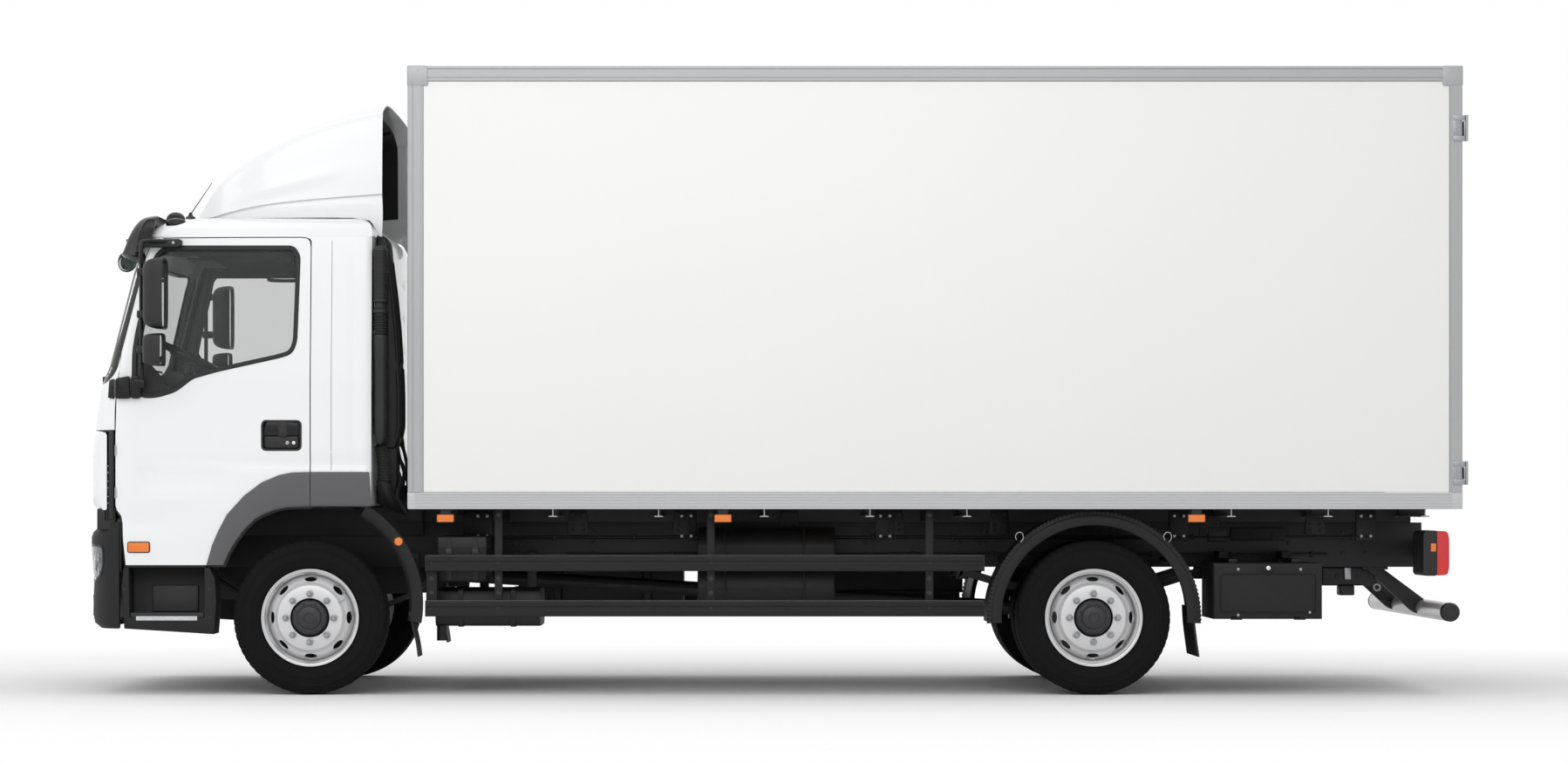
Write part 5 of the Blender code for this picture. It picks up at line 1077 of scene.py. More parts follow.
trimTop = [(0.0, 1.2685), (-0.099, 1.266), (-0.174, 1.251), (-0.273, 1.209), (-0.372, 1.135), (-0.471, 1.026),
    (-0.521, 0.931), (-0.555, 0.852), (-0.587, 0.739)]
handleHole = ringed([(-0.273, 1.392), (-0.05, 1.392), (-0.05, 1.56), (-0.262, 1.56), (-0.273, 1.54)], 0.028,
    5)


# The closed outline moved out by a distance, corners mitred
def offsetLoop(outline, distance):
    count = len(outline)
    area = sum(outline[i][0] * outline[(i + 1) % count][1] - outline[(i + 1) % count][0] * outline[i][1]
        for i in range(count))
    sign, moved = (1 if area > 0 else -1), []
    for i in range(count):
        before, here, after = (Vector(outline[k % count]) for k in (i - 1, i, i + 1))
        first, second = (here - before).normalized(), (after - here).normalized()
        one, two = Vector((first.y, -first.x)) * sign, Vector((second.y, -second.x)) * sign
        moved.append(tuple(here + (one + two) * distance / max(0.35, 1 + one.dot(two))))
    return moved


# The same surface, so much further in
def shifted(place, deeper):
    return lambda a, b, depth: place(a, b, deeper + depth)


# A line, or a closed loop, as that many points at even steps
def evenly(line, count, closed=False):
    points = np.array([*line, line[0]] if closed else line, float)
    length = lengthOf(points)
    spots = np.linspace(0, length[-1], count, endpoint=not closed)
    return [(float(np.interp(s, length, points[:, 0])), float(np.interp(s, length, points[:, 1])))
        for s in spots]


# A strip between two loops with the same number of points, standing on the surface with rounded edges
def bandSkin(name, inner, outer, place, material, thick):
    rows = [(0.0, -0.001), (0.0, thick * 0.7), (0.12, thick), (0.5, thick * 1.15), (0.88, thick),
        (1.0, thick * 0.7), (1.0, -0.001)]
    sections = []
    for a, b in zip(map(Vector, inner), map(Vector, outer)):
        sections.append([place(*(a + (b - a) * t), -rise) for t, rise in rows])
    return loft(name, sections, material, closed=False, wrapRows=True, smooth=50)


# Cab shell pieces

screen = {"halfLow": 1.012, "halfHigh": 0.985}
frontDoor = doorEdge[5:17]
# Nose and pillars in one sheet, its outline along the plan curve from one door seam to the other.
seam = [(alongAt(u - 0.0055, z), z) for u, z in frontDoor if z >= 1.508]
seam = [(alongAt(-1.1115, 1.508), 1.508), *seam]
top = [(a, 2.612) for a in np.linspace(alongAt(-0.88, 2.612), 0.0, 22)]
right = seam + top
outline = right + [(-a, z) for a, z in right[::-1]]
outline = [tuple(map(float, p)) for p in dict.fromkeys(outline)]


def alongOf(y):
    return float(np.interp(y, planPoints[:, 1][:60], planLength[:60]))


lowA, highA = alongOf(1.03), alongOf(1.0)
hole = ringed([(-lowA, 1.8), (lowA, 1.8), (highA, 2.512), (-highA, 2.512)], 0.05, 6)
skin("noseSheet", outline, [hole], cabPoint, paint, 0.045, smooth=35)

# Roof: rings of the plan drawn in over the edge, then a gentle crown.
def planRing(z, front, rear, inset, lift=0.0, share=1.0):
    ring, reach = [], planLength[-1]
    count = 46
    half = 1 - inset / cab["half"]
    length = rear - front
    for k in range(count + 1):
        along = reach * (k / count) ** 1.15
        behind = float(np.interp(along, planLength, planPoints[:, 0])) * length / (cab["rear"] + 1.29)
        out = float(np.interp(along, planLength, planPoints[:, 1])) * half
        ring.append([front + behind, out])
    for k in (0.99, 0.94, 0.85, 0.7, 0.45, 0.2):
        ring.append([rear + 0.002 if k > 0.98 else rear, cab["half"] * half * k])
    ring += [[u, -y] for u, y in ring[:0:-1]]
    middle = (front + rear) / 2
    return [at(middle + (u - middle) * share, y * share * leanAt(z), z + lift) for u, y in ring]


levels = [(2.612, -1.0085, 0.347, 0.008), (2.64, -0.99, 0.346, 0.015), (2.664, -0.962, 0.342, 0.027),
    (2.686, -0.926, 0.332, 0.044), (2.703, -0.885, 0.315, 0.066), (2.715, -0.835, 0.292, 0.095),
    (2.724, -0.78, 0.262, 0.128), (2.729, -0.72, 0.222, 0.162)]
sections = [planRing(z, front, rear, inset) for z, front, rear, inset in levels]
for share in (0.88, 0.7, 0.5, 0.28, 0.08):
    sections.append(planRing(2.729, -0.72, 0.222, 0.162, 0.012 * (1 - share * share), share))
loft("roofSheet", sections, paint, endCap=True)

for word, side in sides:
    # Quarter panel behind the door, with its raised rear corner post and a grey strip down the joint, painted
    # shade for the groove there.
    quarter = [(0.0055, 1.268), (0.347, 1.268), (0.347, 2.612), (-0.875, 2.612), (-0.875, 2.6065)]
    quarter += [(u, z + 0.0055) for u, z in doorEdge[16:20]] + [(-0.004, 2.598), (0.005, 2.585)]
    place = sidePoint(side)

    def pressed(u, z, depth, place=place, side=side):
        x, y, z = place(u, z, depth)
        y -= side * 0.004 * bumpOf(u, 0.245, 0.03)
        curl = slopeOf(u, 0.31, 0.347)
        return (x, y - side * 0.018 * curl * curl, z)
    skin("quarter", quarter, [], pressed, paint, 0.016, smooth=35)
    # A thin grey strip just proud of the skin paints the shade of the joint's groove.
    line = [(0.1205, 1.278), (0.123, 1.278), (0.123, 2.59), (0.1205, 2.59)]
    skin("jointShadeStrip", line, [], shifted(pressed, -0.0006), archPlastic, 0.03, thick=0.001)
    # Door frame behind the seam in dark seal rubber; its dark also paints the shade in the gap, so that the
    # gap reads dark.
    frameLoop = offsetLoop(doorEdge + doorArch, 0.012)
    innerLoop = offsetLoop(doorEdge + doorArch, -0.05)
    skin("jamb", frameLoop, [innerLoop], sidePoint(side, -0.0235, False), seal, 0.06, thick=0.01)
    # Rear edge rounds into the back wall.
    sections = []
    for k in range(7):
        a = math.radians(90 * k / 6)
        du, dy = 0.012 * math.sin(a), 0.012 * (1 - math.cos(a))
        sections.append([at(0.335 + du, side * (cab["half"] - 0.018 - dy) * leanAt(z), z) for z in (1.075,
            1.268, 1.8, 2.2, 2.612)])
    loft("rearEdge", sections, paint, closed=False)

# Back wall with pressed ribs.
def backWall(y, z, depth):
    rib = sum(bumpOf(z, middle, 0.035) for middle in (1.45, 1.65, 1.85, 2.05, 2.25, 2.45))
    inset = 0.012 * min(1.0, rib) * (1 - slopeOf(abs(y), 0.9, 0.97))
    return (atX(0.347) - inset - depth, y * leanAt(z), z)


skin("backWall", [(-1.118, 1.076), (1.118, 1.076), (1.118, 2.612), (-1.118, 2.612)], [], backWall, paint,
    0.028)
# Floor pan with its ribs, firewall, front posts and the fixed parts of the door hinges.
slab("floorPan", at(-1.145, -1.095, 1.076), at(0.34, 1.095, 1.1), chassisPaint, 0.006)
for x in np.arange(-1.05, 0.3, 0.19):
    slab("floorRib", at(x, -1.05, 1.066), at(x + 0.05, 1.05, 1.078), chassisPaint, 0.006)
slab("firewall", at(-1.145, -1.09, 1.076), at(-1.115, 1.09, 1.56), chassisPaint, 0.004)
for word, side in sides:
    slab("frontPost", at(-1.145, side * 1.095, 1.0), at(-1.118, side * 1.148, 1.506), darkPlastic, 0.004)
    for z in (1.12, 1.36):
        rod("hinge", 0.005, z, z + 0.03, at(-1.106, side * 1.149, 0), zinc, "Z", 1, 12)

# Lower nose sheet behind the front panel, dark, with the radiator's opening.
def underNose(y, z, depth):
    behind = float(np.interp(abs(y), planPoints[:60, 1], planPoints[:60, 0]))
    return at(-1.245 + behind * 0.9 + depth, y, z)


skin("noseFrame", [(-1.09, 1.0), (1.09, 1.0), (1.09, 1.506), (-1.09, 1.506)],
    [[(-0.72, 1.04), (0.72, 1.04), (0.72, 1.44), (-0.72, 1.44)]], underNose, darkPlastic, 0.06, thick=0.006)
slab("radiator", at(-1.205, -0.74, 1.03), at(-1.15, 0.74, 1.45), zinc, 0.004)
slab("radiatorTank", at(-1.21, -0.74, 1.44), at(-1.15, 0.74, 1.47), darkPlastic, 0.006)
for y in (-0.3, 0.3):
    slab("panelLug", at(-1.276, y, 1.4985), at(-1.258, y + math.copysign(0.04, y), 1.515), paint)

assemble("cabShell", "white_paint", "cab_shell")
stage("cab shell")


# Windscreen in its black surround, which wraps round onto the pillars

def noseFlat(lift):
    return lambda a, z, d: cabPoint(a, z, d - lift)


glassLoop = ringed([(-alongOf(screen["halfLow"]) + 0.02, 1.868), (alongOf(screen["halfLow"]) - 0.02, 1.868),
    (alongOf(screen["halfHigh"]) - 0.02, 2.498), (-alongOf(screen["halfHigh"]) + 0.02, 2.498)], 0.05, 6)
skin("pane", glassLoop, [], noseFlat(-0.004), screenGlass, thick=0.005)


reach = float(np.interp(0.112, planPoints[:, 0], planLength))
wrap = [(-reach, 1.775), (reach, 1.775), (reach, 2.53), (-reach, 2.53)]
bandSkin("surround", evenly(glassLoop, 240, True), evenly(ringed(wrap, 0.09, 6), 240, True), noseFlat(0.0),
    glossBlack, 0.0025)
# Wipers: two arms from the cowl, parked to the truck's right.
for start, end in ((-0.78, -0.05), (0.05, 0.8)):
    root = cabPoint(alongOf(abs(start)) * (1 if start > 0 else -1), 1.805, -0.02)
    tip = cabPoint(alongOf(abs(end)) * (1 if end > 0 else -1), 1.905, -0.014)
    middle = [(root[k] + tip[k]) / 2 for k in range(3)]
    middle[0] -= 0.01
    tube("arm", smoothPath([root, middle, tip]), 0.0065, glossBlack, 8, oval=0.6)
    turned("pivot", [(0.0, -0.012), (0.02, -0.012), (0.018, 0.01), (0.0, 0.013)],
        (root[0] + 0.006, root[1], root[2]), darkPlastic, "X", -1, 20)
    points = []
    for k in range(13):
        y = end - (0.62 * (k / 12) - 0.31 if end > 0 else 0.62 * (k / 12) - 0.31)
        y = max(-0.92, min(0.92, y))
        points.append(cabPoint(alongOf(abs(y)) * (1 if y > 0 else -1), 1.905 + 0.012 * (k / 12), -0.011))
    tube("blade", points, 0.006, rubber, 8, oval=1.2)
assemble("windscreenSet", "glass", "windscreen")
stage("windscreen")

# Doors: pressed skin, rubber window frame, glass, recessed handle, lamp, arch trim and the lined inside

# The arch trim's section from its upper line to its lower one; foot is how far it turns in at the end
def trimSections(place, upper, lower, foot):
    rows = [(0.0, 0.0), (0.0, 0.007), (0.03, 0.0112), (0.09, 0.0135), (0.5, 0.0138), (0.9, 0.0125),
        (0.975, 0.009), (1.0, 0.002), (1.0, foot)]
    return [[place(a[0] + (b[0] - a[0]) * t, a[1] + (b[1] - a[1]) * t, -rise) for t, rise in rows]
        for a, b in zip(upper, lower)]


def doorSet(word, side):
    body = f"door_{word}"
    place = sidePoint(side)
    flat = sidePoint(side, 0.0, False)
    outline = doorEdge + doorArch
    skin("doorSkin", outline, [windowEdge, handleHole], place, paint, 0.022, smooth=35, thick=0.0025)
    # The folded edge behind the skin.
    hem = [[flat(u, z, 0.001 + creaseAt(u, z)), flat(u, z, 0.016), flat(u, z, 0.045)]
        for u, z in offsetLoop(outline, -0.0005)]
    loft("hem", hem, paint, closed=False, wrapRows=True, smooth=35)
    # Inner card: dark below the window, with armrest, pocket and pull.
    cardLoop = offsetLoop(outline, -0.016)
    windowInner = offsetLoop(windowEdge, 0.012)
    skin("card", cardLoop, [windowInner], lambda u, z, d: flat(u, z, 0.046 - d), lining, 0.06, thick=0.004)
    y = cab["half"] - 0.046
    prism("armrest", ringed([(atX(-0.8), 1.62), (atX(-0.1), 1.66), (atX(-0.08), 1.7), (atX(-0.45), 1.702),
        (atX(-0.82), 1.665)], 0.03), "Y", side * (y + 0.002), side * (y - 0.048), darkLining, 0.01, 3)
    prism("pocket", ringed([(atX(-0.86), 1.13), (atX(-0.3), 1.13), (atX(-0.18), 1.2), (atX(-0.18), 1.33),
        (atX(-0.86), 1.31)], 0.03), "Y", side * (y + 0.002), side * (y - 0.05), darkLining, 0.012, 3)
    # Rubber window frame outside.
    outer = offsetLoop(windowEdge, 0.0135)
    bandSkin("frameRubber", offsetLoop(windowEdge, -0.012), outer, place, seal, 0.0035)
    # The black quarter at the front corner under the mirror.
    quarter = ringed([(-0.985, 1.7), (-0.868, 1.703), (-0.8, 1.722), (-0.835, 1.8), (-0.905, 1.88),
        (-0.955, 2.0), (-0.985, 2.06), (-1.0, 1.95)], 0.02, 3)
    skin("cornerPlate", quarter, [], shifted(flat, 0.012), darkPlastic, thick=0.004)
    # Handle: a dark bowl, a flap across it and a round lock.
    bowl = []
    for share, deep in ((1.0, -0.0015), (1.0, 0.004), (0.94, 0.018), (0.8, 0.0235), (0.4, 0.0245)):
        middle = (-0.1615, 1.476)
        bowl.append([place(middle[0] + (u - middle[0]) * share, middle[1] + (z - middle[1]) * share, deep)
            for u, z in offsetLoop(handleHole, 0.0005)])
    loft("bowl", bowl, darkPlastic, endCap=True, smooth=50)
    bandSkin("bowlRim", offsetLoop(handleHole, -0.007), offsetLoop(handleHole, 0.004), place, darkPlastic,
        0.003)
    flap = ringed([(-0.262, 1.478), (-0.06, 1.478), (-0.06, 1.552), (-0.25, 1.552)], 0.02, 5)
    skin("flapTop", flap, [], lambda u, z, d: place(u, z, -0.002 + 0.01 * slopeOf(u, -0.15, -0.06) + d),
        glossBlack, 0.03, thick=0.007, bevel=(0.0015, 2))
    skin("grip", ringed([(-0.178, 1.47), (-0.13, 1.47), (-0.13, 1.556), (-0.178, 1.556)], 0.008, 3), [],
        shifted(place, -0.004), darkPlastic, 0.03, thick=0.01, bevel=(0.003, 2))
    skin("ledge", ringed([(-0.258, 1.405), (-0.066, 1.405), (-0.066, 1.47), (-0.258, 1.47)], 0.016), [],
        shifted(place, 0.006), darkPlastic, 0.03, thick=0.01, bevel=(0.003, 2))
    for u, size, finish in ((-0.128, 0.0105, zinc), (-0.092, 0.0095, chrome)):
        spot = place(u, 1.434, 0.006)
        turned("lock", [(0.0, 0.0), (size, 0.0), (size, 0.003), (size * 0.75, 0.0042), (0.0, 0.0035)], spot,
            finish, "Y", side, 20)
    # Amber lamp low on the door's front, in a raised rim.
    lamp = ringed([(-1.037, 0.808), (-0.908, 0.808), (-0.908, 0.872), (-1.037, 0.872)], 0.014)
    skin("lampRim", lamp, [], shifted(place, -0.004), darkPlastic, 0.03, thick=0.008, bevel=(0.003, 2))
    skin("lampLens", offsetLoop(lamp, -0.006), [], shifted(place, -0.009), amberLens, 0.03, thick=0.008,
        bevel=(0.004, 3))
    # Arch trim: its outer edge stands proud with a rolled lip, and it turns in along the arch.
    sections = trimSections(flat, evenly([(-0.0005, 1.2685)] + trimTop[1:], 60),
        evenly([(-0.0005, 1.071)] + doorArch, 60), -0.03)
    loft("archTrim", sections, archPlastic, closed=False, smooth=45)
    # Hinge barrels.
    for z in (1.1503, 1.3903):
        rod("hinge", 0.005, z, z + 0.03, at(-1.106, side * 1.149, 0), zinc, "Z", 1, 12)
    assemble(f"door{word.title()}", "white_paint", f"door_{word}", body=body)
    skin("pane", offsetLoop(windowEdge, 0.004), [], shifted(flat, 0.02), windowGlass, 0.08, thick=0.005)
    assemble(f"doorGlass{word.title()}", "glass", f"door_glass_{word}", body=body)


for word, side in sides:
    doorSet(word, side)

# The fixed arch trim behind each door, from the seam to the cab's rear, and its return under the sill.
for word, side in sides:
    flat = sidePoint(side, 0.0, False)
    sections = trimSections(flat, evenly([(0.0055, 1.2685), (0.3, 1.2685), (0.338, 1.262)], 24),
        evenly([(0.0055, 1.071), (0.3, 1.071), (0.352, 1.071)], 24), -0.05)
    end = [(x, y - side * 0.02, z) for x, y, z in sections[-1]]
    loft("sillTrim", [*sections, end], archPlastic, closed=False, smooth=45)
assemble("sillTrims", "dark_plastic")
stage("doors")


# Mirrors: pole with clamps, two housings with glass, and the bracket at the door's corner

def mirrorSet(word, side):
    pole = [at(-0.76, 1.128, 2.578), at(-0.86, 1.17, 2.58), at(-0.925, 1.212, 2.575), at(-0.945, 1.226, 2.54),
        at(-0.945, 1.226, 2.3), at(-0.945, 1.226, 2.0), at(-0.945, 1.226, 1.8), at(-0.95, 1.222, 1.765)]
    tube("pole", smoothPath([(x, side * y, z) for x, y, z in pole]), 0.0125, glossBlack, 16)
    # Top mount: a sloping foot on the door frame.
    top = ringed([(atX(-0.985), 2.56), (atX(-0.955), 2.592), (atX(-0.74), 2.594), (atX(-0.729), 2.585),
        (atX(-0.735), 2.548), (atX(-0.96), 2.546)], 0.014)
    prism("topFoot", top, "Y", side * 1.098, side * 1.16, darkPlastic, 0.008, 3)
    turned("topBolt", [(0.0, 0.0), (0.009, 0.0), (0.009, 0.004), (0.0, 0.005)],
        at(-0.775, side * 1.16, 2.572), zinc, "Y", side, 6)
    # Corner bracket: glossy cover in two parts, then the arm out to the pole.
    shapes = (([(-1.1015, 1.8), (-1.02, 1.815), (-1.016, 1.684), (-1.103, 1.684)], 1.144, 1.182),
        ([(-1.012, 1.815), (-0.965, 1.815), (-0.956, 1.79), (-0.956, 1.7), (-0.965, 1.684), (-1.012, 1.684)],
        1.144, 1.192))
    for outline, near, far in shapes:
        outline = ringed([(atX(u), z) for u, z in outline], 0.016)
        prism("bracket", outline, "Y", side * near, side * far, glossBlack, 0.008, 3)
    prism("bracketArm", ringed([(atX(-0.985), 1.745), (atX(-0.925), 1.745), (atX(-0.925), 1.79),
        (atX(-0.985), 1.79)], 0.012, 3), "Y", side * 1.18, side * 1.24, glossBlack, 0.008, 3)
    # Housings: crowned shells that face forward, glass let in behind.
    for low, high, near, far, front, back in ((2.072, 2.474, 1.22, 1.44, -0.91, -0.794),
            (1.864, 2.048, 1.228, 1.436, -0.912, -0.806)):
        height, wide, deep = high - low, far - near, back - front
        sections = []
        # Rings grow from the front by share^2.6 + (1 - t)^2.6 = 1; each is a rounded rectangle.
        for t in (0.0, 0.1, 0.22, 0.38, 0.58, 0.8, 0.93, 0.97, 1.0):
            share = (1 - (1 - t) ** 2.6) ** (1 / 2.6) if t < 0.93 else 1.0
            share = max(share, 0.3) if t == 0 else share
            share = 1.0 if t in (0.93, 0.97) else (0.985 if t == 1.0 else share)
            ring = []
            for k in range(40):
                angle = math.tau * k / 40
                c, s = math.cos(angle), math.sin(angle)
                a = math.copysign(abs(c) ** 0.45, c)
                b = math.copysign(abs(s) ** 0.28, s)
                reach = 0.35 + 0.65 * share if t < 0.93 else share
                ring.append(at(front + deep * t, side * ((near + far) / 2 + a * wide / 2 * reach),
                    (low + high) / 2 + b * height / 2 * (0.55 + 0.45 * reach)))
            sections.append(ring)
        midY, midZ = side * (near + far) / 2, (low + high) / 2
        inset = [(x - 0.004, midY + (y - midY) * 0.9, midZ + (z - midZ) * 0.94) for x, y, z in sections[-1]]
        deeper = [(x - 0.012, y, z) for x, y, z in inset]
        loft("housing", [*sections, inset, deeper], darkPlastic, smooth=45)
        glass = [(x + 0.0006, midY + (y - midY) * 0.995, midZ + (z - midZ) * 0.997) for x, y, z in deeper]
        loft("glass", [glass, [(x + 0.003, y, z) for x, y, z in glass]], mirrorSkin, smooth=30)
    # Clamps round the pole that carry the housings.
    for z in (1.96, 2.16, 2.4):
        slab("clamp", at(-0.966, side * 1.205, z - 0.022), at(-0.905, side * 1.262, z + 0.022), darkPlastic,
            0.007, 3)
        studs("clampBolt", [at(-0.966, side * 1.226, z)], (-1, 0, 0), 0.007, 0.005, zinc)
    assemble(f"mirror{word.title()}", "dark_plastic", f"mirror_{word}", body=f"door_{word}")


for word, side in sides:
    mirrorSet(word, side)

# The bracket's fixed end cap on the pillar ahead of the door seam, thin at the seam so that the door can
# swing past.
for word, side in sides:
    outline = ringed([(-1.152, 1.69), (-1.146, 1.792), (-1.114, 1.8), (-1.1125, 1.684)], 0.008, 3)
    skin("bracketCap", outline, [], lambda u, z, d, s=side: sidePoint(s, 0.004 + 0.012 * bumpOf(u, -1.138,
        0.028), False)(u, z, d), glossBlack, 0.012, thick=0.008)
assemble("bracketCaps", "dark_plastic")
stage("mirrors")

# Front bumper with its lamps, and the panel above it that swings up

# A face that wraps round the nose: a plan curve of (behind the nose, out), set back by level as (height, set
# back). Its ends stay put while its middle is set back, and a depth moves a point in, square to the face.
def noseFace(front, levels, plan, turnFrom, turnTo, dish=None):
    points = np.array(smoothPath(plan, 8))
    length = lengthOf(points)

    def place(along, z, depth=0.0):
        reach = min(abs(along), length[-1])
        back = float(np.interp(z, *zip(*levels)))
        behind, out = (float(np.interp(reach, length, points[:, k])) for k in (0, 1))
        squeeze = (points[-1, 0] - back) / points[-1, 0]
        turn = slopeOf(out, turnFrom, turnTo)
        sunk = dish(along, z) if dish else 0.0
        return (atX(front + back + behind * squeeze) + sunk + depth * (1 - turn),
            math.copysign(out - depth * turn, along), z)
    return place, points, length


bumperLevels = [(0.377, 0.064), (0.386, 0.04), (0.402, 0.024), (0.44, 0.015), (0.481, 0.012), (0.56, 0.014),
    (0.655, 0.018), (0.74, 0.008), (0.83, 0.001), (0.9, 0.001), (0.925, 0.012), (0.945, 0.04), (0.962, 0.058),
    (0.982, 0.07)]
bumperCurve = [(0.0, 0.0), (0.004, 0.3), (0.012, 0.6), (0.024, 0.85), (0.046, 0.965), (0.084, 1.05),
    (0.14, 1.11), (0.185, 1.136), (0.231, 1.146)]
bumperPoint, bumperPlan, bumperLength = noseFace(-1.316, bumperLevels, bumperCurve, 0.98, 1.13)


def bumperAlong(y):
    return float(np.interp(y, bumperPlan[:, 1], bumperLength))


end = float(bumperLength[-1])
lampLoops = []
for side in (-1, 1):
    loop = [(0.76, 0.668), (0.9, 0.652), (1.0, 0.648), (1.085, 0.69), (1.1, 0.76), (1.098, 0.845),
        (0.98, 0.848), (0.78, 0.842), (0.735, 0.8), (0.735, 0.7)]
    lampLoops.append(ringed([(side * bumperAlong(y), z) for y, z in loop], 0.03))
fogLoops = [ringed([(side * bumperAlong(y), z) for y, z in ((0.72, 0.455), (0.95, 0.455), (0.97, 0.5),
    (0.95, 0.555), (0.74, 0.555), (0.7, 0.5))], 0.025) for side in (-1, 1)]
gridLoop = ringed([(-0.6, 0.66), (0.6, 0.66), (0.62, 0.8), (-0.62, 0.8)], 0.03)
lowLoop = ringed([(-0.52, 0.425), (0.52, 0.425), (0.54, 0.545), (-0.54, 0.545)], 0.03)
outline = [(-end, 0.377), (end, 0.377), (end, 0.982), (-end, 0.982)]
skin("face", outline, lampLoops + fogLoops + [gridLoop, lowLoop], bumperPoint, plastic, 0.028, thick=0.006)
# A lip rolls in along the lower edge, and a ledge runs back under the front panel.
lip = []
for depth in (0.0, 0.01, 0.05):
    lip.append([bumperPoint(a, 0.377, depth) for a in np.linspace(-end, end, 90)])
lip[1] = [(x, y, 0.3765) for x, y, z in lip[1]]
loft("lowerLip", lip, plastic, closed=False)
ledge = [[bumperPoint(a, 0.982, t) for a in np.linspace(-end, end, 90)] for t in (0.0, 0.045)]
loft("ledge", ledge, plastic, closed=False)
for side in (-1, 1):
    # The rear edge folds in towards the step.
    fold = []
    for t in (0.0, 0.004, 0.045):
        fold.append([(atX(-1.085) - (0.0 if t else 0.003), side * (1.146 - t), z) for z in (0.38, 0.402,
            0.481, 0.655, 0.83, 0.915, 0.945)])
    loft("fold", fold, plastic, closed=False)
    # Joint between the bumper's corners and its middle.
    points = [bumperPoint(side * bumperAlong(0.655), z, -0.0004) for z in np.linspace(0.38, 0.98, 40)]
    tube("joint", points, 0.0022, seal, 6)
# Grille bars in the two middle openings, over a dark backing.
for loop, rows in ((gridLoop, (0.678, 0.706, 0.734, 0.762, 0.788)), (lowLoop, (0.447, 0.475, 0.503, 0.531))):
    reach = max(p[0] for p in loop)
    for z in rows:
        points = [bumperPoint(a, z, 0.02) for a in np.linspace(-reach, reach, 40)]
        tube("bar", points, 0.0055, darkPlastic, 8, oval=1.6)
    for y in np.linspace(-reach * 0.85, reach * 0.85, 9):
        low, high = rows[0] - 0.015, rows[-1] + 0.015
        x = bumperPoint(y, (low + high) / 2, 0.026)[0]
        slab("upright", (x, y - 0.004, low), (x + 0.012, y + 0.004, high), darkPlastic, 0.002)
slab("backing", at(-1.262, -0.66, 0.4), at(-1.255, 0.66, 0.975), darkPlastic)
for loop in lampLoops + fogLoops:
    bandSkin("lampRim", offsetLoop(loop, -0.004), offsetLoop(loop, 0.01), bumperPoint, glossBlack, 0.003)
# Fog lamps: a reflector bowl under a round lens in a dark pocket.
for side in (-1, 1):
    spot = bumperPoint(side * bumperAlong(0.86), 0.505, 0.03)
    turned("fogBowl", [(0.0, -0.03), (0.02, -0.028), (0.034, -0.014), (0.04, 0.004), (0.044, 0.006),
        (0.044, -0.03)], spot, chrome, "X", -1, 40)
    turned("fogLens", [(0.0, 0.012), (0.025, 0.01), (0.038, 0.006), (0.0405, 0.001)], spot, clearLens, "X",
        -1, 40)
    slab("fogPocket", (spot[0] + 0.024, spot[1] - 0.125, 0.44), (spot[0] + 0.03, spot[1] + 0.115, 0.57),
        darkPlastic)
    tube("towEye", [bumperPoint(side * 0.64, 0.6, 0.002), bumperPoint(side * 0.64, 0.6, -0.002)], 0.026,
        darkPlastic, 24)
# A tread on the bumper's top and a blank number plate.
slab("treadPad", at(-1.255, -0.42, 0.9805), at(-1.215, 0.42, 0.984), darkPlastic, 0.001)
x = bumperPoint(0.0, 0.605, 0.0)[0]
slab("plateBase", (x - 0.007, -0.275, 0.548), (x + 0.012, 0.275, 0.668), darkPlastic, 0.004)
slab("blankPlate", (x - 0.01, -0.26, 0.553), (x - 0.006, 0.26, 0.663), whitePlate)
assemble("frontBumper", "dark_plastic", "front_bumper")

for word, side in sides:
    loop = lampLoops[0 if side < 0 else 1]
    skin("lens", offsetLoop(loop, -0.0035), [], shifted(bumperPoint, 0.0005), clearLens, 0.03, thick=0.004)
    # Housing: the lens's outline drawn in behind it and closed at the back.
    sections = []
    for drawnIn, deep in ((0.004, 0.004), (0.01, 0.03), (0.016, 0.06)):
        sections.append([bumperPoint(a, z, deep) for a, z in offsetLoop(loop, -drawnIn)])
    loft("housing", sections, darkPlastic, endCap=True)
    for y, z, size in ((0.845, 0.75, 0.062), (0.985, 0.752, 0.055)):
        spot = bumperPoint(side * bumperAlong(y), z, 0.006)
        turned("bowl", [(0.0, -0.04), (size * 0.22, -0.039), (size * 0.55, -0.032), (size * 0.82, -0.018),
            (size, 0.0), (size * 1.06, 0.001), (size * 1.08, -0.004)], (spot[0] + 0.008, spot[1], spot[2]),
            chrome, "X", -1, 40)
        turned("bulb", [(0.0, -0.004), (size * 0.16, -0.006), (size * 0.2, -0.016), (size * 0.2, -0.04)],
            (spot[0] + 0.008, spot[1], spot[2]), zinc, "X", -1, 20)
    # Bowls near the corner that show from the side.
    for y, z, size in ((1.062, 0.778, 0.03), (1.06, 0.705, 0.026)):
        spot = bumperPoint(side * bumperAlong(y), z, 0.01)
        turned("sideBowl", [(0.0, -0.018), (size * 0.6, -0.014), (size, 0.0), (size * 1.1, 0.0)],
            (spot[0] + 0.004, spot[1], spot[2]), chrome, "X", -1, 28)
        turned("sideBowlOut", [(0.0, -0.018), (size * 0.6, -0.014), (size * 0.95, 0.0)],
            (spot[0] + 0.01, spot[1] - side * 0.008, spot[2]), chrome, "Y", side, 28)
    assemble(f"headlamp{word.title()}", "headlamp", f"headlamp_{word}")

# Front panel: wraps round the nose, three louvres, and a dark slot down each rear edge.
panelLevels = [(0.992, 0.068), (1.05, 0.062), (1.052, 0.05), (1.056, 0.036), (1.064, 0.022), (1.078, 0.01),
    (1.1, 0.003), (1.25, 0.0005), (1.38, 0.001), (1.42, 0.004), (1.45, 0.012), (1.472, 0.022), (1.494, 0.04)]
panelCurve = [(0.0, 0.0), (0.004, 0.3), (0.011, 0.6), (0.022, 0.85), (0.04, 0.975), (0.068, 1.06),
    (0.102, 1.118), (0.128, 1.136), (0.15, 1.143)]


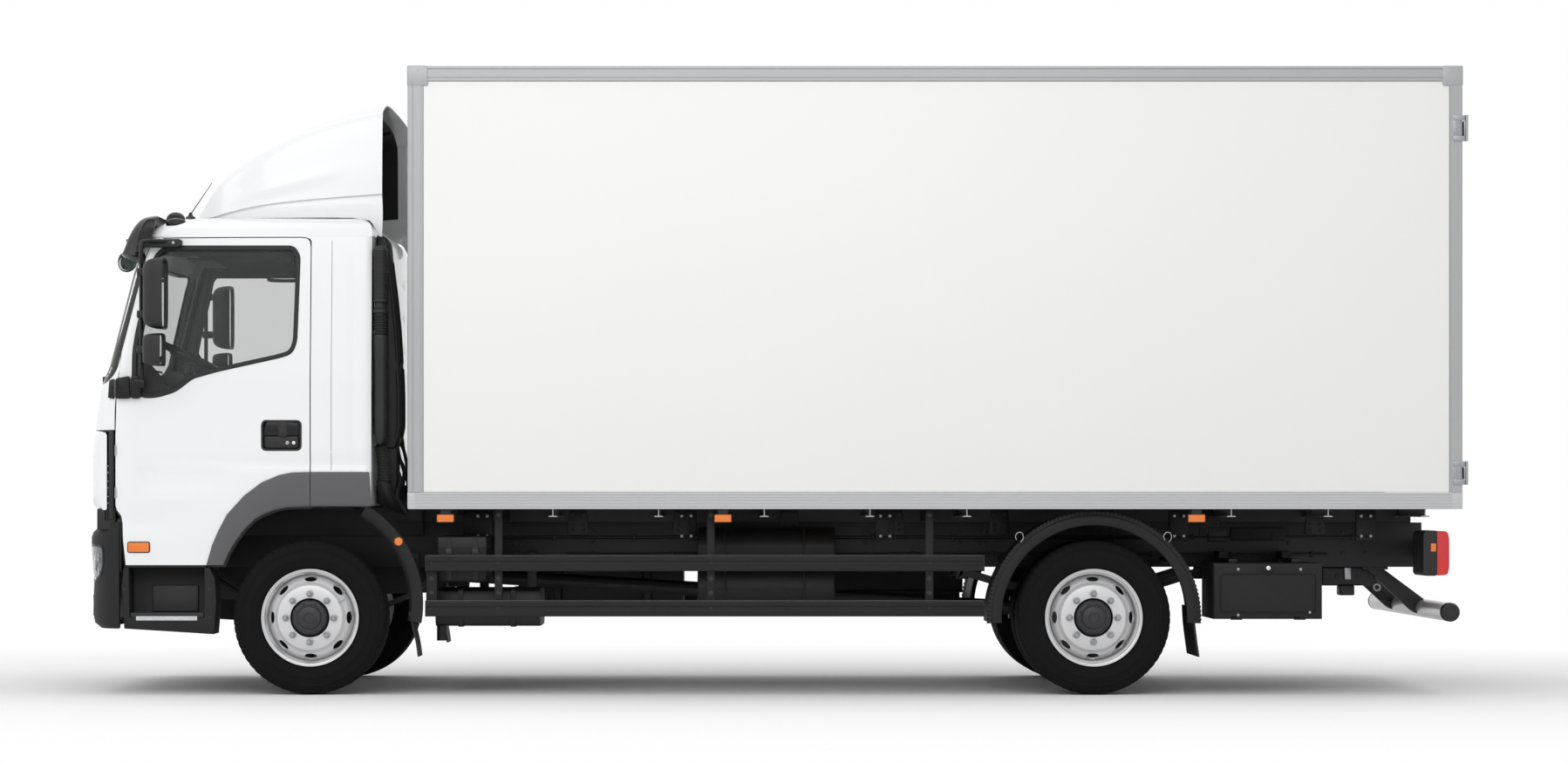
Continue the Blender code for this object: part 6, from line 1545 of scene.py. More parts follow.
# A shallow dish round the middle of the panel, which carries the louvres
def louvreDish(along, z):
    return 0.01 * (1 - slopeOf(abs(along), 0.78, 0.9)) * slopeOf(z, 1.055,
        1.085) * (1 - slopeOf(z, 1.335, 1.375))


panelPoint, _, panelLength = noseFace(-1.305, panelLevels, panelCurve, 1.0, 1.13, louvreDish)
end = float(panelLength[-1])
rearA = end - 0.001
slots = []
for low, high, inset in ((1.085, 1.135, 0.43), (1.175, 1.225, 0.39), (1.265, 1.315, 0.35)):
    reach = 1.15 - inset
    slots.append(ringed([(-reach, low), (reach, low), (reach + 0.012, (low + high) / 2), (reach, high),
        (-reach, high), (-reach - 0.012, (low + high) / 2)], 0.016))
outline = [(-rearA, 1.06), (-rearA + 0.01, 1.052), (rearA - 0.01, 1.052), (rearA, 1.06), (rearA, 1.478),
    (rearA - 0.014, 1.493), (-rearA + 0.014, 1.493), (-rearA, 1.478)]
skin("face", outline, slots, panelPoint, paint, 0.028, smooth=35, thick=0.003)
# Under the painted edge the panel goes on as a dark lip, set back.
outline = [(-rearA, 0.993), (rearA, 0.993), (rearA, 1.049), (-rearA, 1.049)]
skin("lowLip", outline, [], shifted(panelPoint, 0.004), glossBlack, thick=0.003)
for loop in slots:
    bandSkin("slotRim", offsetLoop(loop, -0.003), offsetLoop(loop, 0.007), panelPoint, darkPlastic, 0.002)
    reach = max(p[0] for p in loop)
    low, high = min(p[1] for p in loop), max(p[1] for p in loop)
    for z in (low + 0.014, (low + high) / 2, high - 0.014):
        fins = []
        for x, dz in ((0.004, 0.003), (0.022, -0.006), (0.023, -0.003), (0.005, 0.006)):
            fins.append([panelPoint(a, z, x)[:2] + (z + dz,) for a in np.linspace(-reach, reach, 30)])
        loft("fin", fins, darkPlastic, closed=False, wrapRows=True, smooth=20)
for side in (-1, 1):
    y = side * 0.28
    slab("lug", at(-1.272, y - 0.019, 1.484), at(-1.242, y + 0.019, 1.5025), paint)
    rod("lugPin", 0.004, -0.02, 0.0197, at(-1.268, y, 1.502), zinc, "Y", side, 16)
assemble("frontPanel", "white_paint", "front_panel", body="front_panel")
# Fixed dark trim between panel, bumper and door: a slot down the panel's rear edge with a strip in it, and
# the infill under it.
for side in (-1, 1):
    outline = [(-1.1515, 1.062), (-1.1515, 1.48), (-1.146, 1.505), (-1.1125, 1.505), (-1.1125, 1.062)]
    skin("slotFloor", ringed(outline, 0.004, 2), [], sidePoint(side, -0.01, False), glossBlack, 0.03,
        thick=0.02)
    outline = ringed([(-1.133, 1.068), (-1.133, 1.492), (-1.1145, 1.492), (-1.1145, 1.068)], 0.004, 2)
    skin("slotStrip", outline, [], sidePoint(side, -0.0015, False), plastic, 0.03, thick=0.014,
        bevel=(0.002, 2))
    slab("infill", at(-1.215, side * 1.05, 0.94), at(-1.11, side * 1.125, 1.06), darkPlastic, 0.006)
    slab("infillLow", at(-1.105, side * 1.05, 0.7), at(-1.075, side * 1.12, 1.0), darkPlastic, 0.006)
assemble("cornerInfill", "dark_plastic")
stage("front end")

# A grid of points, all of them moved by a distance
def moved(rows, dx, dy, dz):
    return [[(x + dx, y + dy, z + dz) for x, y, z in row] for row in rows]


# A sheet between two grids of points, closed along its borders
def thickGrid(name, outer, inner, material, **more):
    rows, columns = len(outer), len(outer[0])
    vertices = [point for row in [*outer, *inner] for point in row]
    half = rows * columns
    faces = gridFaces(rows, columns)
    faces += [tuple(half + i for i in face[::-1]) for face in faces]
    border = list(range(columns)) + [i * columns + columns - 1 for i in range(1, rows)]
    border += [(rows - 1) * columns + j for j in range(columns - 2, -1, -1)]
    border += [i * columns for i in range(rows - 2, 0, -1)]
    faces += [(a, b, half + b, half + a) for a, b in zip(border, border[1:] + border[:1])]
    return meshPiece(name, vertices, faces, material, **more)


# Sun visor: levels from its lower lip up over to the rear of its top, each a curve round the nose, as u in
# the middle, at the end and at the tail of the side, z in the middle and at the end, and the share of the
# width
visorLevels = [(-1.128, -1.012, -1.004, 2.515, 2.516, 1.0), (-1.108, -1.0, -0.953, 2.56, 2.553, 1.0),
    (-1.086, -0.988, -0.915, 2.609, 2.609, 1.0), (-1.064, -0.975, -0.9, 2.648, 2.648, 1.0),
    (-1.042, -0.96, -0.891, 2.68, 2.68, 0.998), (-1.005, -0.938, -0.887, 2.718, 2.712, 0.988),
    (-0.962, -0.915, -0.885, 2.736, 2.726, 0.968), (-0.905, -0.896, -0.884, 2.745, 2.733, 0.945)]
visorStations = [(0.0, 0.0), (0.02, 0.45), (0.06, 0.75), (0.25, 0.98), (0.55, 1.04), (0.84, 1.066),
    (1.0, 1.08)]


def visorRow(level, depth):
    middle, end, tail, zMiddle, zEnd, share = level
    points = [(middle + (end - middle) * t, y * share, zMiddle + (zEnd - zMiddle) * t)
        for t, y in visorStations]
    points += [((end + tail) / 2, 1.086 * share, zEnd), (tail, 1.088 * share, zEnd)]
    half = []
    for u, y, z in smoothPath(points, 4):
        turn = slopeOf(y, 0.98, 1.075)
        half.append(at(u + depth * (1 - turn), y - depth * turn, z - depth * 0.5))
    return [(x, -y, z) for x, y, z in half[:0:-1]] + half


fine = [tuple(map(float, level)) for level in smoothPath(visorLevels, 3)]
thickGrid("visor", [visorRow(level, 0.0) for level in fine], [visorRow(level, 0.014) for level in fine],
    glossBlack)
for side in (-1, 1):
    for y in (0.4, 0.9):
        strut = [at(-1.085, side * y, 2.6), at(-1.03, side * y, 2.618), at(-0.985, side * y, 2.622)]
        tube("strut", strut, 0.009, darkPlastic, 10)
    slab("strap", at(-0.93, side * 0.482, 2.738), at(-0.665, side * 0.518, 2.7445), darkPlastic, 0.002)
assemble("sunVisor", "dark_plastic", "sun_visor")

# Front mirror under the visor: an oval bowl whose glass faces down, back and towards the driver
normal = Vector((0.376, -0.43, -0.82)).normalized()
first = (Vector((1, 0, 0)) - normal * normal.x).normalized()
second = normal.cross(first)
centre = Vector(at(-1.249, 0.08, 2.543))


def ovalRing(size, rise):
    return [centre + normal * rise + first * (0.057 * size * math.cos(math.tau * k / 40))
        + second * (0.098 * size * math.sin(math.tau * k / 40)) for k in range(40)]


# The bowl's rings shrink as a quarter ellipse: size = sqrt(1 - t^2), rise = -0.045 t.
rings = [ovalRing(math.sqrt(1 - t * t), -0.045 * t) for t in (0.99, 0.95, 0.85, 0.7, 0.5, 0.25, 0.0)]
rings += [ovalRing(1.0, 0.006), ovalRing(0.94, 0.007), ovalRing(0.92, 0.002)]
loft("frontMirrorBowl", rings, glossBlack, smooth=50)
glass = [ovalRing(math.sqrt(max(0.02, 1 - t * t)) * 0.93, 0.003 + 0.006 * t) for t in (0.0, 0.3, 0.6, 0.85,
    0.97)]
loft("frontMirrorGlass", glass, mirrorSkin, smooth=60)
arm = [centre - normal * 0.04, Vector(at(-1.195, 0.1, 2.615)), Vector(at(-1.09, 0.1, 2.64))]
tube("frontMirrorArm", smoothPath(arm), 0.01, glossBlack)
assemble("frontMirror", "dark_plastic")

# Roof lamps and the antenna
for side in (-1, 1):
    for u, y, z, size, tilt in ((-0.855, 0.56, 2.738, (0.058, 0.048, 0.056), 0.0),
            (-0.779, 1.018, 2.69, (0.06, 0.034, 0.032), 0.6)):
        rings = []
        for t in (0.0, 0.25, 0.5, 0.7, 0.85, 0.95, 0.995):
            share = math.sqrt(1 - t ** 2.4)
            ring = []
            for k in range(32):
                angle = math.tau * k / 32
                a, b = size[0] * share * math.cos(angle), size[1] * share * math.sin(angle)
                rise = size[2] * t
                ring.append((atX(u) + a, side * (y + b * math.cos(tilt) + rise * math.sin(tilt)),
                    z - b * math.sin(tilt) + rise * math.cos(tilt)))
            rings.append(ring)
        loft("roofLamp", rings, glossBlack, smooth=60)
        loft("roofLampBase", [[(px, py, pz - 0.004) for px, py, pz in rings[0]], rings[0]], seal)
root = at(-0.722, -0.86, 2.7335)
turned("antennaBase", [(0.0, -0.004), (0.03, -0.003), (0.028, 0.006), (0.014, 0.016), (0.007, 0.034),
    (0.0, 0.036)], root, glossBlack, "Z", 1, 24)
tip = at(-0.596, -0.88, 2.936)
tube("antennaRod", [(root[0], root[1], root[2] + 0.024), tip], [0.0035, 0.0018], glossBlack, 8)
assemble("roofFittings", "dark_plastic")

# Roof deflector: a smooth shell with a rolled lower edge over a skirt that follows the roof

# u, lower edge, crest, half width
deflectorStations = [(-0.705, 2.746, 2.766, 0.67), (-0.6, 2.747, 2.922, 0.8), (-0.5, 2.768, 3.014, 0.88),
    (-0.346, 2.798, 3.131, 0.93), (-0.193, 2.819, 3.213, 0.955), (0.011, 2.838, 3.305, 0.975),
    (0.2, 2.852, 3.372, 0.985), (0.395, 2.866, 3.412, 0.99)]
deflectorShape = [tuple(map(float, s)) for s in smoothPath(deflectorStations, 5)]
rimU = 0.3


def deflectorRing(station, depth):
    u, low, crest, half = station
    crest, half = crest - depth, half - depth
    shoulder = low + 0.8 * (crest - low)
    side = [(half, low), (half * 0.988, low + 0.42 * (crest - low)), (half * 0.965, shoulder),
        (half * 0.9, (shoulder + crest) / 2), (half * 0.62, crest)]
    loop = [(-y, z) for y, z in side] + [(0.0, crest + 0.01)] + side[::-1]
    ring = []
    for y, z in smoothPath(loop, 8):
        # A pressed ridge runs back and up along each side and fades out.
        middle = 2.834 + 0.248 * (u + 0.516)
        ridge = 0.007 * bumpOf(z, middle, 0.05) * slopeOf(u, -0.62, -0.3) * (1 - slopeOf(u, -0.05, 0.2))
        ring.append(at(u, y + math.copysign(ridge if abs(y) > half * 0.8 and not depth else 0.0, y), z))
    return ring


def deflectorAt(u, part):
    return float(np.interp(u, [s[0] for s in deflectorShape], [s[part] for s in deflectorShape]))


outer = [deflectorRing(s, 0.0) for s in deflectorShape]
thickGrid("shell", outer, [deflectorRing(s, 0.006) for s in deflectorShape], paint, smooth=32)
# The lower edge turns in as a flange, and the front closes on the roof.
flange = [[(x, y * (1 - inset / abs(y)) if abs(y) > 0.1 else y, z + rise) for inset, rise in ((0.002, 0.0005),
    (0.01, -0.001), (0.022, 0.01)) for x, y, z in [ring[end]]] for end in (0, -1) for ring in outer]
half = len(outer)
for part in (flange[:half], flange[half:]):
    loft("flange", part, paint, closed=False)
nose = outer[0]
loft("noseCap", [nose, [(x + 0.012, y * 0.99, 2.743) for x, y, z in nose]], paint, closed=False)
# Inside: dark laminate whose dark colour paints the shade in the hollow shell, with the paint carried round
# the rear edge.
darkInside = [s for s in deflectorShape if s[0] < rimU] + [[deflectorAt(rimU, k) for k in range(4)]]
loft("laminate", [deflectorRing(s, 0.0085) for s in darkInside], darkLining, closed=False)
for y in (-0.5, 0.0, 0.5):
    low = [at(s[0], y, s[2] - 0.03) for s in darkInside[6:]]
    tube("stiffener", low, 0.012, darkLining, 8)
# Skirts: from behind the flange down to the roof, then down past the roof's rear corner.
for word, side in sides:
    rows = []
    for u in np.linspace(-0.64, 0.392, 60):
        low, half = deflectorAt(u, 1), deflectorAt(u, 3)
        bottom = float(np.interp(u, [-0.64, -0.6, 0.216, 0.27, 0.327, 0.354, 0.366, 0.392],
            [2.7395, 2.7305, 2.7295, 2.7235, 2.712, 2.675, 2.626, 2.62]))
        row = []
        for t in np.linspace(0, 1, 9):
            z = bottom + (low + 0.012 - bottom) * t
            # The sheet bellies out a little halfway up: 4 t (1 - t).
            row.append((atX(u) + 0.006 * math.sin(math.pi * t) * slopeOf(u, 0.3, 0.39),
                side * (half - 0.024 + 0.01 * 4 * t * (1 - t) * slopeOf(u, -0.6, 0.0)), z))
        rows.append(row)
    inner = moved(rows, -0.002, -side * 0.006, 0)
    thickGrid("skirt", rows, inner, paint)
    # A dark seal along each skirt's foot, which also paints the shadow line where the skirt meets the roof.
    foot = [(row[0][0], row[0][1] - side * 0.003, row[0][2] + 0.001) for row in rows[1:46]]
    tube("skirtShadowSeal", foot, 0.0035, seal, 6)
assemble("roofDeflector", "white_paint", "roof_deflector")
stage("roof")


# Behind the cab: the ribbed air duct, the cover beside it and the hoses down to the frame

ductLow, ductHigh = (atX(0.352), 0.902), (atX(0.431), 1.119)


def ductRing(z, inset):
    near, far, right, left = ductLow[0] + inset, ductHigh[0] - inset, ductLow[1] + inset, ductHigh[1] - inset
    return [(x, -y, z) for x, y in ringed([(near, right), (far, right), (far, left), (near, left)], 0.022)]


levels = [(2.56, 0.03), (2.556, 0.014), (2.545, 0.005), (2.536, 0.004)]
for k in range(22):
    z = 2.53 - k * 0.0128
    levels += [(z, 0.004), (z - 0.001, 0.0075), (z - 0.0058, 0.0075), (z - 0.0068, 0.004)]
levels += [(2.24, 0.004), (2.232, 0.013), (2.205, 0.013), (2.198, 0.003), (2.178, 0.003), (2.172, 0.01)]
for k in range(7):
    z = 2.166 - k * 0.0165
    levels += [(z, 0.01), (z - 0.004, 0.0035), (z - 0.008, 0.0035), (z - 0.012, 0.01)]
levels += [(2.046, 0.004), (2.034, 0.0035), (1.95, 0.0035), (1.93, 0.0055), (1.6, 0.006), (1.48, 0.008),
    (1.445, 0.014), (1.425, 0.03)]
loft("duct", [ductRing(z, inset) for z, inset in levels], darkPlastic, smooth=38)
coverLine = [(0.0, 1.402), (0.108, 1.408), (0.131, 1.483), (0.1405, 1.534), (0.1405, 1.72), (0.1355, 1.84),
    (0.1205, 2.094), (0.1005, 2.297), (0.0805, 2.45), (0.0655, 2.598), (0.044, 2.632), (0.0, 2.638)]
outline = [(atX(0.352 + back), z) for back, z in coverLine]
prism("cover", outline, "Y", -0.878, -0.622, darkPlastic, 0.012, 3, smooth=50)


def coverBack(z):
    return float(np.interp(z, [p[1] for p in coverLine[1:]], [p[0] for p in coverLine[1:]]))


# Long raised beads down the cover, in pairs with their ends joined.
for low, high, near, far in ((1.905, 2.49, 0.868, 0.815), (1.905, 2.49, 0.79, 0.735),
        (1.905, 2.49, 0.71, 0.655), (1.47, 1.87, 0.866, 0.76), (1.47, 1.87, 0.735, 0.645)):
    for y in (near, far):
        bead = [at(0.352 + coverBack(z) + 0.0005, -y, z) for z in np.linspace(low, high, 14)]
        tube("bead", bead, 0.0045, darkPlastic, 8)
    for z in (low, high):
        tube("beadEnd", [at(0.352 + coverBack(z) + 0.0005, -near, z), at(0.352 + coverBack(z) + 0.0005, -far,
            z)], 0.0045, darkPlastic, 8)
for low, high, inset in ((1.9, 2.47, 0.018), (1.47, 1.86, 0.022)):
    for reach in (inset, 0.055 + inset):
        bead = [at(0.352 + max(0.01, coverBack(z) - reach), -0.8785, z) for z in np.linspace(low, high, 10)]
        tube("sideBead", bead, 0.0032, plastic, 8)
slab("housing", at(0.354, -0.858, 1.082), at(0.47, -0.682, 1.418), darkPlastic, 0.012, 3)
slab("clip", at(0.352, -0.915, 1.905), at(0.41, -0.862, 2.195), darkPlastic, 0.006)
# Bellows and hoses under the duct.
rings = []
for k in range(25):
    z = 1.42 - k * 0.0085
    size = 0.04 + 0.006 * (k % 2)
    rings.append([(atX(0.392 + 0.001 * k) + size * 0.85 * math.cos(math.tau * j / 20),
        -1.01 + size * math.sin(math.tau * j / 20), z) for j in range(20)])
loft("bellows", rings, seal, smooth=60)
for points, radius in (([(0.4, -1.01, 1.23), (0.42, -0.98, 1.15), (0.45, -0.9, 1.09), (0.5, -0.76, 1.06)],
        0.036), ([(0.455, -0.8, 1.3), (0.485, -0.84, 1.22), (0.47, -0.9, 1.13), (0.52, -0.86, 1.04)], 0.014),
        ([(0.45, -0.72, 1.38), (0.495, -0.7, 1.28), (0.48, -0.66, 1.15), (0.5, -0.56, 1.01)], 0.012),
        ([(0.44, -0.56, 1.5), (0.49, -0.54, 1.35), (0.5, -0.52, 1.15), (0.49, -0.47, 0.99)], 0.01)):
    tube("hose", smoothPath([at(u, y, z) for u, y, z in points], 8), radius, seal, 14)
for y in (-0.3, 0.05, 0.4):
    tube("cableRun", smoothPath([at(0.366, y, 1.6), at(0.4, y + 0.02, 1.35), at(0.47, y + 0.05, 1.12),
        at(0.45, y + 0.05, 0.985)], 8), 0.009, seal, 10)
slab("rearMount", at(0.354, -0.52, 1.085), at(0.44, 0.52, 1.15), chassisPaint, 0.01)
slab("latchLeft", at(0.354, -0.6, 0.99), at(0.46, -0.44, 1.2), chassisPaint, 0.01)
slab("latchRight", at(0.354, 0.44, 0.99), at(0.46, 0.6, 1.2), chassisPaint, 0.01)
assemble("intakeDuct", "dark_plastic", "intake_duct")

# Under the sill: dark aprons beside the engine and liners over the front wheels
for side in (-1, 1):
    slab("apron", at(-0.98, side * 0.462, 0.9), at(0.585, side * 0.467, 1.066), seal, 0.001)
    rows = []
    for angle in np.linspace(66, 172, 28):
        a = math.radians(angle)
        row = []
        for y, radius in ((0.8, 0.6), (0.88, 0.592), (1.0, 0.592), (1.08, 0.592)):
            row.append(at(radius * math.cos(a), side * y, min(1.064, 0.52 + radius * math.sin(a))))
        rows.append(row)
    thickGrid("liner", rows, moved(rows, 0, 0, -0.004), seal, smooth=50)
    outline = [(0.585, 0.99), (0.585, 1.052), (0.35, 1.068), (0.25, 1.06), (0.33, 1.005), (0.4, 0.99)]
    prism("closing", [(atX(u), z) for u, z in outline], "Y", side * 0.6, side * 0.604, seal, 0)
assemble("aprons", "dark_plastic")
stage("behind the cab")

# Under the box: what hangs on the frame

# The node's own solid with its doubles merged, its flat faces joined and its edges rounded
def roundedCopy(nodeName, name, material, width, segments=2):
    shape = bmesh.new()
    shape.from_mesh(frame["nodes"][nodeName].data)
    bmesh.ops.remove_doubles(shape, verts=shape.verts, dist=0.0001)
    bmesh.ops.dissolve_limit(shape, angle_limit=math.radians(1.5), verts=shape.verts, edges=shape.edges)
    mesh = bpy.data.meshes.new(name)
    shape.to_mesh(mesh)
    shape.free()
    piece = bpy.data.objects.new(name, mesh)
    bpy.context.collection.objects.link(piece)
    mesh.materials.clear()
    mesh.materials.append(material)
    bench.append(piece)
    bake(piece, "BEVEL", width=width, segments=segments, limit_method="ANGLE", angle_limit=math.radians(30),
        use_clamp_overlap=True, harden_normals=False)
    return softened(piece, 38)


# Hexagonal bolt heads with washers, out to one side
def boltOn(spots, side, radius=0.012, height=0.008, material=chassisPaint):
    studs("bolts", spots, (0, side, 0), radius, height, material)
    studs("washers", spots, (0, side, 0), radius * 1.45, height * 0.3, material, 16)


# Frame rails: the node's rails with rounded edges, bolts, brackets that carry the box, and pipes along the
# web
rail = {"face": 0.4305, "boltZ": 0.856}
boltX = (-1.505, -1.47, -1.038, -0.283, -0.25, 0.56, 1.11, 1.228, 1.262, 2.28, 3.056, 3.374, 3.508)
roundedCopy("chassis_frame", "frame", chassisPaint, 0.004)
for side in (-1, 1):
    y = side * rail["face"]
    boltOn([(x, y, rail["boltZ"] + dz) for x in boltX for dz in (-0.062, 0.0, 0.062)], side, 0.011, 0.009)
    for x in np.arange(-1.75, 3.7, 0.62):
        plate = [(x - 0.062, 0.905), (x + 0.062, 0.905), (x + 0.05, 1.05), (x - 0.05, 1.05)]
        prism("boxBracket", plate, "Y", y, y + side * 0.007, chassisPaint)
        boltOn([(x + dx, y + side * 0.007, z) for dx in (-0.032, 0.032) for z in (0.928, 0.962, 1.025)], side,
            0.009)
    for z, radius, start, end in ((0.892, 0.0065, -1.9, 3.62), (0.88, 0.0045, -1.9, 2.3),
            (0.79, 0.008, -1.2, 3.3)):
        # A pipe clipped to the web, which it follows with a slight wave: 1.5 mm * sin(9 x).
        run = [(x, y + side * (radius + 0.003), z + 0.0015 * math.sin(9 * x)) for x in np.arange(start, end,
            0.08)]
        tube("pipe", run, radius, seal, 8)
        for x in np.arange(start + 0.15, end, 0.47):
            slab("pipeClip", (x, y, z - 0.016), (x + 0.018, y + side * (2 * radius + 0.005), z + 0.016),
                plastic)
assemble("chassisFrame", "chassis_black", "chassis_frame")
for low, high, depth, material in (((2.58, 0.862), (2.69, 0.95), 0.012, darkPlastic),
        ((2.712, 0.87), (3.028, 0.948), 0.016, plastic)):
    slab("railBox", (low[0], -rail["face"] - depth, low[1]), (high[0], -rail["face"] - 0.0005, high[1]),
        material, 0.005)
slab("hitchBeam", (3.255, -0.4, 0.604), (3.565, 0.4, 0.7135), chassisPaint, 0.01, 3)
slab("hitchUpright", (3.384, -0.424, 0.64), (3.424, -0.4, 0.712), zinc, 0.006)
slab("hitchBlock", (3.358, -0.414, 0.547), (3.446, -0.3, 0.606), chassisPaint, 0.008)
boltOn([(3.275, -0.4, 0.66), (3.345, -0.4, 0.66), (3.47, -0.4, 0.66), (3.545, -0.4, 0.66)], -1)
# A dark sheet inside the far frame rail: painted shade that fills the view under the box.
slab("shadeSheet", (0.395, 0.368, 0.545), (1.185, 0.372, 0.7145), seal, 0.001)
slab("shadeSheetLip", (0.395, 0.34, 0.545), (1.185, 0.372, 0.55), seal, 0.001)
assemble("rearFittings", "chassis_black")
for nodeName, name, width in (("front_axle", "frontAxle", 0.008), ("rear_axle", "rearAxle", 0.008),
        ("driveline", "driveline", 0.014)):
    roundedCopy(nodeName, name + "Body", chassisPaint, width)
    assemble(name, "chassis_black", nodeName)

# Side guards: pressed rails with a shallow groove, posts, end caps and a bright strip along each rail's top
# edge, a painted highlight for its rounded corner
guard = {"front": -1.966, "rear": 1.21, "out": 1.15, "thick": 0.029,
    "rails": ((0.446, 0.536), (0.704, 0.793)), "posts": ((-1.966, 0.062, 0.45, 0.789),
    (-1.576, 0.045, 0.45, 1.055), (-0.366, 0.045, 0.45, 1.055), (0.879, 0.045, 0.45, 1.055))}


def railOutline(side, low, high):
    out, back, middle = guard["out"], guard["out"] - guard["thick"], (low + high) / 2
    upper = [(back, high), (out - 0.004, high), (out - 0.001, high - 0.001), (out, high - 0.004),
        (out, middle + 0.014), (out - 0.0035, middle + 0.01)]
    outline = upper + [(y, 2 * middle - z) for y, z in upper[::-1]]
    return [(side * y, z) for y, z in (outline if side > 0 else outline[::-1])]


for word, side in sides:
    for low, high in guard["rails"]:
        prism("rail", railOutline(side, low, high), "X", guard["front"], guard["rear"], plastic, 0.0015)
        # A bright zinc strip along the rail's top edge: a painted highlight on its rounded corner.
        a, b = sorted((side * (guard["out"] - guard["thick"] + 0.003), side * (guard["out"] - 0.0035)))
        slab("railHighlightStrip", (guard["front"] + 0.004, a, high - 0.001), (guard["rear"] - 0.004, b, high + 0.0006),
            zinc, 0)
        for x in (guard["front"] - 0.0005, guard["rear"] + 0.0005):
            slab("railCap", (x - 0.003, side * (guard["out"] - guard["thick"] - 0.001), low - 0.001),
                (x + 0.003, side * (guard["out"] + 0.0005), high + 0.001), darkPlastic, 0.0015)
    for x, wide, low, high in guard["posts"]:
        slab("post", (x, side * 1.088, low), (x + wide, side * 1.1205, high), plastic, 0.004)
        a, b = sorted((side * 0.4325, side * 1.1))
        if high > 1:
            slab("crossArm", (x + 0.004, a, 0.985), (x + wide - 0.004, b, 1.048), chassisPaint, 0.004)
        boltOn([(x + wide / 2, side * 1.1205, z) for z in (0.58, 0.66, 1.025) if z < high], side, 0.009,
            0.006, hubPaint)
        boltOn([(x + wide / 2, side * 1.1465, (a + b) / 2) for a, b in guard["rails"]], side, 0.007, 0.003)
    assemble(f"sideGuard{word.title()}", "dark_plastic", f"side_guard_{word}")


# Mudguards: a section (radius, out) carried round the wheel from one angle to another, u = r cos(t), z =
# centre + r sin(t)

def guardBand(name, section, side, middle, startAngle, endAngle, steps, ribs=0.0, ribAt=()):
    rings = []
    for k in range(steps + 1):
        t = math.radians(startAngle + (endAngle - startAngle) * k / steps)
        drop = ribs * (k % 4 in (1, 2))
        rings.append([(middle[0] + (r - drop * (i in ribAt)) * math.cos(t), side * (y - drop * (i in ribAt)),
            middle[1] + (r - drop * (i in ribAt)) * math.sin(t)) for i, (r, y) in enumerate(section)])
    return loft(name, rings, plastic, smooth=32)


# A rubber flap down a spine of (x, z), with upright ribs: x moves by wave * cos(2 pi y / 52 mm)
def flapSheet(name, spine, side, near, far, wave):
    across = np.linspace(near, far, 60)
    outer = [[(x + wave * math.cos(math.tau * y / 0.052), side * y, z) for y in across]
        for x, z in smoothPath(spine, 5)]
    return thickGrid(name, outer, moved(outer, 0.009, 0, 0), seal, smooth=60)


